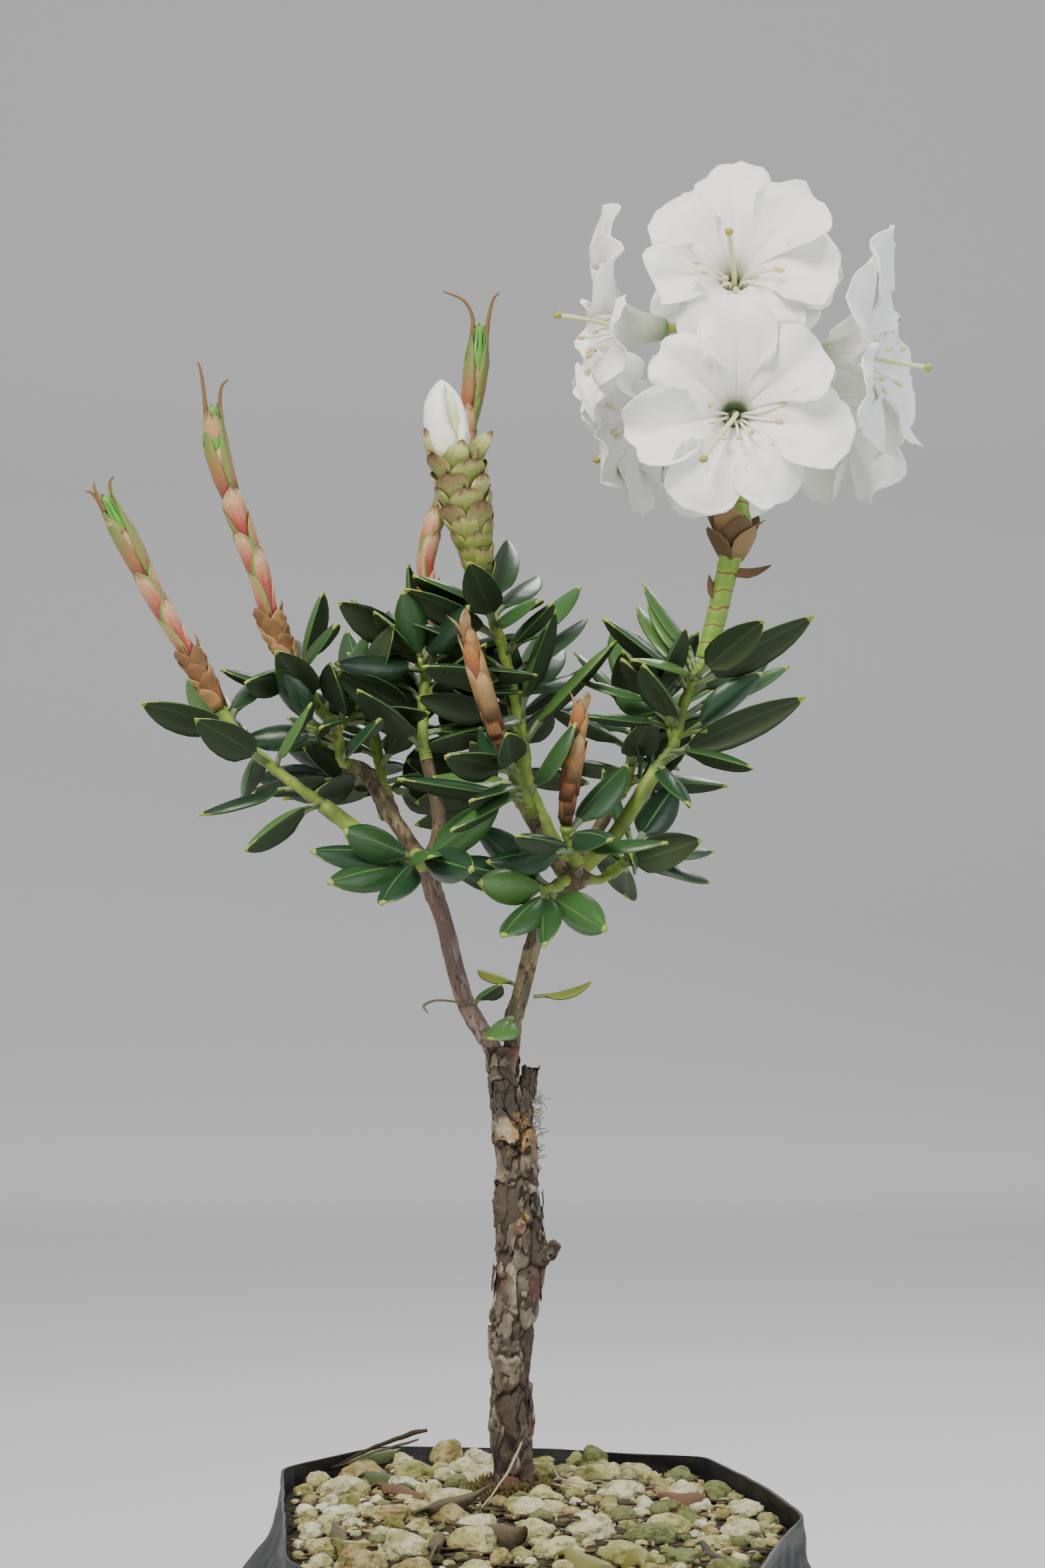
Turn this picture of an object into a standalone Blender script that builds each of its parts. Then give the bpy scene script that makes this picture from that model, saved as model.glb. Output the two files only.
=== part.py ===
# A potted rhododendron: one low-forking plant in a soft black grow bag.
# The origin is the middle of the bag's flat underside, +Z is up, and the plant's face looks along -Y.
import math
import random

import bpy
from mathutils import Quaternion, Vector
from mathutils.bvhtree import BVHTree
from mathutils.geometry import delaunay_2d_cdt

MM = 0.001
GAP = 0.3  # mm between pieces that meet
SHARP_ANGLE = math.radians(50)

# Sizes in mm. A place on the plant is given as (across, up, back): across and up are read in the plane of
# the trunk, from the bag's middle line and the soil, and back is how far the place lies behind that plane.
SOIL_TOP = 160.0
TRUNK_BACK = 20.0
EYE_UP = 212.7
EYE_AWAY = 1306.0

BAG_WALL = 1.2
BAG_FLOOR = 1.5
SOIL_GAP = 0.45
RIM_CORNERS = (
    (82, -23), (58, 89), (8, 110), (-45, 105), (-74.5, 54),
    (-66, -83), (-57.5, -104), (0, -111), (63.5, -104), (76, -45),
)
RIM_STEP = 29.0  # the longest stretch of rim between two points
# Each level of the bag: height, half width, half depth, and how much of the rim's angular plan it has
BAG_LEVELS = (
    (0, 68, 80, 0.0),
    (7, 75, 88, 0.0),
    (45, 89, 104, 0.1),
    (95, 95, 112, 0.15),
    (132, 94, 113, 0.3),
    (149, 88, 111, 0.75),
)
RIM_HEIGHT = 161.0
RIM_DROOP = 4.0  # how far the front of the rim hangs down
EDGE_SLACK = 0.8  # more room at the soil's edge, where the wall twists towards its corners
SOIL_EDGE = 0.45  # how far up from the last level to the rim the soil meets the wall
SOIL_RISE = ((0.0, 160.0), (0.13, 160.0), (0.42, 159.0), (0.72, 156.6))  # share of the way to the edge, height
SOIL_STEP = 15.0  # between the points of the soil that carry no lump
FOOT_CLEAR = 11.5  # flat ground round the trunk's foot
# The main pumice lumps on the soil: across, up, width and height, read in the plane of the trunk
LUMPS = (
    (-14, 8.6, 9.4, 10), (-64.7, 2.8, 7.6, 8.2), (-53.5, -6.6, 13.5, 5.3), (-38.3, -7.2, 12.3, 6.5),
    (-35.4, -16.6, 16.4, 10.5), (-63.5, -13.7, 7, 6), (-60, -17.2, 7.6, 7.6), (-51.2, -18.4, 9.4, 6.5),
    (-35.4, -2, 6.6, 4.2), (-32.5, 6.9, 8.2, 5.3), (-43, 9.8, 7, 4.2), (-30.7, 13, 9.4, 4.8),
    (-24.8, 9.2, 8.2, 5.8), (-27.8, -0.2, 8.8, 5.8), (-31.3, -10.7, 7, 5.3), (32.7, 6.3, 11.7, 5.8),
    (31, 11.6, 8.2, 4.2), (23.9, 6.9, 5.8, 5.8), (41.5, 2.2, 7, 4.8), (26.8, -6, 7, 5.8), (43.8, -4.3, 7.6, 4.8),
    (49.1, -7.2, 7, 4.8), (66.7, -6, 10.5, 6.5), (57.3, -15.7, 9.4, 5.8), (48.5, -19.9, 10.5, 5.8),
    (19.8, 9.8, 5.8, 4.2), (7.4, 9.2, 6.5, 4.8), (-6.6, -20.2, 6, 7), (-57.7, -3.1, 6, 4.8), (59.7, -20, 7, 3.5),
)
LUMP_TRIES = 900
LUMP_SPACING = 16.5  # between the middles of the lumps that fill up the rest
LUMP_HALVES = (5.2, 7.8)
LUMP_TALL = 0.75  # a lump's height over the soil, as a share of half its width
LUMP_RINGS = ((0.62, 0.84, 0.0), (1.0, 0.0, 0.5))  # share of its half width, share of its height, part of a step turned
LUMP_SIDES = 6
LUMP_SEED = 3
SMALL_STONES = 0.8  # how far the small stones between the lumps raise the soil

TRUNK_FOOT = (-3.0, 0.0)  # across and back
# Each station of the trunk: up, across, radius
TRUNK = (
    (0, -2.8, 8.6), (6, -2.8, 7.2), (28, -3.3, 6.5), (50, -2.8, 7.0), (68, -1.2, 7.8), (86, -1.2, 7.6),
    (98, -1.6, 5.9), (108, -2.4, 6.4), (117, -4.6, 5.4), (127, -5.8, 4.4), (134, -6.0, 5.8),
)
TRUNK_SIDES = 12
STUB = ((-0.5, 100, 0), (0.8, 116, 0), (2.4, 126.6, 1))
STUB_RADIUS = (3.2, 3.0, 2.4)
FORK_TOP = 134.0
HUB_LEFT = (-28.4, 187.5, 0.0)
HUB_RIGHT = (15.4, 185.2, 0.0)
HUB_RADIUS = 5.0
LIMB_SIDES = 9

LEAF_WIDTH = 9.6
LEAF_THICK = 0.9
LEAF_STALK = 0.2  # of the leaf's length
LEAF_FOOT = 0.9  # half width of the leaf's stalk at its foot
GOLDEN_ANGLE = math.radians(137.5)
LEAF_TRIES = 7

PETAL_THICK = 0.8
PETAL_WAVE = 0.05
BLOOM_LOBES = 6
LOBE_POINTS = 4
BLOOM_DEPTH = 22.0
# Each ring of a bloom's funnel: share of the depth, share of the radius, and how deep its notches are
BLOOM_RINGS = ((0.0, 0.11, 0.0), (0.62, 0.34, 0.0), (0.93, 0.76, 0.14), (1.0, 1.0, 0.28))
STALK_RADIUS = 1.1
STALK_FOOT_RADIUS = 1.6
STALK_BEHIND = 4.0  # how far behind its funnel's start a stalk bends to it
TRUSS_BACK = 6.0
RACHIS_RADIUS = 2.6
RACHIS_ACROSS = 64.8
RACHIS_FOOT = 296.0
RACHIS_TOP = 336.0

COLOURS = {
    "bag": ("1D1E20", 0.55),
    "soil": ("8F8660", 0.95),
    "bark": ("6B5C48", 0.9),
    "taupe": ("7A665C", 0.8),
    "green_stem": ("7F9440", 0.55),
    "leaf": ("2C5226", 0.4),
    "yellow_leaf": ("8B9A3C", 0.5),
    "shoot": ("C9695A", 0.6),
    "scale": ("B5B56A", 0.6),
    "papery": ("B0784A", 0.75),
    "petal": ("F2F2EC", 0.5),
}


def at(across, up, back=0.0):
    """A place on the plant in metres. Further back, the same across and up span more."""
    spread = 1 + back / EYE_AWAY
    height = SOIL_TOP + EYE_UP + (up - EYE_UP) * spread
    return Vector((across * spread, TRUNK_BACK + back, height)) * MM


def material(name):
    made = bpy.data.materials.get(name)
    if made:
        return made
    hex_colour, roughness = COLOURS[name]
    made = bpy.data.materials.new(name)
    made.use_nodes = True
    shader = made.node_tree.nodes["Principled BSDF"]
    channels = [int(hex_colour[i : i + 2], 16) / 255 for i in (0, 2, 4)]
    linear = [c / 12.92 if c <= 0.04045 else ((c + 0.055) / 1.055) ** 2.4 for c in channels]
    shader.inputs["Base Color"].default_value = (*linear, 1)
    shader.inputs["Roughness"].default_value = roughness
    shader.inputs["Metallic"].default_value = 0.0
    return made


def solid(name, verts, faces, colour):
    """An object of its own from points and faces."""
    mesh = bpy.data.meshes.new(name)
    mesh.from_pydata([tuple(v) for v in verts], [], faces)
    mesh.update()
    mesh.shade_smooth()
    mesh.set_sharp_from_angle(angle=SHARP_ANGLE)
    mesh.materials.append(material(colour))
    made = bpy.data.objects.new(name, mesh)
    bpy.context.collection.objects.link(made)
    return made


def tree_of(verts, faces):
    return BVHTree.FromPolygons([tuple(v) for v in verts], faces)


def tree_of_object(ob):
    mesh = ob.data
    return tree_of([v.co for v in mesh.vertices], [tuple(p.vertices) for p in mesh.polygons])


def smooth_path(points, steps):
    """Points along a smooth curve through the given ones, `steps` to each stretch."""
    if len(points) < 3:
        return [points[0].lerp(points[-1], i / steps) for i in range(steps + 1)]
    ends = [2 * points[0] - points[1]] + list(points) + [2 * points[-1] - points[-2]]
    path = []
    for i in range(1, len(ends) - 2):
        a, b, c, d = ends[i - 1 : i + 3]
        for k in range(steps):
            t = k / steps
            bend, twist = 2 * a - 5 * b + 4 * c - d, 3 * b - a - 3 * c + d
            path.append(0.5 * (2 * b + (c - a) * t + bend * t**2 + twist * t**3))
    path.append(points[-1].copy())
    return path


def frames_along(path):
    """For each point of a path its direction and two sideways directions that turn with it."""
    frames = []
    side = None
    for i, _ in enumerate(path):
        ahead = (path[min(i + 1, len(path) - 1)] - path[max(i - 1, 0)]).normalized()
        if side is None:
            side = ahead.orthogonal().normalized()
        else:
            side = (side - ahead * side.dot(ahead)).normalized()
        frames.append((ahead, side, ahead.cross(side)))
    return frames


def tube(path, radii, sides):
    """Points and faces of a closed tube along a path with flat ends."""
    verts, faces = [], []
    for point, (_, side, other), radius in zip(path, frames_along(path), radii):
        for j in range(sides):
            angle = 2 * math.pi * j / sides
            verts.append(point + (side * math.cos(angle) + other * math.sin(angle)) * radius)
    for i in range(len(path) - 1):
        for j in range(sides):
            k = (j + 1) % sides
            faces.append((i * sides + j, i * sides + k, (i + 1) * sides + k, (i + 1) * sides + j))
    last = (len(path) - 1) * sides
    faces.append(tuple(reversed(range(sides))))
    faces.append(tuple(last + j for j in range(sides)))
    return verts, faces


def spread_radii(radii, count):
    """Radii for `count` points, read evenly from the few given ones."""
    wanted = []
    for i in range(count):
        place = i / (count - 1) * (len(radii) - 1)
        low = min(int(place), len(radii) - 2)
        wanted.append((radii[low] + (radii[low + 1] - radii[low]) * (place - low)) * MM)
    return wanted


def limb(name, points, radii, colour, sides=8, steps=2):
    path = smooth_path(points, steps)
    verts, faces = tube(path, spread_radii(radii, len(path)), sides)
    return solid(name, verts, faces, colour)


def leaf_solid(foot, tip, up, width=LEAF_WIDTH, arch=0.1, roll=0.0, grow=0.0):
    """Points and faces of one leaf, as a thin closed blade on a stalk, and the faces of the blade alone.

    It runs from its foot to its tip and arches between them, its edges roll under, and its upper side looks
    along `up`. `grow` makes it larger all round, in mm, to try it against its neighbours.
    """
    run = tip - foot
    ahead = run.normalized()
    level = (up - ahead * up.dot(ahead)).normalized()
    level = Quaternion(ahead, roll) @ level
    across = level.cross(ahead)
    half = width / 2 + grow
    rim = (LEAF_THICK / 2 + grow) * MM
    stations = (
        (0.0, LEAF_FOOT + grow, 0.5),
        (LEAF_STALK, LEAF_FOOT - 0.1 + grow, 0.4),
        (0.48, half, 0.07 * width),
        (0.78, half * 0.78, 0.06 * width),
    )
    blade_from = 4
    verts = []
    for along, reach, drop in stations:  # along the leaf, half width, how far its edges hang
        middle = foot + run * along + level * (arch * run.length * 2 * along * (1 - along))
        edge = across * reach * MM
        lower = level * (drop + grow) * MM
        verts += [middle - edge - lower, middle + level * rim, middle + edge - lower]
    verts.append(tip + ahead * grow * MM)
    faces = [(0, 1, 2)]
    for i in range(len(stations) - 1):
        for j in range(3):
            k = (j + 1) % 3
            faces.append((3 * i + j, 3 * (i + 1) + j, 3 * (i + 1) + k, 3 * i + k))
    last = 3 * (len(stations) - 1)
    faces += [(last + j, 3 * len(stations), last + (j + 1) % 3) for j in range(3)]
    return verts, faces, faces[blade_from:]


def fuse(base, pieces):
    """Joins the pieces into the base by one Boolean union on a collection, and keeps the one body."""
    group = bpy.data.collections.new(base.name + "_pieces")
    for piece in pieces:
        group.objects.link(piece)
    for solver in ("EXACT", "MANIFOLD"):
        union = base.modifiers.new("union", "BOOLEAN")
        union.operation = "UNION"
        union.operand_type = "COLLECTION"
        union.collection = group
        union.solver = solver
        bpy.context.view_layer.update()
        depsgraph = bpy.context.evaluated_depsgraph_get()
        joined = bpy.data.meshes.new_from_object(base.evaluated_get(depsgraph))
        base.modifiers.remove(union)
        keep_largest(joined)
        if is_closed(joined):
            break
    name, old = base.data.name, base.data
    base.data = joined
    bpy.data.meshes.remove(old)
    joined.name = name
    for piece in pieces:
        mesh = piece.data
        bpy.data.objects.remove(piece)
        bpy.data.meshes.remove(mesh)
    bpy.data.collections.remove(group)
    joined.shade_smooth()
    joined.set_sharp_from_angle(angle=SHARP_ANGLE)
    return base


def is_closed(mesh):
    uses = {}
    for face in mesh.polygons:
        for key in face.edge_keys:
            uses[key] = uses.get(key, 0) + 1
    return bool(uses) and all(count == 2 for count in uses.values())


def keep_largest(mesh):
    """Keeps a mesh's largest body: loose scraps and the walls of sealed hollows go."""
    parent = list(range(len(mesh.vertices)))

    def root(i):
        while parent[i] != i:
            parent[i] = parent[parent[i]]
            i = parent[i]
        return i

    for edge in mesh.edges:
        a, b = root(edge.vertices[0]), root(edge.vertices[1])
        parent[a] = b
    sizes = {}
    for i in range(len(parent)):
        sizes[root(i)] = sizes.get(root(i), 0) + 1
    if len(sizes) < 2:
        return
    largest = max(sizes, key=sizes.get)
    kept = [i for i in range(len(parent)) if root(i) == largest]
    place = {old: new for new, old in enumerate(kept)}
    verts = [tuple(mesh.vertices[i].co) for i in kept]
    faces = [tuple(place[i] for i in p.vertices) for p in mesh.polygons if p.vertices[0] in place]
    mesh.clear_geometry()
    mesh.from_pydata(verts, [], faces)
    mesh.update()


# The bag and its soil


def rim_points():
    """Points round the rim in plan, with each corner among them."""
    points = []
    for (x1, y1), (x2, y2) in zip(RIM_CORNERS, RIM_CORNERS[1:] + RIM_CORNERS[:1]):
        pieces = math.ceil(math.hypot(x2 - x1, y2 - y1) / RIM_STEP)
        points += [(x1 + (x2 - x1) * i / pieces, y1 + (y2 - y1) * i / pieces) for i in range(pieces)]
    return points


def bag_ring(level, inset, lift=0.0):
    """One level of the bag, `inset` mm in from its outer face."""
    height, half_width, half_depth, angular = level
    ring = []
    for x, y in rim_points():
        turn = math.atan2(y / half_depth, x / half_width)
        round_x, round_y = half_width * math.cos(turn), half_depth * math.sin(turn)
        px, py = round_x + (x - round_x) * angular, round_y + (y - round_y) * angular
        out = math.hypot(px, py)
        ring.append(Vector((px, py, height + lift)) * ((out - inset) / out))
        ring[-1].z = height + lift
    return ring


def rim_level(x, y):
    """The rim's height: it hangs a little at the front and waves between its corners."""
    front = max(0.0, -y / 111)
    return RIM_HEIGHT - RIM_DROOP * front**2 + 1.2 * math.sin(3 * math.atan2(y, x) + 0.6)


def rim_ring(inset, lift=0.0):
    ring = []
    for x, y in rim_points():
        out = math.hypot(x, y)
        share = (out - inset) / out
        ring.append(Vector((x * share, y * share, rim_level(x, y) + lift)))
    return ring


def loft(rings, turned_from=None):
    """Points and faces through rings of equal count, closed at both ends.

    From ring `turned_from` on the triangles slant the other way, as on a wall that comes down again inside.
    """
    count = len(rings[0])
    verts = [v * MM for ring in rings for v in ring]
    faces = []
    for i in range(len(rings) - 1):
        for j in range(count):
            k = (j + 1) % count
            a, b, c, d = i * count + j, i * count + k, (i + 1) * count + k, (i + 1) * count + j
            if turned_from is not None and i >= turned_from:
                faces += [(a, b, d), (b, c, d)]
            else:
                faces += [(a, b, c), (a, c, d)]
    faces.append(tuple(reversed(range(count))))
    last = (len(rings) - 1) * count
    faces.append(tuple(last + j for j in range(count)))
    return verts, faces


def make_bag():
    outer = [bag_ring(level, 0) for level in BAG_LEVELS] + [rim_ring(0)]
    floor = bag_ring(BAG_LEVELS[0], BAG_WALL + 1.5, BAG_FLOOR)
    inner = [rim_ring(BAG_WALL)] + [bag_ring(level, BAG_WALL) for level in reversed(BAG_LEVELS[1:])]
    verts, faces = loft(outer + inner + [floor], turned_from=len(outer))
    solid("pot_bag", verts, faces, "bag")


def edge_share(x, y, foot, edge):
    """How far the place lies from the trunk's foot to the soil's edge, and the edge's height there."""
    best, level = 0.0, edge[0].z
    for a, b in zip(edge, edge[1:] + edge[:1]):
        out_x, out_y = b.y - a.y, a.x - b.x
        share = (out_x * (x - foot.x) + out_y * (y - foot.y)) / (out_x * (a.x - foot.x) + out_y * (a.y - foot.y))
        if share > best:
            best, level = share, (a.z + b.z) / 2
    return best, level


def soil_level(x, y, foot, edge):
    share, edge_level = edge_share(x, y, foot, edge)
    stations = (*SOIL_RISE, (1.0, edge_level))
    for (low, start), (high, end) in zip(stations, stations[1:]):
        if share <= high:
            return start + (end - start) * (share - low) / (high - low)
    return edge_level


def lump_places(foot, edge):
    """Each main lump's middle in plan, half its width, and its top."""
    places = []

    def settle(x, y, half):
        """Pulls a lump in from the bag's wall and pushes it clear of the trunk."""
        out = math.hypot(x - foot.x, y - foot.y)
        share, _ = edge_share(x, y, foot, edge)
        most = out / share - half - 1.5
        out_now = max(min(out, most), FOOT_CLEAR + half)
        return foot.x + (x - foot.x) * out_now / out, foot.y + (y - foot.y) * out_now / out

    for across, up, width, height in LUMPS:
        level = SOIL_TOP - 1.5
        for _ in range(3):
            spread = (SOIL_TOP + EYE_UP - level) / (EYE_UP - up)
            half = width / 2 * spread
            x, y = settle(across * spread, TRUNK_BACK + EYE_AWAY * (spread - 1), half)
            level = soil_level(x, y, foot, edge) + 0.1 * height
        seen = SOIL_TOP + EYE_UP - (EYE_UP - up) * (1 + (y - TRUNK_BACK) / EYE_AWAY)
        places.append((x, y, half, max(seen, level) + height / 2))
    rng = random.Random(LUMP_SEED)
    for _ in range(LUMP_TRIES):
        x, y, half = rng.uniform(-80, 80), rng.uniform(-108, 108), rng.uniform(*LUMP_HALVES)
        if edge_share(x, y, foot, edge)[0] > 0.96:
            continue
        x, y = settle(x, y, half)
        if not any(math.hypot(x - p, y - q) < LUMP_SPACING for p, q, _, _ in places):
            places.append((x, y, half, soil_level(x, y, foot, edge) + half * LUMP_TALL))
    return places


def soil_top(foot, edge):
    """The soil's lumpy top: its points, the edge's first, and its triangles."""
    points = [point.copy() for point in edge]

    def add(x, y, z, apart):
        near = any(math.hypot(p.x - x, p.y - y) < apart for p in points)
        if not near and edge_share(x, y, foot, edge)[0] < 0.965:
            points.append(Vector((x, y, z)))

    for i in range(TRUNK_SIDES):
        turn = 2 * math.pi * i / TRUNK_SIDES
        add(foot.x + (FOOT_CLEAR - 1) * math.cos(turn), foot.y + (FOOT_CLEAR - 1) * math.sin(turn), SOIL_TOP, 1.0)
    lumps = lump_places(foot, edge)
    for x, y, half, top in lumps:
        add(x, y, top, 3.0)
    for reach, share, turned in LUMP_RINGS:
        for index, (x, y, half, top) in enumerate(lumps):
            base = soil_level(x, y, foot, edge) + SMALL_STONES
            for i in range(LUMP_SIDES):
                turn = 2 * math.pi * (i + turned) / LUMP_SIDES + 0.7 * index
                px, py = x + half * reach * math.cos(turn), y + half * reach * math.sin(turn)
                others = lumps[:index] + lumps[index + 1:]
                if math.hypot(px - foot.x, py - foot.y) < FOOT_CLEAR + 1:
                    continue
                if not any(math.hypot(px - q[0], py - q[1]) < q[2] for q in others):
                    add(px, py, base + (top - base) * share, 1.8)
    rows = int(230 / SOIL_STEP)
    for i in range(rows):
        for j in range(rows):
            x, y = (i + 0.5 * (j % 2)) * SOIL_STEP - 105, j * SOIL_STEP - 110
            if math.hypot(x - foot.x, y - foot.y) > FOOT_CLEAR + 4:
                if not any(math.hypot(x - q[0], y - q[1]) < q[2] * 1.3 for q in lumps):
                    add(x, y, soil_level(x, y, foot, edge) + SMALL_STONES, 5.0)
    flat = [Vector((p.x, p.y)) for p in points]
    found = delaunay_2d_cdt(flat, [], [list(range(len(edge)))], 1, 1e-6)
    source = [origins[0] for origins in found[3]]
    return points, [tuple(source[i] for i in triangle) for triangle in found[2]]


def make_soil():
    """The potting mix: it fills the bag, rises to the trunk, carries its lumps and is flat at the trunk's foot."""
    inset = BAG_WALL + SOIL_GAP
    floor = bag_ring(BAG_LEVELS[0], inset + 2.0, BAG_FLOOR + SOIL_GAP)
    rings = [floor] + [bag_ring(level, inset) for level in BAG_LEVELS[1:]]
    foot = Vector((TRUNK_FOOT[0], TRUNK_BACK + TRUNK_FOOT[1], SOIL_TOP))
    wall = bag_ring(BAG_LEVELS[-1], inset + EDGE_SLACK), rim_ring(inset + EDGE_SLACK)
    edge = [low.lerp(high, SOIL_EDGE) for low, high in zip(*wall)]
    rings.append(edge)
    verts, faces = loft(rings)
    faces.pop()  # the flat lid, which the lumpy top takes the place of
    first = (len(rings) - 1) * len(edge)
    points, triangles = soil_top(foot, edge)
    verts += [point * MM for point in points[len(edge):]]
    faces += [tuple(first + i for i in triangle) for triangle in triangles]
    solid("soil", verts, faces, "soil")


# Trunk, limbs and boughs


def make_trunk():
    path = [at(across, up) for up, across, _ in TRUNK]
    path[0].z += GAP * MM
    radii = [radius * MM for _, _, radius in TRUNK]
    verts, faces = tube(path, radii, TRUNK_SIDES)
    # The foot and the fork are cut level.
    for i in range(TRUNK_SIDES):
        verts[i].z = path[0].z
        verts[-1 - i].z = path[-1].z
    trunk = solid("trunk", verts, faces, "bark")
    stub_path = smooth_path([at(*p) for p in STUB], 2)
    stub_verts, stub_faces = tube(stub_path, spread_radii(STUB_RADIUS, len(stub_path)), 7)
    stub = solid("stub", stub_verts, stub_faces, "bark")
    fuse(trunk, [stub])


def make_limb(name, points, radii, hub, colour):
    """A limb from the flat top of the trunk to the knob that its boughs grow from."""
    path = smooth_path([at(*p) for p in points], 2)
    wanted = spread_radii(radii, len(path))
    centre = at(*hub)
    ahead = (centre - path[-1]).normalized()
    for offset in (-0.7, 0.0, 0.7):
        path.append(centre + ahead * offset * HUB_RADIUS * MM)
        wanted.append(HUB_RADIUS * math.sqrt(1 - offset**2) * MM)
    verts, faces = tube(path, wanted, LIMB_SIDES)
    level = at(0, FORK_TOP).z + GAP * MM
    for i in range(LIMB_SIDES):
        verts[i].z = level
    solid(name, verts, faces, colour)


LIMBS = {
    "limb_left": (
        ((-9.1, 134, 0), (-11.6, 137.5, 0), (-17.8, 149.2, 0), (-23.2, 170, 0), (-26.6, 180, 0)),
        (2.5, 2.7, 2.8, 2.6, 2.8), HUB_LEFT, "taupe",
    ),
    "limb_right": (
        ((-3.2, 134, 0), (-2.8, 142, 0), (-0.4, 150, 0), (4.2, 168, 0), (8.2, 176, 0), (11.4, 181, 0)),
        (2.6, 2.6, 2.7, 2.6, 2.8, 2.9), HUB_RIGHT, "bark",
    ),
}

# Each bough: the hub it grows from, its places after that, its radii, and its colour
BOUGHS = {
    "bough_far_left": (HUB_LEFT, ((-41, 192.6, -4), (-60, 206.4, -6)), (1.7, 2.6, 2.4), "green_stem"),
    "bough_left": (
        HUB_LEFT, ((-38.5, 202, 3), (-46, 214.5, 7), (-51.5, 218.5, 7)), (1.6, 2.4, 2.0), "bark",
    ),
    "bough_upper_left": (HUB_LEFT, ((-25, 201, 7), (-29.2, 222, 8)), (1.7, 2.1, 1.8), "bark"),
    "bough_low_left": (HUB_LEFT, ((-30.5, 188.5, -13),), (1.6, 1.3), "bark"),
    "bough_rear_left": (HUB_LEFT, ((-35, 195, 17), (-41, 210, 28)), (1.7, 1.9, 1.7), "bark"),
    "bough_centre": (
        HUB_RIGHT, ((7.5, 199, 3), (1.5, 213, 9), (0.4, 223, 11)), (1.7, 2.2, 2.0), "green_stem",
    ),
    "bough_bud_upper": (HUB_RIGHT, ((7, 192, -9), (2.5, 205, -20)), (1.5, 1.7, 1.5), "bark"),
    "bough_bud_lower": (HUB_RIGHT, ((16.6, 188.4, -9.5), (15.8, 190.5, -14)), (1.6, 1.8, 1.7), "bark"),
    "bough_low_front": (HUB_RIGHT, ((10, 182, -9),), (1.3, 1.2), "green_stem"),
    "bough_low_right": (HUB_RIGHT, ((23, 184, 5), (28, 187, 8)), (1.5, 1.4, 1.3), "green_stem"),
    "bough_truss": (HUB_RIGHT, ((27, 196.5, -2), (40.2, 217, 4)), (1.8, 2.3, 2.2), "green_stem"),
    "bough_rear_right": (HUB_RIGHT, ((22, 198, 15), (30, 211, 28)), (1.7, 1.9, 1.7), "bark"),
    "bough_rear": (HUB_RIGHT, ((12, 185.5, 15), (-1, 208, 32)), (1.6, 1.8, 1.6), "bark"),
}


def bough_path(name):
    """A bough's middle line, from just clear of its hub."""
    hub, places, _, _ = BOUGHS[name]
    points = [at(*p) for p in places]
    out = (points[0] - at(*hub)).normalized()
    return smooth_path([at(*hub) + out * (HUB_RADIUS + GAP) * MM] + points, 2)


def make_boughs():
    for name, (_, _, radii, colour) in BOUGHS.items():
        path = bough_path(name)
        verts, faces = tube(path, spread_radii(radii, len(path)), 7)
        solid(name, verts, faces, colour)


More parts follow.
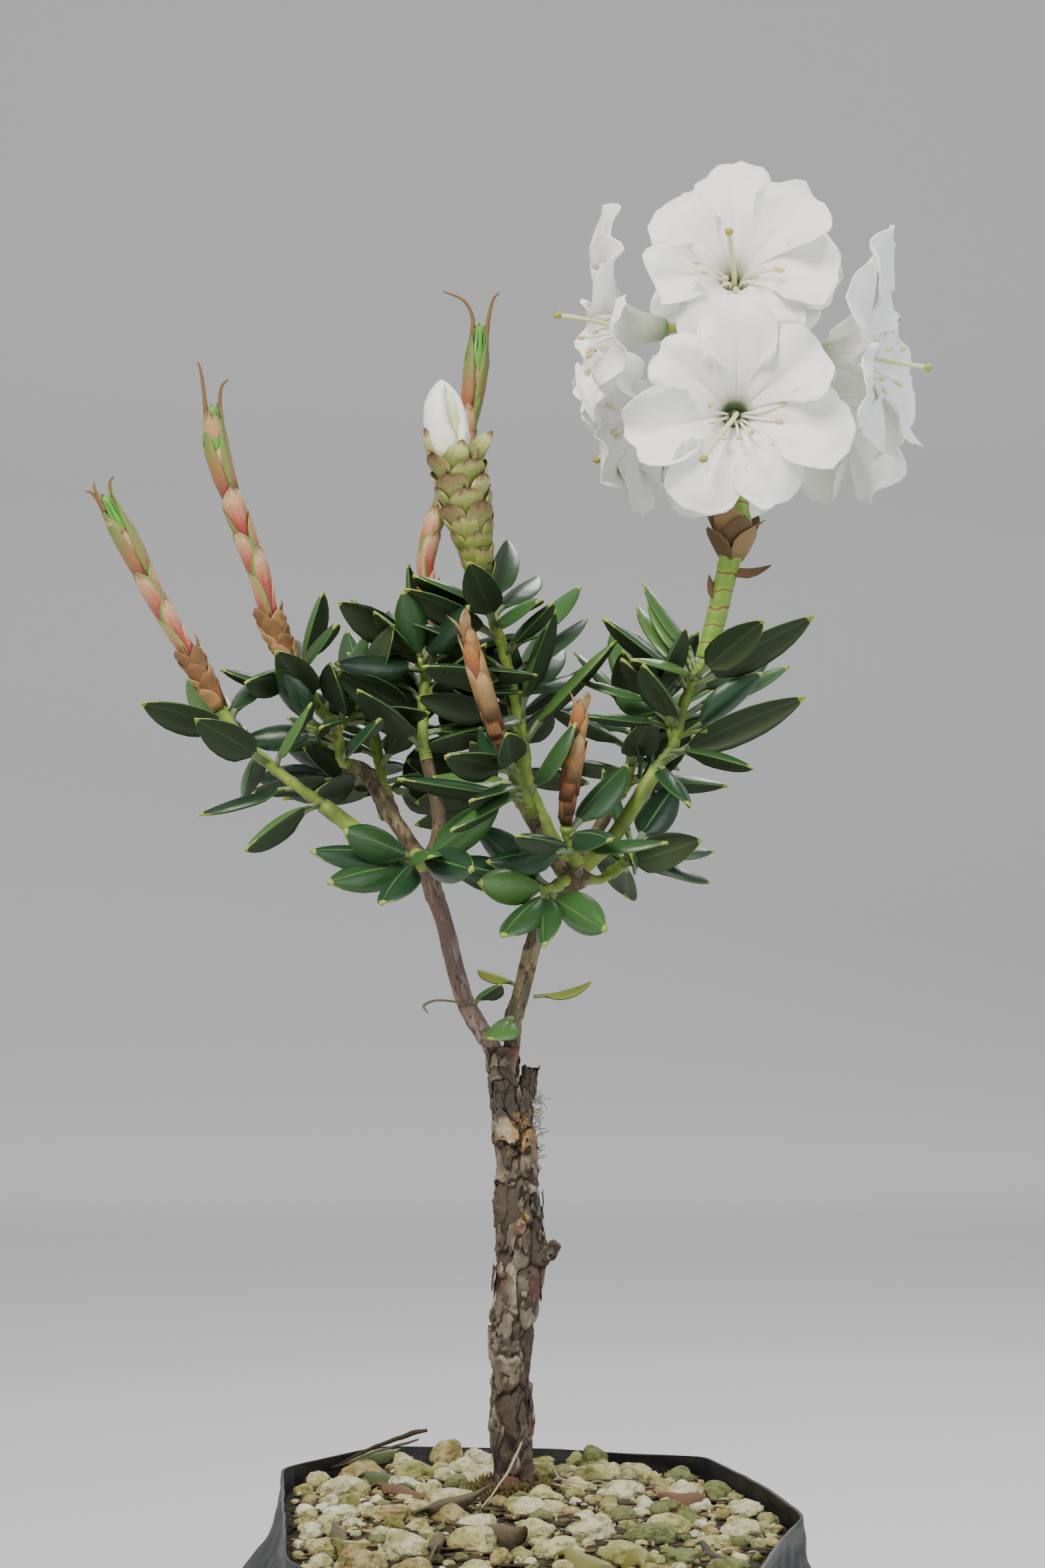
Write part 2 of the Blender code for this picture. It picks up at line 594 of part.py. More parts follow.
# Leaf masses. `stem` is the line that the leaves grow from, which goes on from the bough's tip. `leading`
# holds the leaves that make the outline, each as (place on the stem, across, up, front or back, roll): what
# is left of its length runs to the front (-1) or back (1). `more` leaves follow in a spiral round the stem.
# `length` is the leaves' length and `seed` deals out their small turns.
MASSES = {
    "leaves_far_left": {
        "bough": "bough_far_left",
        "stem": ((-74, 217, -7), (-84, 226, -9), (-90.6, 235.2, -10)),
        "leading": (
            (0.03, -22, -13, -1, 0.3), (0.5, -20, 13, -1, 0.0), (0.8, -27, 9, -1, 0.4),
            (0.85, -16, 15, 1, 0.0), (0.9, 6, 15, 1, 0.0), (0.6, -6, -14, 1, 0.0),
        ),
        "more": 4, "length": 33, "seed": 11,
    },
    "leaves_left": {
        "bough": "bough_left",
        "stem": ((-56.2, 229.4, 6), (-61.4, 236, 5), (-68.4, 247.4, 4)),
        "leading": (
            (0.25, -44, 11, -1, 0.5), (0.93, -26, 15, -1, 0.3), (0.9, -16, -1, -1, 0.4),
            (0.6, -12, 17, -1, 0.0), (0.95, 3, 21, 1, 0.0), (0.95, 12, 15, -1, 0.2),
            (0.1, 12, 12, -1, 0.4), (0.8, 14, 10, 1, 0.0),
        ),
        "more": 5, "length": 33, "seed": 12,
    },
    "leaves_upper_left": {
        "bough": "bough_upper_left",
        "stem": ((-29.8, 237.4, 10), (-28.6, 246, 12), (-26.8, 253.4, 13)),
        "leading": (
            (0.05, -19, 18, -1, 0.0), (0.5, -23, 16, 1, 0.0), (0.9, -12, 22, 1, 0.0),
            (0.9, -24, 19, 1, 0.3), (0.3, -22, 3, -1, 0.5), (0.6, -16, 20, 1, 0.2),
        ),
        "more": 6, "length": 32, "seed": 13,
    },
    "leaves_low_left": {
        "bough": "bough_low_left",
        "stem": ((-31.5, 190, -18), (-32, 192, -22)),
        "leading": (
            (0.5, -31, 4, -1, 0.3), (0.2, -26, -4, -1, 0.5), (0.1, -21, 4, 1, 0.4), (0.8, 16, -3, -1, 0.4),
            (0.6, -10, -12, -1, 0.4),
        ),
        "more": 3, "length": 32, "seed": 14,
    },
    "leaves_rear_left": {
        "bough": "bough_rear_left",
        "stem": ((-43, 220, 33), (-46, 234, 37)),
        "leading": (
            (0.95, -8, 28, 1, 0.0), (0.95, 6, 27, -1, 0.0), (0.6, -28, 10, 1, 0.0), (0.2, -24, -6, 1, 0.2),
        ),
        "more": 10, "length": 33, "seed": 15,
    },
    "leaves_centre": {
        "bough": "bough_centre",
        "stem": ((-1.6, 235, 11), (-4.5, 248, 9), (-8, 260, 8), (-11.4, 269.6, 7)),
        "leading": (
            (0.2, 5, 33, -1, 0.0), (0.72, -28, 15, -1, 0.5), (0.5, -33, 17, -1, 0.4),
            (0.42, -27, 11, -1, 0.3), (0.8, -8, 19, -1, 0.0), (0.86, 14, 14, 1, 0.0),
            (0.8, 13, 7, -1, 0.2), (0.6, 23, 22, 1, 0.1), (0.45, 24, 24, 1, 0.0),
            (0.05, 27, 31, -1, 0.3), (0.9, 5, 23, 1, 0.0), (0.3, 14, 19, 1, 0.0),
        ),
        "more": 6, "length": 34, "seed": 16,
    },
    "leaves_bud_upper": {
        "bough": "bough_bud_upper",
        "stem": ((-1, 213, -24), (-4.6, 219.4, -26)),
        "leading": (
            (0.2, -38, 7, -1, 0.5), (0.8, -20, 5, -1, 0.5), (0.9, -14, 24, 1, 0.0), (0.5, -15, -4, -1, 0.3),
            (0.4, -22, -10, -1, 0.4),
        ),
        "more": 3, "length": 32, "seed": 17,
    },
    "leaves_bud_lower": {
        "bough": "bough_bud_lower",
        "stem": ((14.2, 195.4, -19.5), (12.9, 200.2, -23)),
        "leading": (
            (0.5, -28, 17, -1, 0.7), (0.3, -17, 6, -1, 0.5), (0.9, -8, 23, -1, 0.2), (0.9, 21, 15, -1, -0.6),
            (0.4, 28, 2, -1, -0.6), (0.8, 18, 21, 1, 0.0),
        ),
        "more": 2, "length": 31, "seed": 18,
    },
    "leaves_low_front": {
        "bough": "bough_low_front",
        "stem": ((8.5, 181, -14), (7, 180, -18)),
        "leading": (
            (0.7, -14, -12, -1, 0.5), (0.5, -20, 3, -1, 0.3), (0.3, -31, 9, -1, 0.4), (0.9, 16, -10, -1, -0.3),
        ),
        "more": 2, "length": 30, "seed": 19,
    },
    "leaves_low_right": {
        "bough": "bough_low_right",
        "stem": ((32, 191, 10), (34, 195, 10)),
        "leading": (
            (0.2, 24, 8, -1, -0.4), (0.9, 14, 20, 1, 0.0), (0.5, 26, -6, 1, 0.0), (0.3, 2, -10, 1, 0.0),
        ),
        "more": 5, "length": 30, "seed": 20,
    },
    "leaves_truss": {
        "bough": "bough_truss",
        "stem": ((45.4, 224.6, 5), (48, 235.4, 5), (51.8, 244.6, 5), (54.4, 249.4, 5)),
        "leading": (
            (0.1, 42, 19, -1, -0.6), (0.75, 36, 22, -1, -0.6), (0.85, 20, 17, -1, -0.4),
            (0.85, 25, 20, 1, 0.0), (0.5, 33, 16, 1, 0.0), (0.4, -11, 19, -1, 0.0),
            (0.85, -20, 6, -1, 0.4), (0.75, -26, 22, -1, 0.2), (0.8, -15, 25, 1, 0.0),
            (0.92, -2, 26, 1, 0.0), (0.02, -28, 29, -1, 0.4), (0.05, 8, -12, -1, 0.0),
        ),
        "more": 5, "length": 34, "seed": 21,
    },
    "leaves_rear_right": {
        "bough": "bough_rear_right",
        "stem": ((33, 222, 33), (35, 236, 36)),
        "leading": (
            (0.95, -6, 28, 1, 0.0), (0.95, 12, 26, -1, 0.0), (0.6, 26, 12, 1, 0.0), (0.2, 24, -4, 1, 0.0),
        ),
        "more": 10, "length": 33, "seed": 22,
    },
    "leaves_rear": {
        "bough": "bough_rear",
        "stem": ((-3, 221, 38), (-5, 238, 42)),
        "leading": (
            (0.95, -12, 27, 1, 0.0), (0.95, 12, 27, 1, 0.0), (0.7, 24, 12, 1, 0.0), (0.7, -24, 12, 1, 0.0),
        ),
        "more": 10, "length": 33, "seed": 23,
    },
}
STEM_RADIUS = (1.6, 1.7)
STEM_SIDES = 5
STEM_STRAIGHT = 3.0  # mm that a stem runs straight on from its bough
LEAF_CLEAR = 0.35  # mm that a leaf keeps from its neighbours
MASS_REACH = 52.0  # mm from a stem's middle that its leaves keep within

# Single leaves low on the limbs, each on a short spur: foot (across, up, back), tip, width
SPUR_LEAVES = {
    "leaf_fork_front": ((-3.4, 143.5, -3.2), (-10, 136.5, -17), 9.5, "leaf"),
    "leaf_fork_left": ((-14.7, 147.5, -2.4), (-6.5, 153, -12), 7.0, "leaf"),
    "leaf_fork_back": ((-1.2, 152.5, 3.6), (-13.5, 157, 14), 6.0, "yellow_leaf"),
    "leaf_fork_right": ((3.2, 149.5, 0.6), (20.6, 153.6, 3), 5.5, "yellow_leaf"),
}


def stem_points(mass):
    """The stem's line: straight on from just clear of its bough's tip, then through its own places."""
    path = bough_path(mass["bough"])
    ahead = (path[-1] - path[-2]).normalized()
    first = [path[-1] + ahead * out * MM for out in (GAP, STEM_STRAIGHT)]
    return first + [at(*p) for p in mass["stem"]]


def place_on(path, share):
    """The point and direction at a share of a path's length."""
    lengths = [(b - a).length for a, b in zip(path, path[1:])]
    left = share * sum(lengths)
    for (a, b), length in zip(zip(path, path[1:]), lengths):
        if left <= length:
            return a.lerp(b, left / length), (b - a).normalized()
        left -= length
    return path[-1].copy(), (path[-1] - path[-2]).normalized()


def leading_run(length, across, up, toward):
    """The way from a leaf's foot to its tip, with what is left of its length to the front or back."""
    flat = math.hypot(across, up)
    length = max(length, flat * 1.04)
    return Vector((across, toward * math.sqrt(length**2 - flat**2), up)) * MM


def try_leaf(foot, run, up, rng, own, others, limits, roll=0.0, width=LEAF_WIDTH):
    """Turns a leaf a little, over a few tries, until it clears its neighbours. None if it never does."""
    middle, reach = limits
    for attempt in range(LEAF_TRIES):
        wobble = 0.0 if attempt == 0 else 0.06 + 0.05 * attempt
        axis = Vector((rng.uniform(-1, 1), rng.uniform(-1, 1), rng.uniform(-1, 1))).normalized()
        turned = Quaternion(axis, rng.uniform(-1, 1) * wobble * 2) @ run
        tip = foot + turned
        if (tip - middle).length > reach * MM:
            continue
        twist = roll + rng.uniform(-1, 1) * wobble
        tried, faces, blade = leaf_solid(foot, tip, up, width=width, roll=twist, grow=LEAF_CLEAR)
        whole_tree, blade_tree = tree_of(tried, faces), tree_of(tried, blade)
        if any(whole_tree.overlap(tree) for tree in others):
            continue
        if any(blade_tree.overlap(whole) for whole, _ in own):
            continue
        if any(part and whole_tree.overlap(part) for _, part in own):
            continue
        return leaf_solid(foot, tip, up, width=width, roll=twist)
    return None


def grow_mass(name, mass, solids, placed):
    """One mass of leaves: the leading ones first, then more in a spiral, each clear of all the rest."""
    rng = random.Random(mass["seed"])
    path = smooth_path(stem_points(mass), 1)
    verts, faces = tube(path, spread_radii(STEM_RADIUS, len(path)), STEM_SIDES)
    stem = solid(name, verts, faces, "leaf")
    stem_tree = tree_of(verts, faces)
    others = [tree for key, tree in solids.items() if key != name] + placed
    limits = (place_on(path, 0.5)[0], MASS_REACH)
    own, leaves, missed = [(stem_tree, None)], [], 0

    def add(foot, run, up, roll, width):
        nonlocal missed
        made = try_leaf(foot, run, up, rng, own, others, limits, roll, width)
        if made is None:
            missed += 1
            return
        leaf_verts, leaf_faces, blade = made
        own.append((tree_of(leaf_verts, leaf_faces), tree_of(leaf_verts, blade)))
        leaves.append(solid(f"{name}_leaf", leaf_verts, leaf_faces, "leaf"))

    for share, across, up, toward, roll in mass["leading"]:
        foot, ahead = place_on(path, share)
        add(foot, leading_run(mass["length"] * 1.04, across, up, toward), ahead, roll, LEAF_WIDTH)
    turn = rng.uniform(0, 2 * math.pi)
    for i in range(mass["more"]):
        share = 0.12 + 0.84 * (i + 0.5) / mass["more"]
        foot, ahead = place_on(path, share)
        side = ahead.orthogonal().normalized()
        turn += GOLDEN_ANGLE
        lean = math.radians(92 - 45 * share + rng.uniform(-8, 8))
        out = Quaternion(ahead, turn) @ side
        length = mass["length"] * rng.uniform(0.82, 1.02) * MM
        run = (ahead * math.cos(lean) + out * math.sin(lean)) * length
        add(foot, run, ahead, 0.0, LEAF_WIDTH * rng.uniform(0.86, 1.02))
    placed.extend(whole for whole, _ in own[1:])
    fuse(stem, leaves)
    print(f"{name}: {len(leaves)} leaves, {missed} skipped")


def make_spur_leaves(placed):
    for name, (foot, tip, width, colour) in SPUR_LEAVES.items():
        verts, faces, _ = leaf_solid(at(*foot), at(*tip), Vector((0, 0, 1)), width=width, arch=0.12)
        solid(name, verts, faces, colour)
        placed.append(tree_of(verts, faces))


# New shoots, the opening cone and the brown buds: a core with bracts or scales laid up it in a spiral


def bracted(name, points, radii, colour, bracts):
    """A core along the points with fused bracts. `bracts` gives their count, length, width and lean."""
    path = [at(*p) for p in points]
    wanted = spread_radii(radii, len(path))
    verts, faces = tube(path, wanted, 7)
    core = solid(name, verts, faces, colour)
    pieces = []
    for i in range(bracts["count"]):
        share = bracts["first"] + (bracts["last"] - bracts["first"]) * i / (bracts["count"] - 1)
        foot, ahead = place_on(path, share)
        radius = wanted[round(share * (len(wanted) - 1))]
        side = Quaternion(ahead, i * GOLDEN_ANGLE) @ ahead.orthogonal().normalized()
        start = foot + side * radius * 0.55
        lean = math.radians(bracts["lean"])
        tip = start + (ahead * math.cos(lean) + side * math.sin(lean)) * bracts["length"] * MM
        pieces.append(bract(f"{name}_bract", start, tip, side, bracts["width"], bracts["thick"], colour))
    return fuse(core, pieces)


def bract(name, start, tip, out, width, thick, colour):
    """A broad scale that is fat in its middle and comes to a point."""
    run = tip - start
    ahead = run.normalized()
    face = (out - ahead * out.dot(ahead)).normalized()
    across = ahead.cross(face)
    broad = start + run * 0.42
    verts = [
        start,
        broad - across * width / 2 * MM - face * thick * 0.5 * MM,
        broad + face * thick * MM,
        broad + across * width / 2 * MM - face * thick * 0.5 * MM,
        broad - face * thick * 0.8 * MM,
        tip,
    ]
    faces = [(0, 2, 1), (0, 3, 2), (0, 4, 3), (0, 1, 4), (5, 1, 2), (5, 2, 3), (5, 3, 4), (5, 4, 1)]
    return solid(name, verts, faces, colour)


SHOOTS = {
    "new_shoot_far_left": (
        ((-91.0, 236, -10), (-99, 250, -12), (-109, 267, -15), (-118, 285, -18), (-125.5, 299, -20)),
        (2.6, 3.6, 3.2, 3.4, 2.4),
    ),
    "new_shoot_left": (
        ((-69, 248.2, 4), (-75.5, 262, 4), (-79, 276, 3), (-85, 292, 2), (-91.5, 312, 1), (-93, 326, 0)),
        (3.0, 4.0, 3.6, 3.4, 3.4, 2.6),
    ),
    "new_shoot_upper": (
        ((-26.6, 254.4, 13.4), (-29, 270, 18), (-28, 286, 24),
         (-20, 306, 26), (-15.5, 325, 27), (-12.6, 350, 28)),
        (2.8, 3.4, 3.2, 3.4, 3.8, 2.6),
    ),
}
BROWN_BUDS = {
    "brown_bud_upper": (((-5.0, 220.4, -26.2), (-10, 235, -29), (-17.8, 261, -33)), (2.2, 4.0, 3.4, 1.2)),
    "brown_bud_lower": (((12.8, 201.2, -23.4), (15, 218, -26), (17.6, 236.6, -28)), (2.6, 4.0, 3.0, 1.2)),
}
CONE = (((-11.8, 270.6, 6.8), (-14, 283, 6), (-17, 297, 5), (-19.4, 309, 4.6)), (3.6, 6.4, 7.2, 7.6))
FLOWER_BUD = ((-19.6, 309.9, 4.5), (-21.8, 319, 4.4), (-23.6, 327, 4.4), (-22.6, 333, 4.5))
FLOWER_BUD_RADII = (3.4, 6.4, 6.6, 2.0)


def make_shoots():
    for name, (points, radii) in SHOOTS.items():
        bracts = {
            "count": 13, "first": 0.02, "last": 0.84, "length": 22, "width": 7.6, "thick": 1.5, "lean": 8,
        }
        bracted(name, points, radii, "shoot", bracts)
    for name, (points, radii) in BROWN_BUDS.items():
        bracts = {
            "count": 9, "first": 0.05, "last": 0.72, "length": 13, "width": 6.6, "thick": 1.1, "lean": 6,
        }
        bracted(name, points, radii, "papery", bracts)
    points, radii = CONE
    bracts = {
        "count": 28, "first": 0.0, "last": 0.76, "length": 11.5, "width": 10.5, "thick": 1.8, "lean": 15,
    }
    bracted("flower_cone", points, radii, "scale", bracts)
    limb("flower_bud", [at(*p) for p in FLOWER_BUD], FLOWER_BUD_RADII, "petal", sides=10, steps=3)


# The truss: a ringed green stem with a collar of scales, a rachis inside, and the blooms round it

TRUSS_STEM = ((54.8, 250.2, 5), (58, 262, 5.4), (61, 275, 5.8), (63.4, 285, 6), (64.8, 290, 6))
TRUSS_STEM_RADII = (3.0, 3.1, 3.2, 3.6, 4.2)
COLLAR = {
    "count": 6, "length": 12.5, "width": 10, "lean": 30, "across": 62.6, "up": 283, "out": 2.4, "thick": 1.3,
}
LOOSE_SCALES = ((61.6, 277, 18, -2), (60, 268, -8, 9))  # across, up, and how far the tip lies across and up

# Each bloom: where its funnel starts, its turn in plan (-90 faces front), rise, radius, and how high its
# stalk sits on the rachis
BLOOMS = {
    "bloom_top": ((63, 360, 5), -90, 19, 31, 331),
    "bloom_front": ((63.4, 323, -8), -90, 0, 33.5, 317),
    "bloom_right": ((88, 341, 3), -14, 3, 34, 327),
    "bloom_left": ((43, 349, 3), -171, 3, 34, 331),
    "bloom_low_left": ((46, 327, 21), 148, -14, 30, 311),
    "bloom_rear_right": ((83, 329, 25), 34, -6, 31, 313),
    "bloom_rear_top": ((66, 355, 22), 88, 36, 31, 335.8),
    "bloom_rear": ((63, 325, 32), 97, -8, 31, 322),
}
# The front bloom's upper lobes lie before the top bloom's lower ones, so the plane between them leans back.
LEANING = {("bloom_front", "bloom_top"): ((63, 346, -21), (0.0, 0.5, 0.87))}


def bloom_aim(turn, rise):
    turn, rise = math.radians(turn), math.radians(rise)
    return Vector((math.cos(turn) * math.cos(rise), math.sin(turn) * math.cos(rise), math.sin(rise)))


def parting_planes(name):
    """For each other bloom the plane between the two: a point on it and its normal, away from this one."""
    planes = []
    start, turn, rise, _, _ = BLOOMS[name]
    own = at(*start) + bloom_aim(turn, rise) * BLOOM_DEPTH * MM
    for other, (place, other_turn, other_rise, _, _) in BLOOMS.items():
        if other == name:
            continue
        if (name, other) in LEANING or (other, name) in LEANING:
            middle, normal = LEANING.get((name, other)) or LEANING[(other, name)]
            away = Vector((normal[0], normal[2], normal[1])).normalized()
            planes.append((at(*middle), away if (name, other) in LEANING else -away))
            continue
        rim = at(*place) + bloom_aim(other_turn, other_rise) * BLOOM_DEPTH * MM
        planes.append(((own + rim) / 2, (rim - own).normalized()))
    return planes


def funnel(start, aim, radius, planes, phase):
    """The middle surface of a bloom's lobed funnel, pressed flat where it meets the blooms beside it."""
    side = aim.cross(Vector((0, 0, 1))).normalized()
    upward = side.cross(aim)
    count = BLOOM_LOBES * LOBE_POINTS
    keep = (GAP + PETAL_THICK) / 2 + 0.05  # from the plane between two blooms
    grid = []
    for depth, share, notch in BLOOM_RINGS:
        ring = []
        for j in range(count):
            angle = 2 * math.pi * j / count + phase
            between = abs(math.cos(math.pi * j / LOBE_POINTS)) ** 3
            wave = PETAL_WAVE * math.sin(2.7 * j + phase * 9) if depth > 0.9 else 0.0
            reach = radius * share * (1 - notch * between) * (1 + wave)
            out = side * math.cos(angle) + upward * math.sin(angle)
            point = start + aim * depth * BLOOM_DEPTH * MM + out * reach * MM
            for middle, normal in planes:
                past = (point - middle).dot(normal) + keep * MM
                if past > 0:
                    point = point - normal * past
            ring.append(point)
        grid.append(ring)
    return grid


def make_bloom(name, index):
    start, turn, rise, radius, seat = BLOOMS[name]
    start, aim = at(*start), bloom_aim(turn, rise)
    grid = funnel(start, aim, radius, parting_planes(name), phase=0.4 * index)
    rows, count = len(grid), len(grid[0])
    inner, outer = [], []
    for i in range(rows):
        for j in range(count):
            along = grid[min(i + 1, rows - 1)][j] - grid[max(i - 1, 0)][j]
            round_it = grid[i][(j + 1) % count] - grid[i][j - 1]
            face = round_it.cross(along).normalized()
            if face.dot(aim) < 0 and i > 1:
                face = -face
            if i <= 1:
                face = (start + aim * aim.dot(grid[i][j] - start) - grid[i][j]).normalized()
            inner.append(grid[i][j] + face * PETAL_THICK / 2 * MM)
            outer.append(grid[i][j] - face * PETAL_THICK / 2 * MM)
    verts = inner + outer + [start - aim * 1.6 * MM]
    below = len(inner)
    faces = []
    for i in range(rows - 1):
        for j in range(count):
            k = (j + 1) % count
            a, b, c, d = i * count + j, i * count + k, (i + 1) * count + k, (i + 1) * count + j
            faces.append((a, d, c, b))
            faces.append((below + a, below + b, below + c, below + d))
    last = (rows - 1) * count
    for j in range(count):
        k = (j + 1) % count
        faces.append((last + j, below + last + j, below + last + k, last + k))
        faces.append((below + k, below + j, len(verts) - 1))
    faces.append(tuple(range(count)))
    bloom = solid(name, verts, faces, "petal")
    fuse(bloom, [bloom_stalk(name, start, aim, seat)])
    return bloom


def bloom_stalk(name, start, aim, seat):
    """The stalk from the rachis to a bloom, sunk well into the funnel's foot."""
    behind = start - aim * STALK_BEHIND * MM
    axis = at(RACHIS_ACROSS, min(seat, RACHIS_TOP - 1.5), TRUSS_BACK)
    out = behind - axis
    if seat > RACHIS_TOP - 1:
        axis = at(RACHIS_ACROSS, RACHIS_TOP, TRUSS_BACK)
        first = axis + (behind - axis).normalized() * (STALK_RADIUS + 0.2) * MM + Vector((0, 0, GAP * MM))
    else:
        flat = Vector((out.x, out.y, 0)).normalized()
        slope = abs(out.normalized().z)
        first = axis + flat * (RACHIS_RADIUS + GAP + STALK_RADIUS * slope + 0.1) * MM
    path = [first, first.lerp(behind, 0.5), behind, start + aim * 0.4 * MM]
    verts, faces = tube(path, [STALK_RADIUS * MM] * 3 + [STALK_FOOT_RADIUS * MM], 6)
    return solid(f"{name}_stalk", verts, faces, "green_stem")


def make_truss():
    rachis = [at(RACHIS_ACROSS, up, TRUSS_BACK) for up in (RACHIS_FOOT, RACHIS_TOP)]
    path = smooth_path([at(*p) for p in TRUSS_STEM], 2) + rachis
    radii = spread_radii(TRUSS_STEM_RADII, len(path) - 2) + [RACHIS_RADIUS * MM] * 2
    verts, faces = tube(path, radii, 10)
    stem = solid("truss_stem", verts, faces, "green_stem")
    scales = []
    foot = at(COLLAR["across"], COLLAR["up"], TRUSS_BACK)
    for i in range(COLLAR["count"]):
        turn = 2 * math.pi * i / COLLAR["count"]
        out = Vector((math.cos(turn), math.sin(turn), 0))
        lean = math.radians(COLLAR["lean"])
        start = foot + out * COLLAR["out"] * MM
        tip = start + (Vector((0.1, 0, 1)) * math.cos(lean) + out * math.sin(lean)) * COLLAR["length"] * MM
        scales.append(bract("collar_scale", start, tip, out, COLLAR["width"], COLLAR["thick"], "papery"))
    for across, up, out_x, out_up in LOOSE_SCALES:
        start = at(across, up, TRUSS_BACK - 0.5)
        tip = start + Vector((out_x, -3, out_up)) * MM
        scales.append(bract("loose_scale", start, tip, Vector((0, -0.6, 0.8)), 5, 0.9, "papery"))
    fuse(stem, scales)


def main():
    for ob in list(bpy.data.objects):
        bpy.data.objects.remove(ob)
    make_bag()
    make_soil()
    make_trunk()
    for name, (points, radii, hub, colour) in LIMBS.items():
        make_limb(name, points, radii, hub, colour)
    make_boughs()
    make_shoots()
    make_truss()
    for index, name in enumerate(BLOOMS):
        make_bloom(name, index)
    placed = []
    make_spur_leaves(placed)
    solids = {ob.name: tree_of_object(ob) for ob in bpy.data.objects if ob.name not in SPUR_LEAVES}
    for name, mass in MASSES.items():
        path = smooth_path(stem_points(mass), 1)
        solids[name] = tree_of(*tube(path, spread_radii(STEM_RADIUS, len(path)), STEM_SIDES))
    for name, mass in MASSES.items():
        grow_mass(name, mass, solids, placed)


main()
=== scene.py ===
import math
import random

import bpy
import numpy as np
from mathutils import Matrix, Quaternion, Vector, noise
from mathutils.bvhtree import BVHTree


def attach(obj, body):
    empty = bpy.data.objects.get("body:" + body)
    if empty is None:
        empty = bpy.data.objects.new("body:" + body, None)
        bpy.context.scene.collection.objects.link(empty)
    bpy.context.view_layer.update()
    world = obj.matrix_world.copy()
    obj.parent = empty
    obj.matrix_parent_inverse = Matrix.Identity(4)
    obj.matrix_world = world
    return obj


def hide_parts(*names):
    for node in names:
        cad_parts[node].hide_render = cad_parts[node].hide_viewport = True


noise.seed_set(5)  # the same bark and ruffles at every run

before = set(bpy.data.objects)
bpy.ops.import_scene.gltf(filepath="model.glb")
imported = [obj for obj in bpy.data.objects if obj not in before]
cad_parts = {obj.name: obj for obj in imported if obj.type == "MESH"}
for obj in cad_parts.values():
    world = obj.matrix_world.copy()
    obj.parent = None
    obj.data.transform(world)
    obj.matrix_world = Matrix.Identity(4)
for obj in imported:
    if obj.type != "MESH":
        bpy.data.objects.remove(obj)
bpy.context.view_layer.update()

mm = 0.001
goldenAngle = math.radians(137.5)

# Places are (across, up, back) in mm: across and up are read in the trunk's plane, back is behind it
plant = {
    "soilTop": 160.0,
    "trunkBack": 20.0,
    "eyeUp": 212.7,  # how high over the soil the eye is
    "eyeAway": 1306.0,
    "gap": 0.3,
}


def placeAt(across, up, back=0.0):
    spread = 1 + back / plant["eyeAway"]
    height = plant["soilTop"] + plant["eyeUp"] + (up - plant["eyeUp"]) * spread
    return Vector((across * spread, plant["trunkBack"] + back, height)) * mm


# ---- camera and light come first, so the framing is settled


def makeCamera():
    cameraData = bpy.data.cameras.new("camera")
    cameraData.lens = 100
    cameraData.sensor_width = 36
    cameraData.clip_start = 0.05
    cameraData.clip_end = 30
    camera = bpy.data.objects.new("camera", cameraData)
    bpy.context.scene.collection.objects.link(camera)
    camera.location = (0, (plant["trunkBack"] - plant["eyeAway"]) * mm, (plant["soilTop"] + plant["eyeUp"]) * mm)
    camera.rotation_euler = (math.radians(90), 0, 0)
    bpy.context.scene.camera = camera


studio = {
    "floorColour": "CDCFCE",
    "worldColour": "E4E6EA",
    "worldStrength": 0.6,
    # each lamp: place in metres, size, watts, colour
    "lamps": (
        ((-0.7, -1.3, 1.7), 0.9, 56, "FFF8EE"),
        ((1.3, -0.7, 1.0), 1.2, 14, "EEF3FF"),
        ((0.5, 1.2, 1.5), 0.8, 20, "FFFFFF"),
    ),
    "aim": (0, 0.02, 0.33),
}


# ---- small helpers


def hexColour(text):
    channels = [int(text[i:i + 2], 16) / 255 for i in (0, 2, 4)]
    return [c / 12.92 if c <= 0.04045 else ((c + 0.055) / 1.055) ** 2.4 for c in channels] + [1.0]


def addNode(tree, kind, settings={}, links={}):
    node = tree.nodes.new("ShaderNode" + kind)
    for key, value in settings.items():
        if key == "stops":  # a ramp's places and colours
            ramp = node.color_ramp
            while len(ramp.elements) < len(value):
                ramp.elements.new(1.0)
            for element, (place, colour) in zip(ramp.elements, value):
                element.position = place
                element.color = hexColour(colour)
        elif isinstance(key, str) and hasattr(node, key):
            setattr(node, key, value)
        else:
            node.inputs[key].default_value = value
    for key, socket in links.items():
        tree.links.new(socket, node.inputs[key])
    return node


def newMaterial(name, colour, roughness, settings={}):
    material = bpy.data.materials.new(name)
    material.use_nodes = True
    tree = material.node_tree
    shader = tree.nodes["Principled BSDF"]
    shader.inputs["Base Color"].default_value = hexColour(colour)
    shader.inputs["Roughness"].default_value = roughness
    for key, value in settings.items():
        shader.inputs[key].default_value = value
    return material, tree, shader


def plainSkin(name, colour, roughness, grainScale, grainDepth, settings={}):
    # one colour, with the surface's own fine grain: for pieces joined from many small things
    skin, tree, shader = newMaterial(name, colour, roughness, settings)
    place = addNode(tree, "TexCoord").outputs["Object"]
    fine = addNode(tree, "TexNoise", {"Scale": grainScale, "Detail": 4.0}, {"Vector": place})
    bump = addNode(tree, "Bump", {"Strength": 0.6, "Distance": grainDepth}, {"Height": fine.outputs["Fac"]})
    tree.links.new(bump.outputs["Normal"], shader.inputs["Normal"])
    return skin


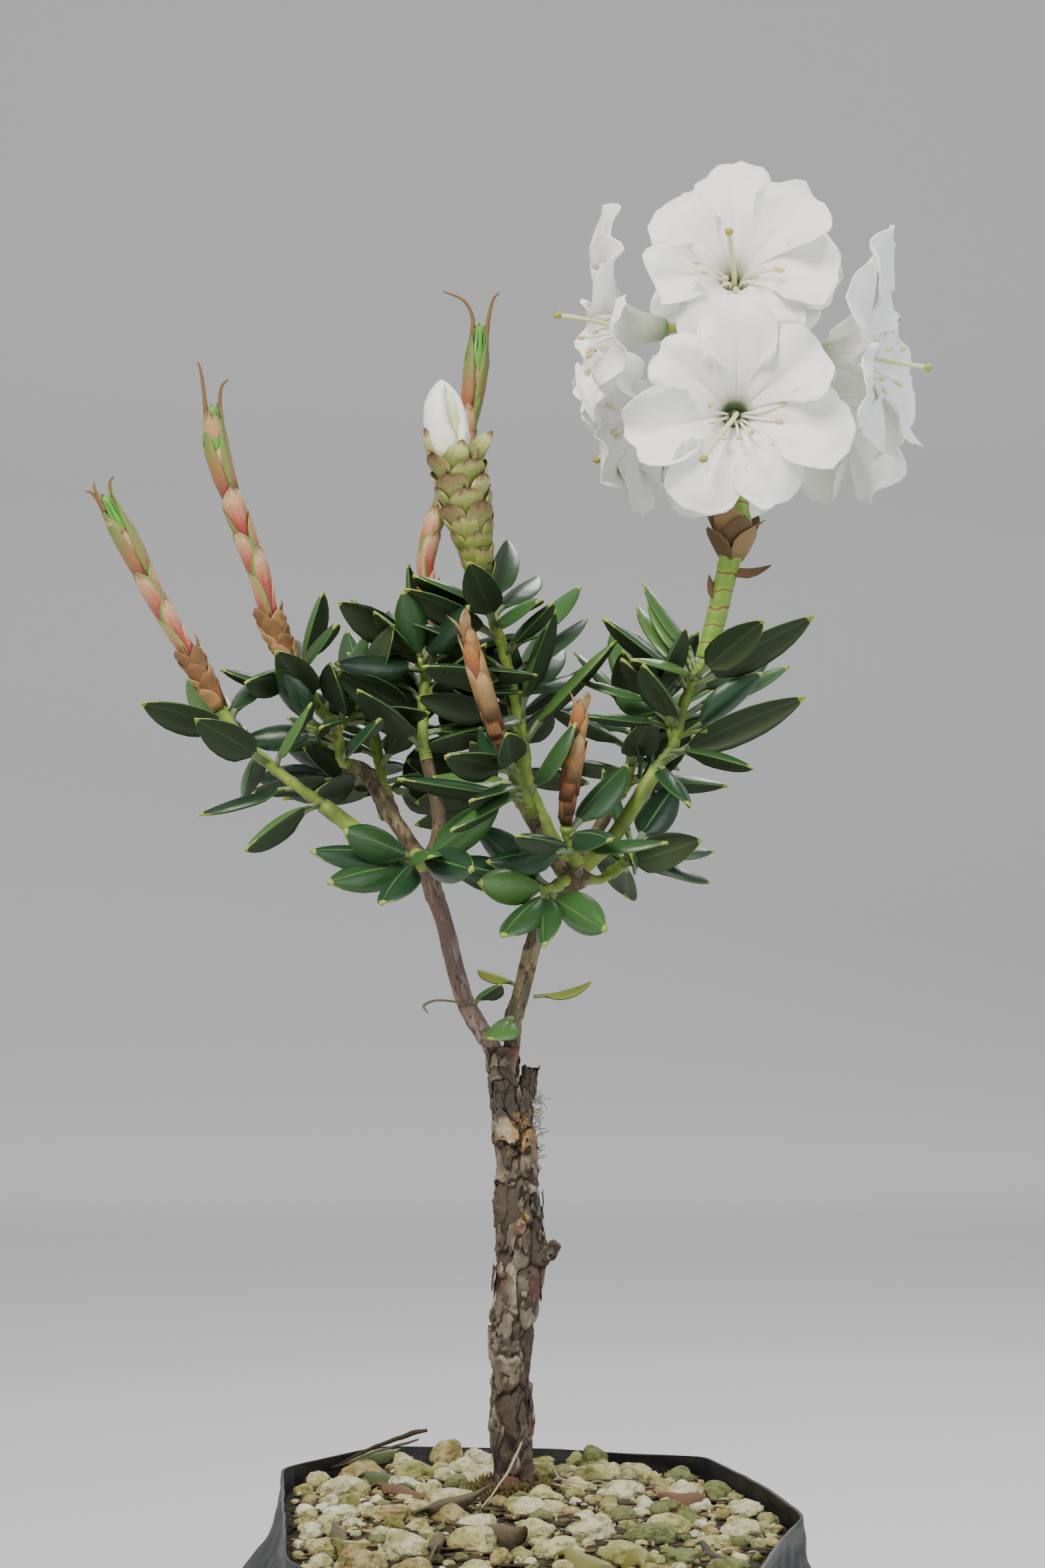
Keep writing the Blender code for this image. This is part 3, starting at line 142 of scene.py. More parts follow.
def gradedSkin(name, colour, roughness, stops, margin=None, grainScale=700.0, grainDepth=0.0004, settings={}):
    # colour that runs from a scale's foot to its tip, with another colour down its margins
    skin, tree, shader = newMaterial(name, colour, roughness, settings)
    where = addNode(tree, "UVMap")
    split = addNode(tree, "SeparateXYZ", {}, {"Vector": where.outputs["UV"]})
    place = addNode(tree, "TexCoord").outputs["Object"]
    fine = addNode(tree, "TexNoise", {"Scale": grainScale, "Detail": 4.0}, {"Vector": place})
    uneven = addNode(tree, "Math", {"operation": "MULTIPLY_ADD", 1: 0.16, 2: -0.08}, {0: fine.outputs["Fac"]})
    along = addNode(tree, "Math", {"operation": "ADD"}, {0: split.outputs["Y"], 1: uneven.outputs[0]})
    drawn = addNode(tree, "Mapping", {"Scale": (11.0, 1.3, 1.0)}, {"Vector": where.outputs["UV"]})
    streaks = addNode(tree, "TexNoise", {"Scale": 2.0, "Detail": 3.0}, {"Vector": drawn.outputs["Vector"]})
    shift = addNode(tree, "Math", {"operation": "MULTIPLY_ADD", 1: 0.3, 2: -0.15}, {0: streaks.outputs["Fac"]})
    along = addNode(tree, "Math", {"operation": "ADD"}, {0: along.outputs[0], 1: shift.outputs[0]})
    tint = addNode(tree, "ValToRGB", {"stops": stops}, {"Fac": along.outputs[0]}).outputs["Color"]
    if margin:
        aside = addNode(tree, "Math", {"operation": "SUBTRACT", 1: 0.5}, {0: split.outputs["X"]})
        aside = addNode(tree, "Math", {"operation": "ABSOLUTE"}, {0: aside.outputs[0]})
        band = addNode(tree, "MapRange", {"From Min": 0.3, "From Max": 0.4}, {"Value": aside.outputs[0]})
        tint = addNode(tree, "MixRGB", {"Color2": hexColour(margin)},
                       {"Fac": band.outputs["Result"], "Color1": tint}).outputs["Color"]
    tree.links.new(tint, shader.inputs["Base Color"])
    bump = addNode(tree, "Bump", {"Strength": 0.6, "Distance": grainDepth}, {"Height": fine.outputs["Fac"]})
    tree.links.new(bump.outputs["Normal"], shader.inputs["Normal"])
    return skin


def deselectAll():
    for ob in list(bpy.context.selected_objects):
        ob.select_set(False)


def pickOut(ob):
    deselectAll()
    ob.select_set(True)
    bpy.context.view_layer.objects.active = ob


def applyModifier(ob, kind, **settings):
    pickOut(ob)
    modifier = ob.modifiers.new(kind.lower(), kind)
    for key, value in settings.items():
        setattr(modifier, key, value)
    if kind == "SUBSURF":
        modifier.render_levels = modifier.levels
    bpy.ops.object.modifier_apply(modifier=modifier.name)


def addGrid(name, across, along, rule):
    # a grid primitive whose points a rule places: it gets how far across and along each lies, 0 to 1
    deselectAll()
    bpy.ops.mesh.primitive_grid_add(x_subdivisions=across, y_subdivisions=along, size=1)
    grid = bpy.context.object
    grid.name = grid.data.name = name
    for vertex in grid.data.vertices:
        vertex.co = rule(vertex.co.x + 0.5, vertex.co.y + 0.5)
    return grid


def closeUp(ob, mergeBelow=1e-6):
    # merges a rolled grid's seam, closes its ends and turns its faces outwards
    pickOut(ob)
    bpy.ops.object.mode_set(mode="EDIT")
    bpy.ops.mesh.select_all(action="SELECT")
    bpy.ops.mesh.remove_doubles(threshold=mergeBelow)
    bpy.ops.mesh.fill_holes(sides=0)
    bpy.ops.mesh.select_all(action="SELECT")
    bpy.ops.mesh.normals_make_consistent(inside=False)
    bpy.ops.object.mode_set(mode="OBJECT")


def dress(ob, materials, slot=None, replaces=(), sharp=None):
    for material in materials:
        ob.data.materials.append(material)
    ob.data.shade_smooth()
    if sharp:
        ob.data.set_sharp_from_angle(angle=math.radians(sharp))
    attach(ob, "root")
    if replaces:
        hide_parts(*replaces)
    return ob


# A part is plain arrays: points, faces, a material number per face and a map place per point. Small things
# are modelled once, kept as a part, and laid out many times into one mesh.


def partOf(ob):
    mesh = ob.data
    points = np.array([v.co[:] for v in mesh.vertices])
    faces = [tuple(p.vertices) for p in mesh.polygons]
    mapped = np.zeros((len(points), 2))
    if mesh.uv_layers:
        for loop, uv in zip(mesh.loops, mesh.uv_layers[0].data):
            mapped[loop.vertex_index] = uv.uv[:]
    bpy.data.objects.remove(ob)
    return {"points": points, "faces": faces, "inks": [0] * len(faces), "mapped": mapped}


def joinParts(name, parts):
    points, faces, inks, mapped, start = [], [], [], [], 0
    for part in parts:
        points.append(part["points"])
        faces += [tuple(i + start for i in face) for face in part["faces"]]
        inks += part["inks"]
        mapped.append(part["mapped"])
        start += len(part["points"])
    points, mapped = np.concatenate(points), np.concatenate(mapped)
    mesh = bpy.data.meshes.new(name)
    mesh.from_pydata(points.tolist(), [], faces)
    mesh.polygons.foreach_set("material_index", np.array(inks, dtype=np.int32))
    layer = mesh.uv_layers.new(name="UVMap")
    corners = np.zeros(len(mesh.loops), dtype=np.int32)
    mesh.loops.foreach_get("vertex_index", corners)
    layer.data.foreach_set("uv", mapped[corners].ravel())
    ob = bpy.data.objects.new(name, mesh)
    bpy.context.scene.collection.objects.link(ob)
    mesh.update()
    return ob


def smoothPath(points, steps):
    if len(points) < 3:
        return [points[0].lerp(points[-1], i / steps) for i in range(steps + 1)]
    ends = [2 * points[0] - points[1]] + list(points) + [2 * points[-1] - points[-2]]
    path = []
    for i in range(1, len(ends) - 2):
        a, b, c, d = ends[i - 1:i + 3]
        for k in range(steps):
            t = k / steps
            bend, twist = 2 * a - 5 * b + 4 * c - d, 3 * b - a - 3 * c + d
            path.append(0.5 * (2 * b + (c - a) * t + bend * t**2 + twist * t**3))
    path.append(points[-1].copy())
    return path


def framesAlong(path):
    frames, side = [], None
    for i, _ in enumerate(path):
        ahead = (path[min(i + 1, len(path) - 1)] - path[max(i - 1, 0)]).normalized()
        side = ahead.orthogonal().normalized() if side is None else (side - ahead * side.dot(ahead)).normalized()
        frames.append((ahead, side, ahead.cross(side)))
    return frames


def tubePart(path, radii, sides, ink=0):
    # a closed tube with a point at each end, its map's length along the path
    rings, mapped, count = [], [], len(path)
    for i, (point, (_, side, other), radius) in enumerate(zip(path, framesAlong(path), radii)):
        for j in range(sides):
            turn = 2 * math.pi * j / sides
            rings.append(point + (side * math.cos(turn) + other * math.sin(turn)) * radius)
            mapped.append((j / sides, i / (count - 1)))
    faces = [
        (i * sides + j, i * sides + (j + 1) % sides, (i + 1) * sides + (j + 1) % sides, (i + 1) * sides + j)
        for i in range(count - 1) for j in range(sides)
    ]
    first, last = len(rings), len(rings) + 1
    top = (count - 1) * sides
    faces += [(first, (j + 1) % sides, j) for j in range(sides)]
    faces += [(last, top + j, top + (j + 1) % sides) for j in range(sides)]
    rings += [path[0], path[-1]]
    mapped += [(0.5, 0.0), (0.5, 1.0)]
    points = np.array([p[:] for p in rings])
    return {"points": points, "faces": faces, "inks": [ink] * len(faces), "mapped": np.array(mapped)}


def spreadRadii(radii, count):
    return [float(np.interp(i / (count - 1) * (len(radii) - 1), range(len(radii)), radii)) * mm for i in range(count)]


def ramp(low, high, value):
    # 0 at low, 1 at high, eased; low may be the larger of the two
    t = min(1.0, max(0.0, (value - low) / (high - low)))
    return t * t * (3 - 2 * t)


# ---- the grow bag

bag = {
    "wall": 1.2,
    "film": 0.9,
    "corners": (
        (82, -23), (58, 89), (8, 110), (-45, 105), (-74.5, 54),
        (-66, -83), (-57.5, -104), (0, -111), (63.5, -104), (76, -45),
    ),
    # each level: height, half width, half depth, share of the rim's angular plan
    "levels": (
        (0, 68, 80, 0.0), (7, 75, 88, 0.0), (45, 89, 104, 0.1),
        (95, 95, 112, 0.15), (132, 94, 113, 0.3), (149, 88, 111, 0.75),
    ),
    "rimHeight": 161.0,
    "rimDroop": 4.0,
    "around": 200,
    "steps": 7,  # rows of mesh from one level to the next
    "crumple": 1.5,
    "colour": "1B1C1E",
}


def rimPlan(count):
    # the rim's outline in plan, evenly spaced, its corners eased
    corners = [Vector(c) for c in bag["corners"]]
    lengths = [(b - a).length for a, b in zip(corners, corners[1:] + corners[:1])]
    points = []
    for i in range(count):
        left = i / count * sum(lengths)
        for a, b, length in zip(corners, corners[1:] + corners[:1], lengths):
            if left <= length:
                points.append(a.lerp(b, left / length))
                break
            left -= length
    for _ in range(3):
        points = [(points[i - 1] + points[i] * 2 + points[(i + 1) % count]) / 4 for i in range(count)]
    return points


def rimLevel(x, y):
    front = max(0.0, -y / 111)
    return bag["rimHeight"] - bag["rimDroop"] * front**2 + 1.2 * math.sin(3 * math.atan2(y, x) + 0.6)


def bagColumns(inset):
    # for each place round the bag, the points of its wall from the floor up to the rim
    columns = []
    for plan in rimPlan(bag["around"]):
        column = []
        for height, halfWidth, halfDepth, angular in bag["levels"]:
            turn = math.atan2(plan.y / halfDepth, plan.x / halfWidth)
            level = Vector((halfWidth * math.cos(turn), halfDepth * math.sin(turn)))
            level = level.lerp(plan, angular)
            level *= 1 - inset / level.length
            column.append(Vector((level.x, level.y, height)))
        top = plan * (1 - inset / plan.length)
        column.append(Vector((top.x, top.y, rimLevel(plan.x, plan.y))))
        columns.append(smoothPath(column, bag["steps"]))
    return columns


def makeBag():
    columns = bagColumns(0)
    around, rows = len(columns), len(columns[0]) - 1

    def wall(u, v):
        j, i = round(u * around) % around, round(v * rows)
        point = columns[j][i]
        out = Vector((point.x, point.y, 0)).normalized()
        share = ramp(0.02, 0.2, v) * (1 - 0.6 * ramp(0.93, 1.0, v))
        where = Vector((point.x, point.y, point.z * 1.6)) * 0.03
        soft = noise.noise(where + Vector((3, 1, 7)))
        fold = 1 - abs(noise.noise(where * 2.1 + Vector((9, 2, 4)))) * 2.4
        sag = 0.5 * math.sin(point.z * 0.11 + 5 * noise.noise(where * 0.6))
        fine = noise.noise(where * 6)
        push = bag["crumple"] * share * (soft + 0.55 * max(0.0, fold) ** 2 - 0.4 + 0.35 * sag + 0.12 * fine)
        return (point + out * push) * mm

    skin = addGrid("growBag", around, rows, wall)
    closeBottom(skin)
    applyModifier(skin, "SOLIDIFY", thickness=bag["film"] * mm, offset=-1)
    # polythene film, blown and welded: near black, satin, with dusty scuffs
    film, tree, shader = newMaterial("blownPolytheneFilm", bag["colour"], 0.5, {"IOR": 1.51})
    place = addNode(tree, "TexCoord").outputs["Object"]
    dust = addNode(tree, "TexNoise", {"Scale": 38.0, "Detail": 6.0, "Roughness": 0.65}, {"Vector": place})
    scratch = addNode(tree, "Mapping", {"Scale": (900, 900, 60)}, {"Vector": place})
    streak = addNode(tree, "TexNoise", {"Scale": 1.0, "Detail": 2.0}, {"Vector": scratch.outputs["Vector"]})
    mixed = addNode(tree, "Math", {"operation": "MULTIPLY"}, {0: dust.outputs["Fac"], 1: streak.outputs["Fac"]})
    tint = addNode(tree, "ValToRGB", {"stops": ((0.2, "141517"), (0.33, "1F2022"), (0.42, "3A3A38"))},
                   {"Fac": mixed.outputs[0]})
    tree.links.new(tint.outputs["Color"], shader.inputs["Base Color"])
    rough = addNode(tree, "MapRange", {"From Min": 0.25, "From Max": 0.75, "To Min": 0.36, "To Max": 0.62},
                    {"Value": dust.outputs["Fac"]})
    tree.links.new(rough.outputs["Result"], shader.inputs["Roughness"])
    wrinkle = addNode(tree, "TexNoise", {"Scale": 120.0, "Detail": 4.0, "Distortion": 1.2}, {"Vector": place})
    bump = addNode(tree, "Bump", {"Strength": 0.5, "Distance": 0.0008}, {"Height": wrinkle.outputs["Fac"]})
    tree.links.new(bump.outputs["Normal"], shader.inputs["Normal"])
    dress(skin, [film], "bag_film", ["pot_bag"], sharp=55)
    print("bag made")


def closeBottom(ob):
    # merges the seam and fills the floor only, so the bag stays open at its top
    pickOut(ob)
    bpy.ops.object.mode_set(mode="EDIT")
    bpy.ops.mesh.select_all(action="SELECT")
    bpy.ops.mesh.remove_doubles(threshold=1e-6)
    bpy.ops.mesh.select_all(action="DESELECT")
    bpy.ops.object.mode_set(mode="OBJECT")
    floorLevel = min(v.co.z for v in ob.data.vertices) + 0.2 * mm
    for vertex in ob.data.vertices:
        vertex.select = vertex.co.z < floorLevel
    bpy.ops.object.mode_set(mode="EDIT")
    bpy.ops.mesh.select_mode(type="VERT")
    bpy.ops.mesh.edge_face_add()
    bpy.ops.mesh.select_all(action="SELECT")
    bpy.ops.mesh.normals_make_consistent(inside=False)
    bpy.ops.object.mode_set(mode="OBJECT")


# ---- the potting mix and what lies on it

soil = {
    "gap": 0.45,
    "slack": 0.8,
    "edgeUp": 0.45,  # how far up from the last level to the rim the mix meets the film
    "rimStep": 29.0,
    "foot": (-3.0, 20.0),  # middle of the trunk's foot in plan
    "footClear": 11.5,
    "rows": 46,
    # share of the way from the foot to the edge, and height
    "rise": ((0.0, 160.0), (0.13, 160.0), (0.42, 159.0), (0.72, 156.6)),
    "smallStones": 0.8,  # how far the small stones raise the ground between the lumps
}


def coarseEdge():
    # the mix's edge in plan and height, at the same few places as in the solid
    corners, plan = bag["corners"], []
    for (x1, y1), (x2, y2) in zip(corners, corners[1:] + corners[:1]):
        pieces = math.ceil(math.hypot(x2 - x1, y2 - y1) / soil["rimStep"])
        plan += [Vector((x1 + (x2 - x1) * i / pieces, y1 + (y2 - y1) * i / pieces)) for i in range(pieces)]
    inset = bag["wall"] + soil["gap"] + soil["slack"]
    height, halfWidth, halfDepth, angular = bag["levels"][-1]
    edge = []
    for rim in plan:
        turn = math.atan2(rim.y / halfDepth, rim.x / halfWidth)
        low = Vector((halfWidth * math.cos(turn), halfDepth * math.sin(turn))).lerp(rim, angular)
        low *= 1 - inset / low.length
        high = rim * (1 - inset / rim.length)
        flat = low.lerp(high, soil["edgeUp"])
        level = height + (rimLevel(rim.x, rim.y) - height) * soil["edgeUp"]
        edge.append(Vector((flat.x, flat.y, level)))
    return edge


soilRim = coarseEdge()


def edgeShare(x, y):
    footX, footY = soil["foot"]
    best, level = 0.0, soilRim[0].z
    for a, b in zip(soilRim, soilRim[1:] + soilRim[:1]):
        outX, outY = b.y - a.y, a.x - b.x
        share = (outX * (x - footX) + outY * (y - footY)) / (outX * (a.x - footX) + outY * (a.y - footY))
        if share > best:
            best, level = share, (a.z + b.z) / 2
    return best, level


def soilLevel(x, y):
    share, edgeLevel = edgeShare(x, y)
    stations = (*soil["rise"], (1.0, edgeLevel))
    for (low, start), (high, end) in zip(stations, stations[1:]):
        if share <= high:
            return start + (end - start) * (share - low) / (high - low)
    return edgeLevel


def settled(x, y, half):
    # pulls a lump in from the bag's wall and pushes it clear of the trunk
    footX, footY = soil["foot"]
    out = math.hypot(x - footX, y - footY)
    most = out / edgeShare(x, y)[0] - half - 1.5
    outNow = max(min(out, most), soil["footClear"] + half)
    return footX + (x - footX) * outNow / out, footY + (y - footY) * outNow / out


def onSoil(across, up, half=0.0, above=0.0):
    # where the eye's line through this place in the trunk's plane meets the mix
    level = plant["soilTop"] - 1.5
    for _ in range(3):
        spread = (plant["soilTop"] + plant["eyeUp"] - level) / (plant["eyeUp"] - up)
        x, y = settled(across * spread, plant["trunkBack"] + plant["eyeAway"] * (spread - 1), half * spread)
        level = soilLevel(x, y) + above
    seen = plant["soilTop"] + plant["eyeUp"] - (plant["eyeUp"] - up) * (1 + (y - plant["trunkBack"]) / plant["eyeAway"])
    return Vector((x, y, max(seen, level))), spread


def makeSoil():
    inner = bagColumns(bag["wall"] + soil["gap"])
    around = len(inner)
    below = len(inner[0]) - 1 - bag["steps"]  # rows up to the last level
    rows = below + 1 + soil["rows"]
    edge = []
    for column in bagColumns(bag["wall"] + soil["gap"] + soil["slack"]):
        edge.append(column[-1 - bag["steps"]].lerp(column[-1], soil["edgeUp"]))
    footX, footY = soil["foot"]

    def bed(u, v):
        turn, i = round(u * around) % around, round(v * rows)
        if i <= below:
            return (inner[turn][i] + Vector((0, 0, 1.95 if i == 0 else 0))) * mm
        share = max(1 - (i - below - 1) / soil["rows"], 0.03)
        x, y = footX + (edge[turn].x - footX) * share, footY + (edge[turn].y - footY) * share
        level = soilLevel(x, y) if share < 0.97 else edge[turn].z
        point = Vector((x, y, level))
        rough = noise.fractal(point * 0.09, 1.0, 2.0, 4) * 1.3 + noise.noise(point * 0.6) * 0.9
        rough += max(0.0, noise.noise(point * 1.4)) * 1.1
        calm = ramp(0.1, 0.22, share) * (1 - ramp(0.93, 1.0, share) * 0.8)
        # moss banks up against the foot
        away = math.hypot(x - footX, y - footY)
        moss = 3.4 * math.exp(-((away - 9.5) / 4.0) ** 2) * (0.7 + noise.noise(point * 0.35))
        return (point + Vector((0, 0, rough * calm + moss - 0.4))) * mm

    mix = addGrid("pottingMix", around, rows, bed)
    closeUp(mix)
    # bark and peat mix, screened and wet: dark crumbs with grey grit and a moss film
    crumbs, tree, shader = newMaterial("barkAndPeatMix", "2A2418", 0.93)
    place = addNode(tree, "TexCoord").outputs["Object"]
    fine = addNode(tree, "TexNoise", {"Scale": 420.0, "Detail": 8.0, "Roughness": 0.7}, {"Vector": place})
    moist = addNode(tree, "TexNoise", {"Scale": 30.0, "Detail": 4.0}, {"Vector": place})
    tint = addNode(tree, "ValToRGB", {"stops": ((0.32, "17130D"), (0.5, "3A3020"), (0.62, "564A2C"), (0.8, "8C8258"))},
                   {"Fac": fine.outputs["Fac"]})
    green = addNode(tree, "ValToRGB", {"stops": ((0.42, "FFFFFF"), (0.62, "A9B06A"))}, {"Fac": moist.outputs["Fac"]})
    blend = addNode(tree, "MixRGB", {"blend_type": "MULTIPLY", "Fac": 0.8},
                    {"Color1": tint.outputs["Color"], "Color2": green.outputs["Color"]})
    tree.links.new(blend.outputs["Color"], shader.inputs["Base Color"])
    bump = addNode(tree, "Bump", {"Strength": 1.0, "Distance": 0.0015}, {"Height": fine.outputs["Fac"]})
    tree.links.new(bump.outputs["Normal"], shader.inputs["Normal"])
    dress(mix, [crumbs], "potting_mix", ["soil"])
    print("potting mix made")


pumice = {
    "seed": 5,
    "shapes": 9,
    "pits": 0.3,
    "tones": ("CFCBA6", "C2BD8C", "A3A26C", "787F50", "AC9D70", "D8D4BA"),
    # the main lumps that the photo shows: across, up, width, height
    "seen": (
        (-14, 8.6, 9.4, 10), (-64.7, 2.8, 7.6, 8.2), (-53.5, -6.6, 13.5, 5.3), (-38.3, -7.2, 12.3, 6.5),
        (-35.4, -16.6, 16.4, 10.5), (-63.5, -13.7, 7, 6), (-60, -17.2, 7.6, 7.6), (-51.2, -18.4, 9.4, 6.5),
        (-35.4, -2, 6.6, 4.2), (-32.5, 6.9, 8.2, 5.3), (-43, 9.8, 7, 4.2), (-30.7, 13, 9.4, 4.8),
        (-24.8, 9.2, 8.2, 5.8), (-27.8, -0.2, 8.8, 5.8), (-31.3, -10.7, 7, 5.3), (32.7, 6.3, 11.7, 5.8),
        (31, 11.6, 8.2, 4.2), (23.9, 6.9, 5.8, 5.8), (41.5, 2.2, 7, 4.8), (26.8, -6, 7, 5.8), (43.8, -4.3, 7.6, 4.8),
        (49.1, -7.2, 7, 4.8), (66.7, -6, 10.5, 6.5), (57.3, -15.7, 9.4, 5.8), (48.5, -19.9, 10.5, 5.8),
        (19.8, 9.8, 5.8, 4.2), (7.4, 9.2, 6.5, 4.8), (-6.6, -20.2, 6, 7), (-57.7, -3.1, 6, 4.8), (59.7, -20, 7, 3.5),
    ),
    "tries": 900,
    "spacing": 16.5,
    "halves": (5.2, 7.8),
    "tall": 0.75,
    "mainSeed": 3,
    "smallTries": 2600,
    "smallHalves": (1.5, 3.9),
    "crumbs": 2400,
}


def mainLumps():
    # middle in plan, half the width, top and height of each lump, by the solid's rule
    lumps = []
    for across, up, width, height in pumice["seen"]:
        centre, spread = onSoil(across, up, width / 2, 0.1 * height)
        lumps.append((centre.x, centre.y, width / 2 * spread, centre.z + height / 2, height))
    rng = random.Random(pumice["mainSeed"])
    for _ in range(pumice["tries"]):
        x, y, half = rng.uniform(-80, 80), rng.uniform(-108, 108), rng.uniform(*pumice["halves"])
        if edgeShare(x, y)[0] > 0.96:
            continue
        x, y = settled(x, y, half)
        if not any(math.hypot(x - lump[0], y - lump[1]) < pumice["spacing"] for lump in lumps):
            lumps.append((x, y, half, soilLevel(x, y) + half * pumice["tall"], half * 1.3))
    return lumps


def lumpShapes(subdivisions):
    shapes = []
    rng = random.Random(pumice["seed"])
    for i in range(pumice["shapes"]):
        deselectAll()
        bpy.ops.mesh.primitive_ico_sphere_add(subdivisions=subdivisions, radius=1)
        lump = bpy.context.object
        offset = Vector((rng.uniform(-50, 50), rng.uniform(-50, 50), rng.uniform(-50, 50)))
        for vertex in lump.data.vertices:
            out = vertex.co.normalized()
            broad = noise.noise(out * 1.1 + offset) * 0.34
            facet = noise.voronoi(out * 1.6 + offset)[0][0] * 0.26
            pit = -pumice["pits"] * max(0.0, noise.noise(out * 3.6 + offset) - 0.08)
            grain = noise.noise(out * 8 + offset) * 0.05
            vertex.co = out * (0.88 + broad + facet + pit + grain)
        shapes.append(partOf(lump))
    return shapes


def laidLump(shape, centre, size, rng, ink):
    turned = Quaternion(Vector((rng.uniform(-0.3, 0.3), rng.uniform(-0.3, 0.3), 1)).normalized(),
                        rng.uniform(0, 6.28)).to_matrix()
    points = (shape["points"] @ np.array(turned).T) * np.array(size) * mm + np.array(centre[:]) * mm
    return {**shape, "points": points, "inks": [ink] * len(shape["faces"])}


def stoneMaterials():
    # pumice, crushed and graded: open pores, chalky, stained green where it stays wet
    stones = []
    for i, tone in enumerate(pumice["tones"]):
        stone, tree, shader = newMaterial(f"crushedPumice{i}", tone, 0.95)
        place = addNode(tree, "TexCoord").outputs["Object"]
        # pores of 1 to 2 mm, drawn a little coarser than life so that they show
        pores = addNode(tree, "TexVoronoi", {"Scale": 620.0, "feature": "F1"}, {"Vector": place})
        grain = addNode(tree, "TexNoise", {"Scale": 300.0, "Detail": 7.0, "Roughness": 0.7}, {"Vector": place})
        stain = addNode(tree, "TexNoise", {"Scale": 110.0, "Detail": 4.0, "Roughness": 0.6}, {"Vector": place})
        fade = addNode(tree, "ValToRGB", {"stops": ((0.47, "FFFFFF"), (0.6, "CDCF9E"), (0.72, "92945C"))},
                       {"Fac": stain.outputs["Fac"]})
        # painted shade: where the grain is low, which the bump also sets lowest, the stone is darkened as the shade
        # down in its pits
        paintedPitShade = addNode(tree, "ValToRGB", {"stops": ((0.3, "4E4832"), (0.41, "BDB89C"), (0.5, "FFFFFF"))},
                       {"Fac": grain.outputs["Fac"]})
        dark = addNode(tree, "MixRGB", {"blend_type": "MULTIPLY", "Fac": 0.85, "Color1": hexColour(tone)},
                       {"Color2": fade.outputs["Color"]})
        both = addNode(tree, "MixRGB", {"blend_type": "MULTIPLY", "Fac": 0.8},
                       {"Color1": dark.outputs["Color"], "Color2": paintedPitShade.outputs["Color"]})
        tree.links.new(both.outputs["Color"], shader.inputs["Base Color"])
        rise = addNode(tree, "Math", {"operation": "MULTIPLY_ADD", 1: 0.6}, {0: pores.outputs["Distance"], 2: grain.outputs["Fac"]})
        bump = addNode(tree, "Bump", {"Strength": 1.0, "Distance": 0.0014}, {"Height": rise.outputs[0]})
        tree.links.new(bump.outputs["Normal"], shader.inputs["Normal"])
        stones.append(stone)
    return stones


def makePumice():
    rng = random.Random(pumice["seed"] + 1)
    shapes, small = lumpShapes(4), lumpShapes(2)
    stones = stoneMaterials()
    lumps = mainLumps()
    parts = []
    for x, y, half, top, height in lumps:
        tall = max(height / 2, (top - soilLevel(x, y)) * 0.62)
        size = (half, half * rng.uniform(0.8, 1.0), tall)
        ink = rng.choice((0, 0, 1, 1, 2, 4, 5) if x < 10 else (0, 1, 1, 2, 3, 3, 4))
        parts.append(laidLump(rng.choice(shapes), (x, y, top - tall * 0.95), size, rng, ink))
    dress(joinParts("pumiceLumps", parts), stones, "potting_mix")
    # small stones fill in between, low in the mix
    placed, parts = [(x, y, half) for x, y, half, _, _ in lumps], []
    for _ in range(pumice["smallTries"]):
        x, y, half = rng.uniform(-82, 82), rng.uniform(-110, 110), rng.uniform(*pumice["smallHalves"])
        share = edgeShare(x, y)[0]
        away = math.hypot(x - soil["foot"][0], y - soil["foot"][1])
        if share > 0.99 or away * (1 / share - 1) < half + 1.2 or away < soil["footClear"] + 3 + half:
            continue
        # the ground in front of the foot is mostly litter and moss
        bare = math.exp(-((x + 4) / 34) ** 2) * ramp(30, -10, y) * ramp(-100, -50, y)
        if rng.random() < bare * 0.97 or any(math.hypot(x - p, y - q) < (half + r) * 0.9 for p, q, r in placed):
            continue
        placed.append((x, y, half))
        tall = half * rng.uniform(0.55, 0.8)
        ink = rng.choice((0, 1, 1, 2, 2, 3, 3, 4, 5))
        size = (half, half * rng.uniform(0.7, 1.0), tall)
        parts.append(laidLump(rng.choice(small), (x, y, soilLevel(x, y) + tall * 0.35), size, rng, ink))
    dress(joinParts("pumiceSmallStones", parts), stones, "potting_mix")
    makeCrumbs(stones)
    print("pumice made,", len(placed), "stones")


def makeCrumbs(stones):
    # bark crumbs and grit between the stones
    rng = random.Random(71)
    deselectAll()
    bpy.ops.mesh.primitive_ico_sphere_add(subdivisions=2, radius=1)
    grain = bpy.context.object
    for vertex in grain.data.vertices:
        vertex.co *= 1 + noise.noise(vertex.co * 1.7) * 0.5
    shape = partOf(grain)
    bark = plainSkin("compostedBark", "3A2C1C", 0.9, 600.0, 0.0006)
    litter = plainSkin("dryLeafCrumb", "6A5838", 0.9, 600.0, 0.0006)
    parts = []
    for i in range(pumice["crumbs"]):
        x, y = rng.uniform(-80, 80), rng.uniform(-108, 108)
        share = edgeShare(x, y)[0]
        away = math.hypot(x - soil["foot"][0], y - soil["foot"][1])
        if share > 1 or away * (1 / share - 1) < 4.5 or away < soil["footClear"] + 2:
            continue
        if rng.random() < 0.4:
            size, ink = [rng.uniform(0.4, 1.2) for _ in range(3)], rng.choice((0, 1, 2, 3, 4))
        else:
            size, ink = (rng.uniform(1.0, 3.6), rng.uniform(0.5, 1.3), rng.uniform(0.3, 0.8)), rng.choice((6, 6, 7))
        centre = (x, y, soilLevel(x, y) + rng.uniform(0.2, 1.2))
        parts.append(laidLump(shape, centre, size, rng, ink))
    dress(joinParts("gritAndBarkCrumbs", parts), stones + [bark, litter], "potting_mix")


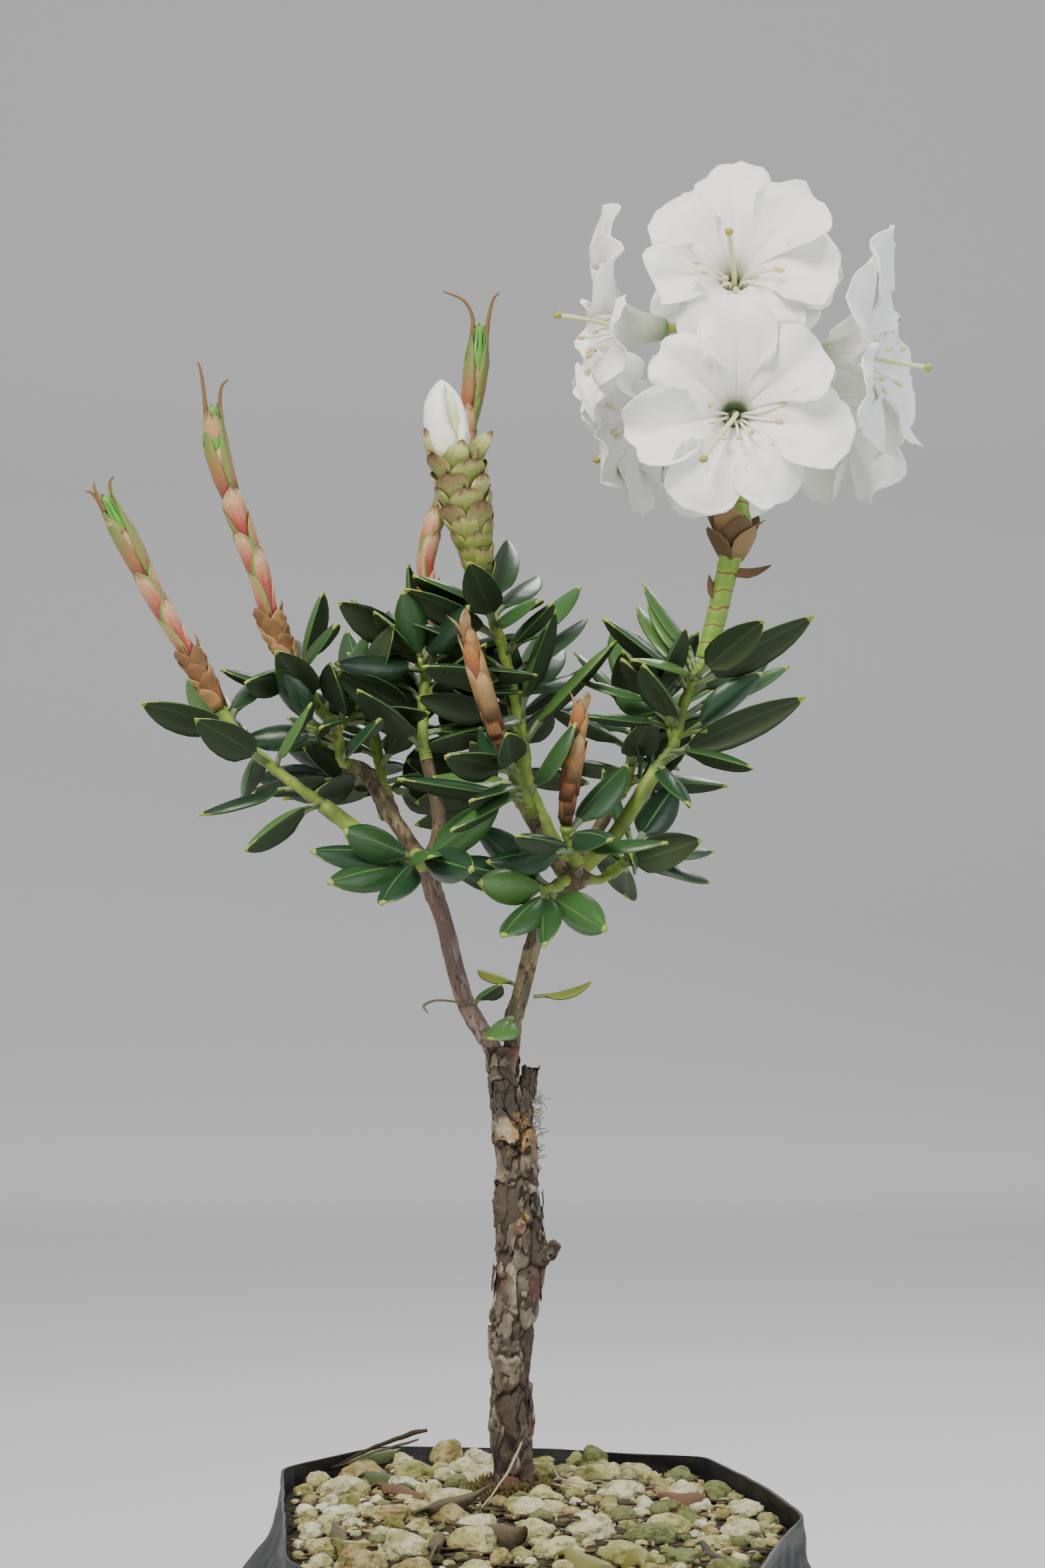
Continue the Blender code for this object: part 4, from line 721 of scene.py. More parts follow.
litter = {
    "mossTufts": 620,
    # fallen leaves: foot and tip as across, up in the photo, how high they lie, roll, width, curl, ink
    "leaves": (
        ((-50, 5.6), (-32.4, 2.6), 3.0, 0.3, 5.2, 0.05, 0), ((-56.6, 8.6), (-44, 14.4), 4.4, 0.5, 4.6, 0.05, 0),
        ((40.8, 0.4), (55.4, -0.8), 3.4, -0.2, 9.5, 0.04, 1), ((9.4, -17.4), (29.6, -22), 3.0, 0.2, 8.2, 0.1, 2),
        ((36.6, -21.5), (32.2, -14.0), 4.0, 0.0, 8.8, 0.1, 2), ((-31.6, -4.6), (-12.2, -1.4), 5.0, 0.9, 5.0, -0.25, 3),
        ((-27, -19), (-21.4, -5), 4.5, 0.5, 6.0, 0.3, 3), ((-20.6, -9.8), (3.4, -14.6), 4.2, 0.7, 6.5, -0.2, 3),
        ((-46, 2.2), (-24, -0.6), 2.4, -0.3, 6.5, 0.1, 1), ((10, -11), (22, -9), 2.0, 0.4, 6.0, 0.3, 4),
        ((52, -14), (60, -20), 2.4, 0.3, 6.0, 0.1, 4), ((-58, -9.5), (-50, -14), 2.0, -0.4, 4.5, 0.2, 3),
    ),
    # stalks and straws: places as across, up, back from the trunk's plane, then the thickness
    "stalks": (
        (((-0.6, 15.6, -9), (-5, 5.5, -18), (-12, -4, -32), (-20.2, -12.5, -52)), 0.5, 5),
        (((-29, 19.0, 30), (-38, 16.2, 40), (-50, 11.4, 52), (-61, 6.0, 60)), 0.95, 6),
        (((-31, 16.0, 34), (-42, 13.0, 44), (-56, 8.2, 56)), 0.55, 3),
        (((8, 8, 12), (14, 3.4, 0), (24, 2.2, -4), (34, 0.6, -8)), 0.35, 5),
        (((7, 3.6, 2), (16, 1.6, -6), (22, 3.8, -2), (28, 1.2, -8)), 0.3, 5),
        (((9, 6.0, 8), (18, 4.0, 10), (30, 4.4, 10), (42, 2.2, 4)), 0.4, 3),
        (((-8, -4, -20), (-14, -10, -34), (-15, -17, -50)), 0.7, 3),
        (((2, -6, -24), (8, -12, -36), (18, -13, -40)), 0.5, 3),
    ),
}


def makeLitter(shape):
    skins = [
        plainSkin("fallenLeafGreen", "47562A", 0.55, 500.0, 0.0004),
        plainSkin("fallenLeafRusset", "5C3F26", 0.75, 500.0, 0.0005),
        plainSkin("fallenLeafOlive", "6E6C32", 0.6, 500.0, 0.0004),
        plainSkin("curledLeafGrey", "5C523E", 0.85, 500.0, 0.0006),
        plainSkin("curledLeafDark", "3A342C", 0.85, 500.0, 0.0006),
        plainSkin("dryStraw", "A69878", 0.8, 700.0, 0.0003),
        plainSkin("deadLeafStalk", "3E3226", 0.85, 500.0, 0.0005),
    ]
    parts = []
    for (foot, tip, high, roll, width, curl, ink) in litter["leaves"]:
        ends = []
        for across, up in (foot, tip):
            place, _ = onSoil(across, up, 0.0, high)
            ends.append(place * mm)
        spot = {"foot": ends[0], "tip": ends[1], "up": Vector((0, 0, 1)), "roll": roll, "width": width}
        rolled = {**shape, "points": shape["points"] * ((0.75, 1, 3.6) if ink > 2 else (1, 1, 1.4))}
        part = laidLeaf(rolled, spot, 0, curl=curl, arch=0.12)
        wave = np.array([noise.noise(Vector(p) / mm * 0.16) for p in part["points"]])
        part["points"] = part["points"] + np.outer(wave * 1.6 * mm, (0, 0, 1))
        part["inks"] = [ink] * len(part["faces"])
        parts.append(part)
    for places, thick, ink in litter["stalks"]:
        path = smoothPath([placeAt(*p) for p in places], 6)
        for point in path:
            point.z = max(point.z, (soilLevel(point.x / mm, point.y / mm) + thick + 0.5) * mm)
        wobble = [p + noise.noise_vector(p / mm * 0.12) * 0.8 * mm for p in path]
        radii = [thick * mm * (1 - 0.75 * i / len(path)) * (0.6 + 0.4 * ramp(0, 3, i)) for i in range(len(path))]
        parts.append(tubePart(wobble, radii, 7, ink=ink))
    dress(joinParts("fallenLeavesAndStalks", parts), skins, "papery_bract")
    # the moss at the trunk's foot: short spikes, brown over olive
    moss = [
        plainSkin("mossBrown", "54401F", 0.9, 900.0, 0.0003),
        plainSkin("mossOlive", "5E5C26", 0.9, 900.0, 0.0003),
        plainSkin("mossDark", "43381C", 0.9, 900.0, 0.0003),
    ]
    rng, spikes = random.Random(17), []
    for i in range(litter["mossTufts"]):
        turn, away = rng.uniform(0, 2 * math.pi), 8.6 + abs(rng.gauss(0, 4.5))
        x, y = soil["foot"][0] + away * math.cos(turn), soil["foot"][1] + away * math.sin(turn)
        bank = 3.4 * math.exp(-((away - 9.5) / 4.0) ** 2)
        foot = Vector((x, y, soilLevel(x, y) + bank - 0.8)) * mm
        lean = Vector((rng.uniform(-0.7, 0.7), rng.uniform(-0.7, 0.7), 1)).normalized()
        long = rng.uniform(1.4, 3.2) * mm
        spikes.append(tubePart([foot, foot + lean * long * 0.5, foot + lean * long], [0.32 * mm, 0.26 * mm, 0.06 * mm], 4,
                               ink=rng.choice((0, 0, 1, 1, 2))))
    dress(joinParts("mossSpikes", spikes), moss, "potting_mix")
    print("litter and moss made")


# ---- bark

trunk = {
    # each station: up, across, radius
    "stations": (
        (0, -2.8, 8.6), (6, -2.8, 7.2), (28, -3.3, 6.5), (50, -2.8, 7.0), (68, -1.2, 7.8), (86, -1.2, 7.6),
        (98, -1.6, 5.9), (108, -2.4, 6.4), (117, -4.6, 5.4), (127, -5.8, 4.4), (134, -6.0, 5.8),
    ),
    "stub": ((-0.5, 100, 0), (0.8, 116, 0), (2.4, 126.6, 1)),
    "stubRadii": (3.2, 3.0, 2.4),
    "around": 160,
    "steps": 34,  # rows of mesh from one station to the next
    "plate": (7.5, 12.0),  # mm wide and tall
    "flakes": 95,
    "wisps": 46,
    # old branch scars: up, degrees round from the front, half width, how far they stand out
    "knots": (
        (107, -25, 4.2, 1.3), (72, 82, 3.4, 2.2), (42, -8, 3.2, 1.2), (88, -72, 5.0, 1.3), (126, -40, 3.6, 0.8),
        (64, 24, 3.4, 1.1), (56, -48, 3.0, 1.0), (24, 30, 3.2, 0.9), (80, 10, 3.0, 0.9), (48, 160, 3.6, 1.2),
        (90, 200, 4.0, 1.4), (20, -130, 3.4, 1.0),
    ),
    "branchStump": ((3.5, 69, -3), (7.6, 71.8, -4), (10.2, 75.2, -4.6)),
}


def plateAt(point, width, height, seed=0.0):
    # how high a plate of bark stands here, 0 in a crack to 1, and a number that is the plate's own
    where = Vector((point.x / width, point.y / width, point.z / height)) + Vector((seed, seed * 0.7, seed * 1.3))
    where += noise.noise_vector(where * 1.7) * 0.26
    distances, places = noise.voronoi(where)
    open_ = 0.05 + 0.12 * ramp(-0.4, 0.5, noise.noise(where * 0.9 + Vector((7, 3, 1))))
    edge = ramp(0.005, open_, distances[1] - distances[0])
    own = noise.cell(places[0] * 7.3 + Vector((0.5, 0.5, 0.5)))
    lean = noise.noise_vector(places[0] * 3.1)  # each plate lifts along one side
    return edge, own + (where - places[0]).dot(lean) * 1.5


def barkTube(name, path, radii, sides, relief, width, height, seed=0.0, knots=()):
    # a tube whose skin is raised in large plates and small ones, with scars where branches sat
    frames = framesAlong(path)
    rows = len(path) - 1

    def skin(u, v):
        j, i = round(u * sides) % sides, round(v * rows)
        _, side, other = frames[i]
        turn = 2 * math.pi * j / sides
        out = side * math.cos(turn) + other * math.sin(turn)
        point = path[i] + out * radii[i]
        edge, own = plateAt(point / mm, width, height, seed)
        smallEdge, smallOwn = plateAt(point / mm, width * 0.36, height * 0.34, seed + 9)
        rough = noise.fractal(point / mm * 0.5, 1.0, 2.0, 4)
        rise = (edge - 0.8) * 0.7 + (own - 0.5) * 1.1 + (smallEdge - 0.7) * 0.14 + (smallOwn - 0.5) * 0.4 + rough * 0.22
        rise *= relief
        for up, degrees, half, height_ in knots:
            angle = math.radians(degrees)
            centre = placeAt(0, up).z
            around = math.atan2(out.x, -out.y) - angle
            around = math.atan2(math.sin(around), math.cos(around)) * radii[i] / mm
            away = math.hypot(around, (point.z - centre) / mm * 1.15) / half
            if away < 2:
                rise += height_ * (math.exp(-away**2) + 0.28 * math.cos(away * 9) * math.exp(-away**2))
        return point + out * rise * mm

    return addGrid(name, sides, rows, skin)


def markPlates(ob, width, height, seed=0.0):
    # keeps each point's plate height and own number as attributes, read from the finished shape
    edges = ob.data.attributes.new("plateRise", "FLOAT", "POINT")
    tones = ob.data.attributes.new("plateTone", "FLOAT", "POINT")
    for i, vertex in enumerate(ob.data.vertices):
        edge, own = plateAt(vertex.co / mm, width, height, seed)
        smallEdge, smallOwn = plateAt(vertex.co / mm, width * 0.36, height * 0.34, seed + 9)
        edges.data[i].value = min(edge, 0.55 + 0.45 * smallEdge)
        tones.data[i].value = own * 0.65 + smallOwn * 0.35


def barkMaterial(name, stops, scale, rough, crack="2A221A", patches=(), depth=0.0007):
    bark, tree, shader = newMaterial(name, stops[1][1], rough)
    place = addNode(tree, "TexCoord").outputs["Object"]
    tone = addNode(tree, "Attribute", {"attribute_name": "plateTone"})
    rise = addNode(tree, "Attribute", {"attribute_name": "plateRise"})
    stretch = addNode(tree, "Mapping", {"Scale": (1, 1, 0.5)}, {"Vector": place})
    fine = addNode(tree, "TexNoise", {"Scale": scale, "Detail": 8.0, "Roughness": 0.66},
                   {"Vector": stretch.outputs["Vector"]})
    shift = addNode(tree, "Math", {"operation": "MULTIPLY_ADD", 1: 0.62, 2: -0.06}, {0: tone.outputs["Fac"]})
    mixed = addNode(tree, "Math", {"operation": "MULTIPLY_ADD", 1: 0.5}, {0: fine.outputs["Fac"], 2: shift.outputs[0]})
    tint = addNode(tree, "ValToRGB", {"stops": stops}, {"Fac": mixed.outputs[0]})
    colour = tint.outputs["Color"]
    for size, low, high, shade, centre, reach in patches:
        spot = addNode(tree, "TexNoise", {"Scale": size, "Detail": 5.0, "Roughness": 0.6}, {"Vector": place})
        value = spot.outputs["Fac"]
        if centre:  # the patch is strongest near one place
            shifted = addNode(tree, "Mapping", {"vector_type": "TEXTURE", "Location": centre, "Scale": (reach,) * 3},
                              {"Vector": place})
            ball = addNode(tree, "TexGradient", {"gradient_type": "SPHERICAL"}, {"Vector": shifted.outputs["Vector"]})
            value = addNode(tree, "Math", {"operation": "MULTIPLY_ADD", 1: 0.5}, {0: ball.outputs["Fac"], 2: value}).outputs[0]
        mask = addNode(tree, "MapRange", {"From Min": low, "From Max": high}, {"Value": value})
        colour = addNode(tree, "MixRGB", {"Color2": hexColour(shade)},
                         {"Fac": mask.outputs["Result"], "Color1": colour}).outputs["Color"]
    # darker in the cracks: partly the bark's own darker colour there, partly painted shade of the cracks' depth
    crackToneAndShade = addNode(tree, "ValToRGB", {"stops": ((0.0, crack), (0.3, "9A9184"), (0.6, "FFFFFF"))},
                     {"Fac": rise.outputs["Fac"]})
    dark = addNode(tree, "MixRGB", {"blend_type": "MULTIPLY", "Fac": 0.92},
                   {"Color1": colour, "Color2": crackToneAndShade.outputs["Color"]})
    tree.links.new(dark.outputs["Color"], shader.inputs["Base Color"])
    bump = addNode(tree, "Bump", {"Strength": 0.9, "Distance": depth}, {"Height": fine.outputs["Fac"]})
    tree.links.new(bump.outputs["Normal"], shader.inputs["Normal"])
    return bark


def makeTrunk():
    stations = trunk["stations"]
    path = smoothPath([placeAt(across, up) for up, across, _ in stations], trunk["steps"])
    radii = spreadRadii([r for _, _, r in stations], len(path))
    foot = path[0].z
    for point in path:  # the foot is cut level on the mix
        point.z = max(point.z, foot + plant["gap"] * mm)
    width, height = trunk["plate"]
    tube = barkTube("trunkBark", path, radii, trunk["around"], 0.85, width, height, knots=trunk["knots"])
    closeUp(tube)
    pieces = [tube]
    stubPath = smoothPath([placeAt(*p) for p in trunk["stub"]], 24)
    stub = barkTube("stub", stubPath, spreadRadii(trunk["stubRadii"], len(stubPath)), 60, 0.8, 3.0, 12.0, 3.0)
    for vertex in stub.data.vertices:  # a torn top
        rise = ramp(0.6, 1.0, (vertex.co.z - stubPath[0].z) / (stubPath[-1].z - stubPath[0].z))
        vertex.co.z += rise * noise.noise(vertex.co / mm * 0.5) * 4 * mm
    closeUp(stub)
    pieces.append(stub)
    stumpPath = smoothPath([placeAt(*p) for p in trunk["branchStump"]], 12)
    stump = barkTube("stump", stumpPath, spreadRadii((3.4, 2.3, 1.7), len(stumpPath)), 48, 0.5, 2.5, 5.0, 6.0)
    closeUp(stump)
    pieces.append(stump)
    pickOut(tube)
    for piece in pieces[1:]:
        piece.select_set(True)
    bpy.ops.object.join()
    markPlates(tube, width, height)
    wood = tuple(placeAt(0, 107, -6))
    # rhododendron bark, grown: grey plates that peel, red-brown where one has dropped, tan wood at a scar
    old = barkMaterial("peelingOldBark", (
        (0.2, "4A4034"), (0.36, "62584A"), (0.5, "786E5E"), (0.66, "8F8673"), (0.84, "ABA38E"),
    ), 300.0, 0.88, patches=(
        (70.0, 0.55, 0.62, "64463A", None, 0), (240.0, 0.66, 0.8, "9A7E54", None, 0),
        (150.0, 0.74, 0.9, "3F3A33", tuple(placeAt(-5, 118, -5)), 0.014),
        (420.0, 0.76, 0.94, "86673C", wood, 0.015), (700.0, 0.84, 0.96, "A08252", wood, 0.013),
        (360.0, 0.84, 0.92, "241C14", tuple(placeAt(-2.8, 104.6, -6)), 0.009),
        (500.0, 0.84, 0.95, "9A7C4A", tuple(placeAt(0.2, 81.7, -7.6)), 0.006),
    ))
    dress(tube, [old], "old_bark", ["trunk"])
    makeFlakes(path, radii, old)
    print("trunk made")
    return old


def makeFlakes(path, radii, bark):
    # plates that have come loose and curl away at one side
    rng = random.Random(31)

    def curl(u, v):
        x, y = u - 0.5, v - 0.5
        edge = 1 - 0.3 * abs(2 * y) ** 3
        torn = 0.08 * math.sin(9 * x + 4 * y)
        wide = edge * (1 - 0.55 * v)  # the lower end is the wider
        return Vector((x * wide + torn * 0.4, y * (1 - 0.2 * (2 * x) ** 2) + torn, 0.16 * max(0.0, u - 0.35) ** 1.5 - 0.7 * x * x))

    flake = addGrid("flake", 5, 6, curl)
    applyModifier(flake, "SOLIDIFY", thickness=0.07, offset=0)
    shape = partOf(flake)
    frames = framesAlong(path)
    parts = []
    for i in range(trunk["flakes"]):
        k = rng.randrange(10, len(path) - 10)
        ahead, side, other = frames[k]
        turn = rng.uniform(0, 2 * math.pi)
        out = side * math.cos(turn) + other * math.sin(turn)
        across = ahead.cross(out) * rng.choice((-1, 1))
        across = (across + ahead * rng.uniform(-0.4, 0.4)).normalized()
        size = Vector((rng.uniform(2.4, 5.6), rng.uniform(3.0, 7.5), rng.uniform(1.2, 2.4)))
        frameHere = np.array([(across * size.x)[:], (ahead * size.y)[:], (out * size.z)[:]]) * mm
        points = shape["points"] @ frameHere + np.array((path[k] + out * (radii[k] + 0.05 * mm))[:])
        points += np.array([noise.noise_vector(Vector(p) / mm * 0.3)[:] for p in points]) * 0.5 * mm
        parts.append({**shape, "points": points})
    flakes = joinParts("barkFlakes", parts)
    markPlates(flakes, 6.0, 9.0, 5.0)
    dress(flakes, [bark], "old_bark")
    # grey lichen wisps behind the stub, and one dead thread of a stalk at the fork
    wisps = []
    for i in range(trunk["wisps"]):
        walk = [placeAt(rng.uniform(2.2, 3.8), rng.uniform(100, 120), rng.uniform(-1, 3))]
        way = Vector((rng.uniform(0.3, 1.0), rng.uniform(-0.3, 0.5), rng.uniform(-0.8, 0.8))).normalized()
        for _ in range(4):
            way = (way + noise.noise_vector(walk[-1] / mm * 1.3) * 1.6).normalized()
            walk.append(walk[-1] + way * rng.uniform(0.8, 1.7) * mm)
        wisps.append(tubePart(smoothPath(walk, 2), [0.15 * mm] * 8 + [0.07 * mm], 4))
    thread = smoothPath([placeAt(*p) for p in ((-14.4, 146.6, -2), (-20, 147.4, -5), (-26, 147.8, -7), (-29.6, 146.2, -8), (-28.4, 144, -8.4))], 5)
    wisps.append(tubePart(thread, spreadRadii((0.5, 0.35, 0.35, 0.5, 0.2), len(thread)), 6, ink=1))
    skins = [plainSkin("greyLichen", "7A766C", 0.95, 900.0, 0.0001), plainSkin("deadThread", "6A6250", 0.9, 900.0, 0.0002)]
    dress(joinParts("lichenWisps", wisps), skins, "old_bark")


hubLeft, hubRight = (-28.4, 187.5, 0.0), (15.4, 185.2, 0.0)
limbs = {
    "hubRadius": 5.0,
    "left": {
        "points": ((-7.0, 125, 0), (-9.1, 134, 0), (-11.6, 137.5, 0), (-17.8, 149.2, 0), (-23.2, 170, 0), (-26.6, 180, 0)),
        "radii": (2.2, 2.7, 2.8, 2.8, 2.6, 2.8), "hub": hubLeft, "node": "limb_left",
    },
    "right": {
        "points": ((-4.8, 125, 0), (-3.2, 134, 0), (-2.8, 142, 0), (-0.4, 150, 0), (4.2, 168, 0), (8.2, 176, 0), (11.4, 181, 0)),
        "radii": (2.2, 2.7, 2.7, 2.7, 2.6, 2.8, 2.9), "hub": hubRight, "node": "limb_right",
    },
}

# each bough: the knob it grows from, its places after that, its radii, and whether it is still green
boughs = {
    "bough_far_left": (hubLeft, ((-41, 192.6, -4), (-60, 206.4, -6)), (1.7, 2.6, 2.4), True),
    "bough_left": (hubLeft, ((-38.5, 202, 3), (-46, 214.5, 7), (-51.5, 218.5, 7)), (1.6, 2.4, 2.0), False),
    "bough_upper_left": (hubLeft, ((-25, 201, 7), (-29.2, 222, 8)), (1.7, 2.1, 1.8), False),
    "bough_low_left": (hubLeft, ((-30.5, 188.5, -13),), (1.6, 1.3), False),
    "bough_rear_left": (hubLeft, ((-35, 195, 17), (-41, 210, 28)), (1.7, 1.9, 1.7), False),
    "bough_centre": (hubRight, ((7.5, 199, 3), (1.5, 213, 9), (0.4, 223, 11)), (1.7, 2.2, 2.0), True),
    "bough_bud_upper": (hubRight, ((7, 192, -9), (2.5, 205, -20)), (1.5, 1.7, 1.5), False),
    "bough_bud_lower": (hubRight, ((16.6, 188.4, -9.5), (15.8, 190.5, -14)), (1.6, 1.8, 1.7), False),
    "bough_low_front": (hubRight, ((10, 182, -9),), (1.3, 1.2), True),
    "bough_low_right": (hubRight, ((23, 184, 5), (28, 187, 8)), (1.5, 1.4, 1.3), True),
    "bough_truss": (hubRight, ((27, 196.5, -2), (40.2, 217, 4)), (1.8, 2.3, 2.2), True),
    "bough_rear_right": (hubRight, ((22, 198, 15), (30, 211, 28)), (1.7, 1.9, 1.7), False),
    "bough_rear": (hubRight, ((12, 185.5, 15), (-1, 208, 32)), (1.6, 1.8, 1.6), False),
}


def makeLimbs():
    # thin young bark, grown: smooth and taupe on the left, greyer brown on the right, finely lined
    taupe = barkMaterial("smoothTaupeBark", (
        (0.2, "6A5850"), (0.45, "7C6A60"), (0.7, "8C7A70"), (0.9, "9E8E82"),
    ), 420.0, 0.7, crack="B4A89C", depth=0.0002)
    brown = barkMaterial("fineBrownBark", (
        (0.2, "5A4E3A"), (0.45, "716548"), (0.7, "85795A"), (0.9, "988C6C"),
    ), 420.0, 0.75, crack="A89C88", depth=0.0003)
    for side, bark in (("left", taupe), ("right", brown)):
        limb = limbs[side]
        path = smoothPath([placeAt(*p) for p in limb["points"]], 14)
        radii = spreadRadii(limb["radii"], len(path))
        length = 0.0
        for i, point in enumerate(path):  # swollen rings where leaves once sat
            length += (point - path[i - 1]).length / mm if i else 0.0
            radii[i] *= 1 + 0.12 * math.exp(-(((length % 13.0) - 6.0) / 0.7) ** 2)
        centre = placeAt(*limb["hub"])
        ahead = (centre - path[-1]).normalized()
        for offset in np.linspace(-0.85, 0.97, 26):
            path.append(centre + ahead * float(offset) * limbs["hubRadius"] * mm)
            radii.append(limbs["hubRadius"] * math.sqrt(1 - offset**2) * mm)
        radii = [sum(radii[max(0, i - 1):i + 2]) / len(radii[max(0, i - 1):i + 2]) for i in range(len(radii))]
        radii[-3:] = [radii[-4] * k for k in (0.8, 0.5, 0.2)]
        tube = barkTube(limb["node"].replace("limb_", "limbBark_"), path, radii, 64, 0.16, 2.6, 7.0, 2.0)
        closeUp(tube)
        markPlates(tube, 2.6, 7.0, 2.0)
        dress(tube, [bark], "young_bark", [limb["node"]])
    print("limbs made")
    return brown


def boughPath(name, inHub=False):
    hub, places, _, _ = boughs[name]
    points = [placeAt(*p) for p in places]
    out = (points[0] - placeAt(*hub)).normalized()
    start = 2.0 if inHub else limbs["hubRadius"] + plant["gap"]
    return smoothPath([placeAt(*hub) + out * start * mm] + points, 10 if inHub else 2)


stems = {
    "radii": (1.6, 1.7),
    "sides": 5,
    "straight": 3.0,
    "nodeEvery": 7.0,  # mm between the swellings where leaves sat
}


def greenStemMaterial():
    # soft young stem, grown: yellow-green under fine down, brown at its old leaf scars
    green, tree, shader = newMaterial("youngGreenStem", "7C9234", 0.5, {"Sheen Weight": 0.08})
    place = addNode(tree, "TexCoord").outputs["Object"]
    patch = addNode(tree, "TexNoise", {"Scale": 110.0, "Detail": 5.0}, {"Vector": place})
    tint = addNode(tree, "ValToRGB", {"stops": ((0.3, "56642A"), (0.48, "768E33"), (0.62, "8AA23E"), (0.72, "7A6238"))},
                   {"Fac": patch.outputs["Fac"]})
    tree.links.new(tint.outputs["Color"], shader.inputs["Base Color"])
    down = addNode(tree, "TexNoise", {"Scale": 1500.0, "Detail": 3.0}, {"Vector": place})
    bump = addNode(tree, "Bump", {"Strength": 0.5, "Distance": 0.0003}, {"Height": down.outputs["Fac"]})
    tree.links.new(bump.outputs["Normal"], shader.inputs["Normal"])
    return green


def makeBoughs(young, green):
    greens, browns = [], []
    for name, (_, _, radii, isGreen) in boughs.items():
        path = boughPath(name, inHub=True)
        wide = spreadRadii([radii[0] * 1.35, *radii[1:]], len(path))
        length, swell = 0.0, []
        for i, point in enumerate(path):
            length += (point - path[i - 1]).length / mm if i else 0.0
            ringed = math.exp(-(((length % stems["nodeEvery"]) - stems["nodeEvery"] / 2) / 0.7) ** 2)
            swell.append(wide[i] * (1 + 0.13 * ringed) + noise.noise(point / mm * 0.4) * 0.12 * mm)
        (greens if isGreen else browns).append(tubePart(path, swell, 16))
    brown = joinParts("boughsBrown", browns)
    markPlates(brown, 2.6, 5.0, 4.0)
    dress(brown, [young], "young_bark", [n for n, b in boughs.items() if not b[3]])
    dress(joinParts("boughsGreen", greens), [green], "green_stem", [n for n, b in boughs.items() if b[3]])
    print("boughs made")


# ---- leaves

leaf = {
    "width": 9.6,
    "stalk": 0.2,  # of its length
    "tries": 7,
    "clear": 0.35,
    "thick": 0.42,
    "reach": 52.0,
    # the outline: how far along, and half its width there
    "outline": (
        (0.0, 0.17), (0.12, 0.15), (0.19, 0.22), (0.25, 0.55), (0.33, 0.85), (0.43, 0.98), (0.55, 1.0),
        (0.67, 0.93), (0.78, 0.75), (0.88, 0.49), (0.95, 0.23), (1.0, 0.02),
    ),
    "plainOutline": (
        (0.0, 0.17), (0.18, 0.18), (0.27, 0.62), (0.4, 0.95), (0.54, 1.0), (0.7, 0.88), (0.85, 0.56),
        (0.955, 0.22), (1.0, 0.02),
    ),
    "columns": (-1.0, -0.8, -0.42, -0.055, 0.055, 0.42, 0.8, 1.0),
    "plainColumns": (-1.0, -0.6, 0.0, 0.6, 1.0),
    "recurve": 0.33,  # of its width that the edges hang
    "fuller": 1.16,  # how much wider the blades are than the solids' plain ones
    "veins": 7,
    "tones": ("24432A", "2E5029", "39612F", "1C3520", "4A6F35"),
}

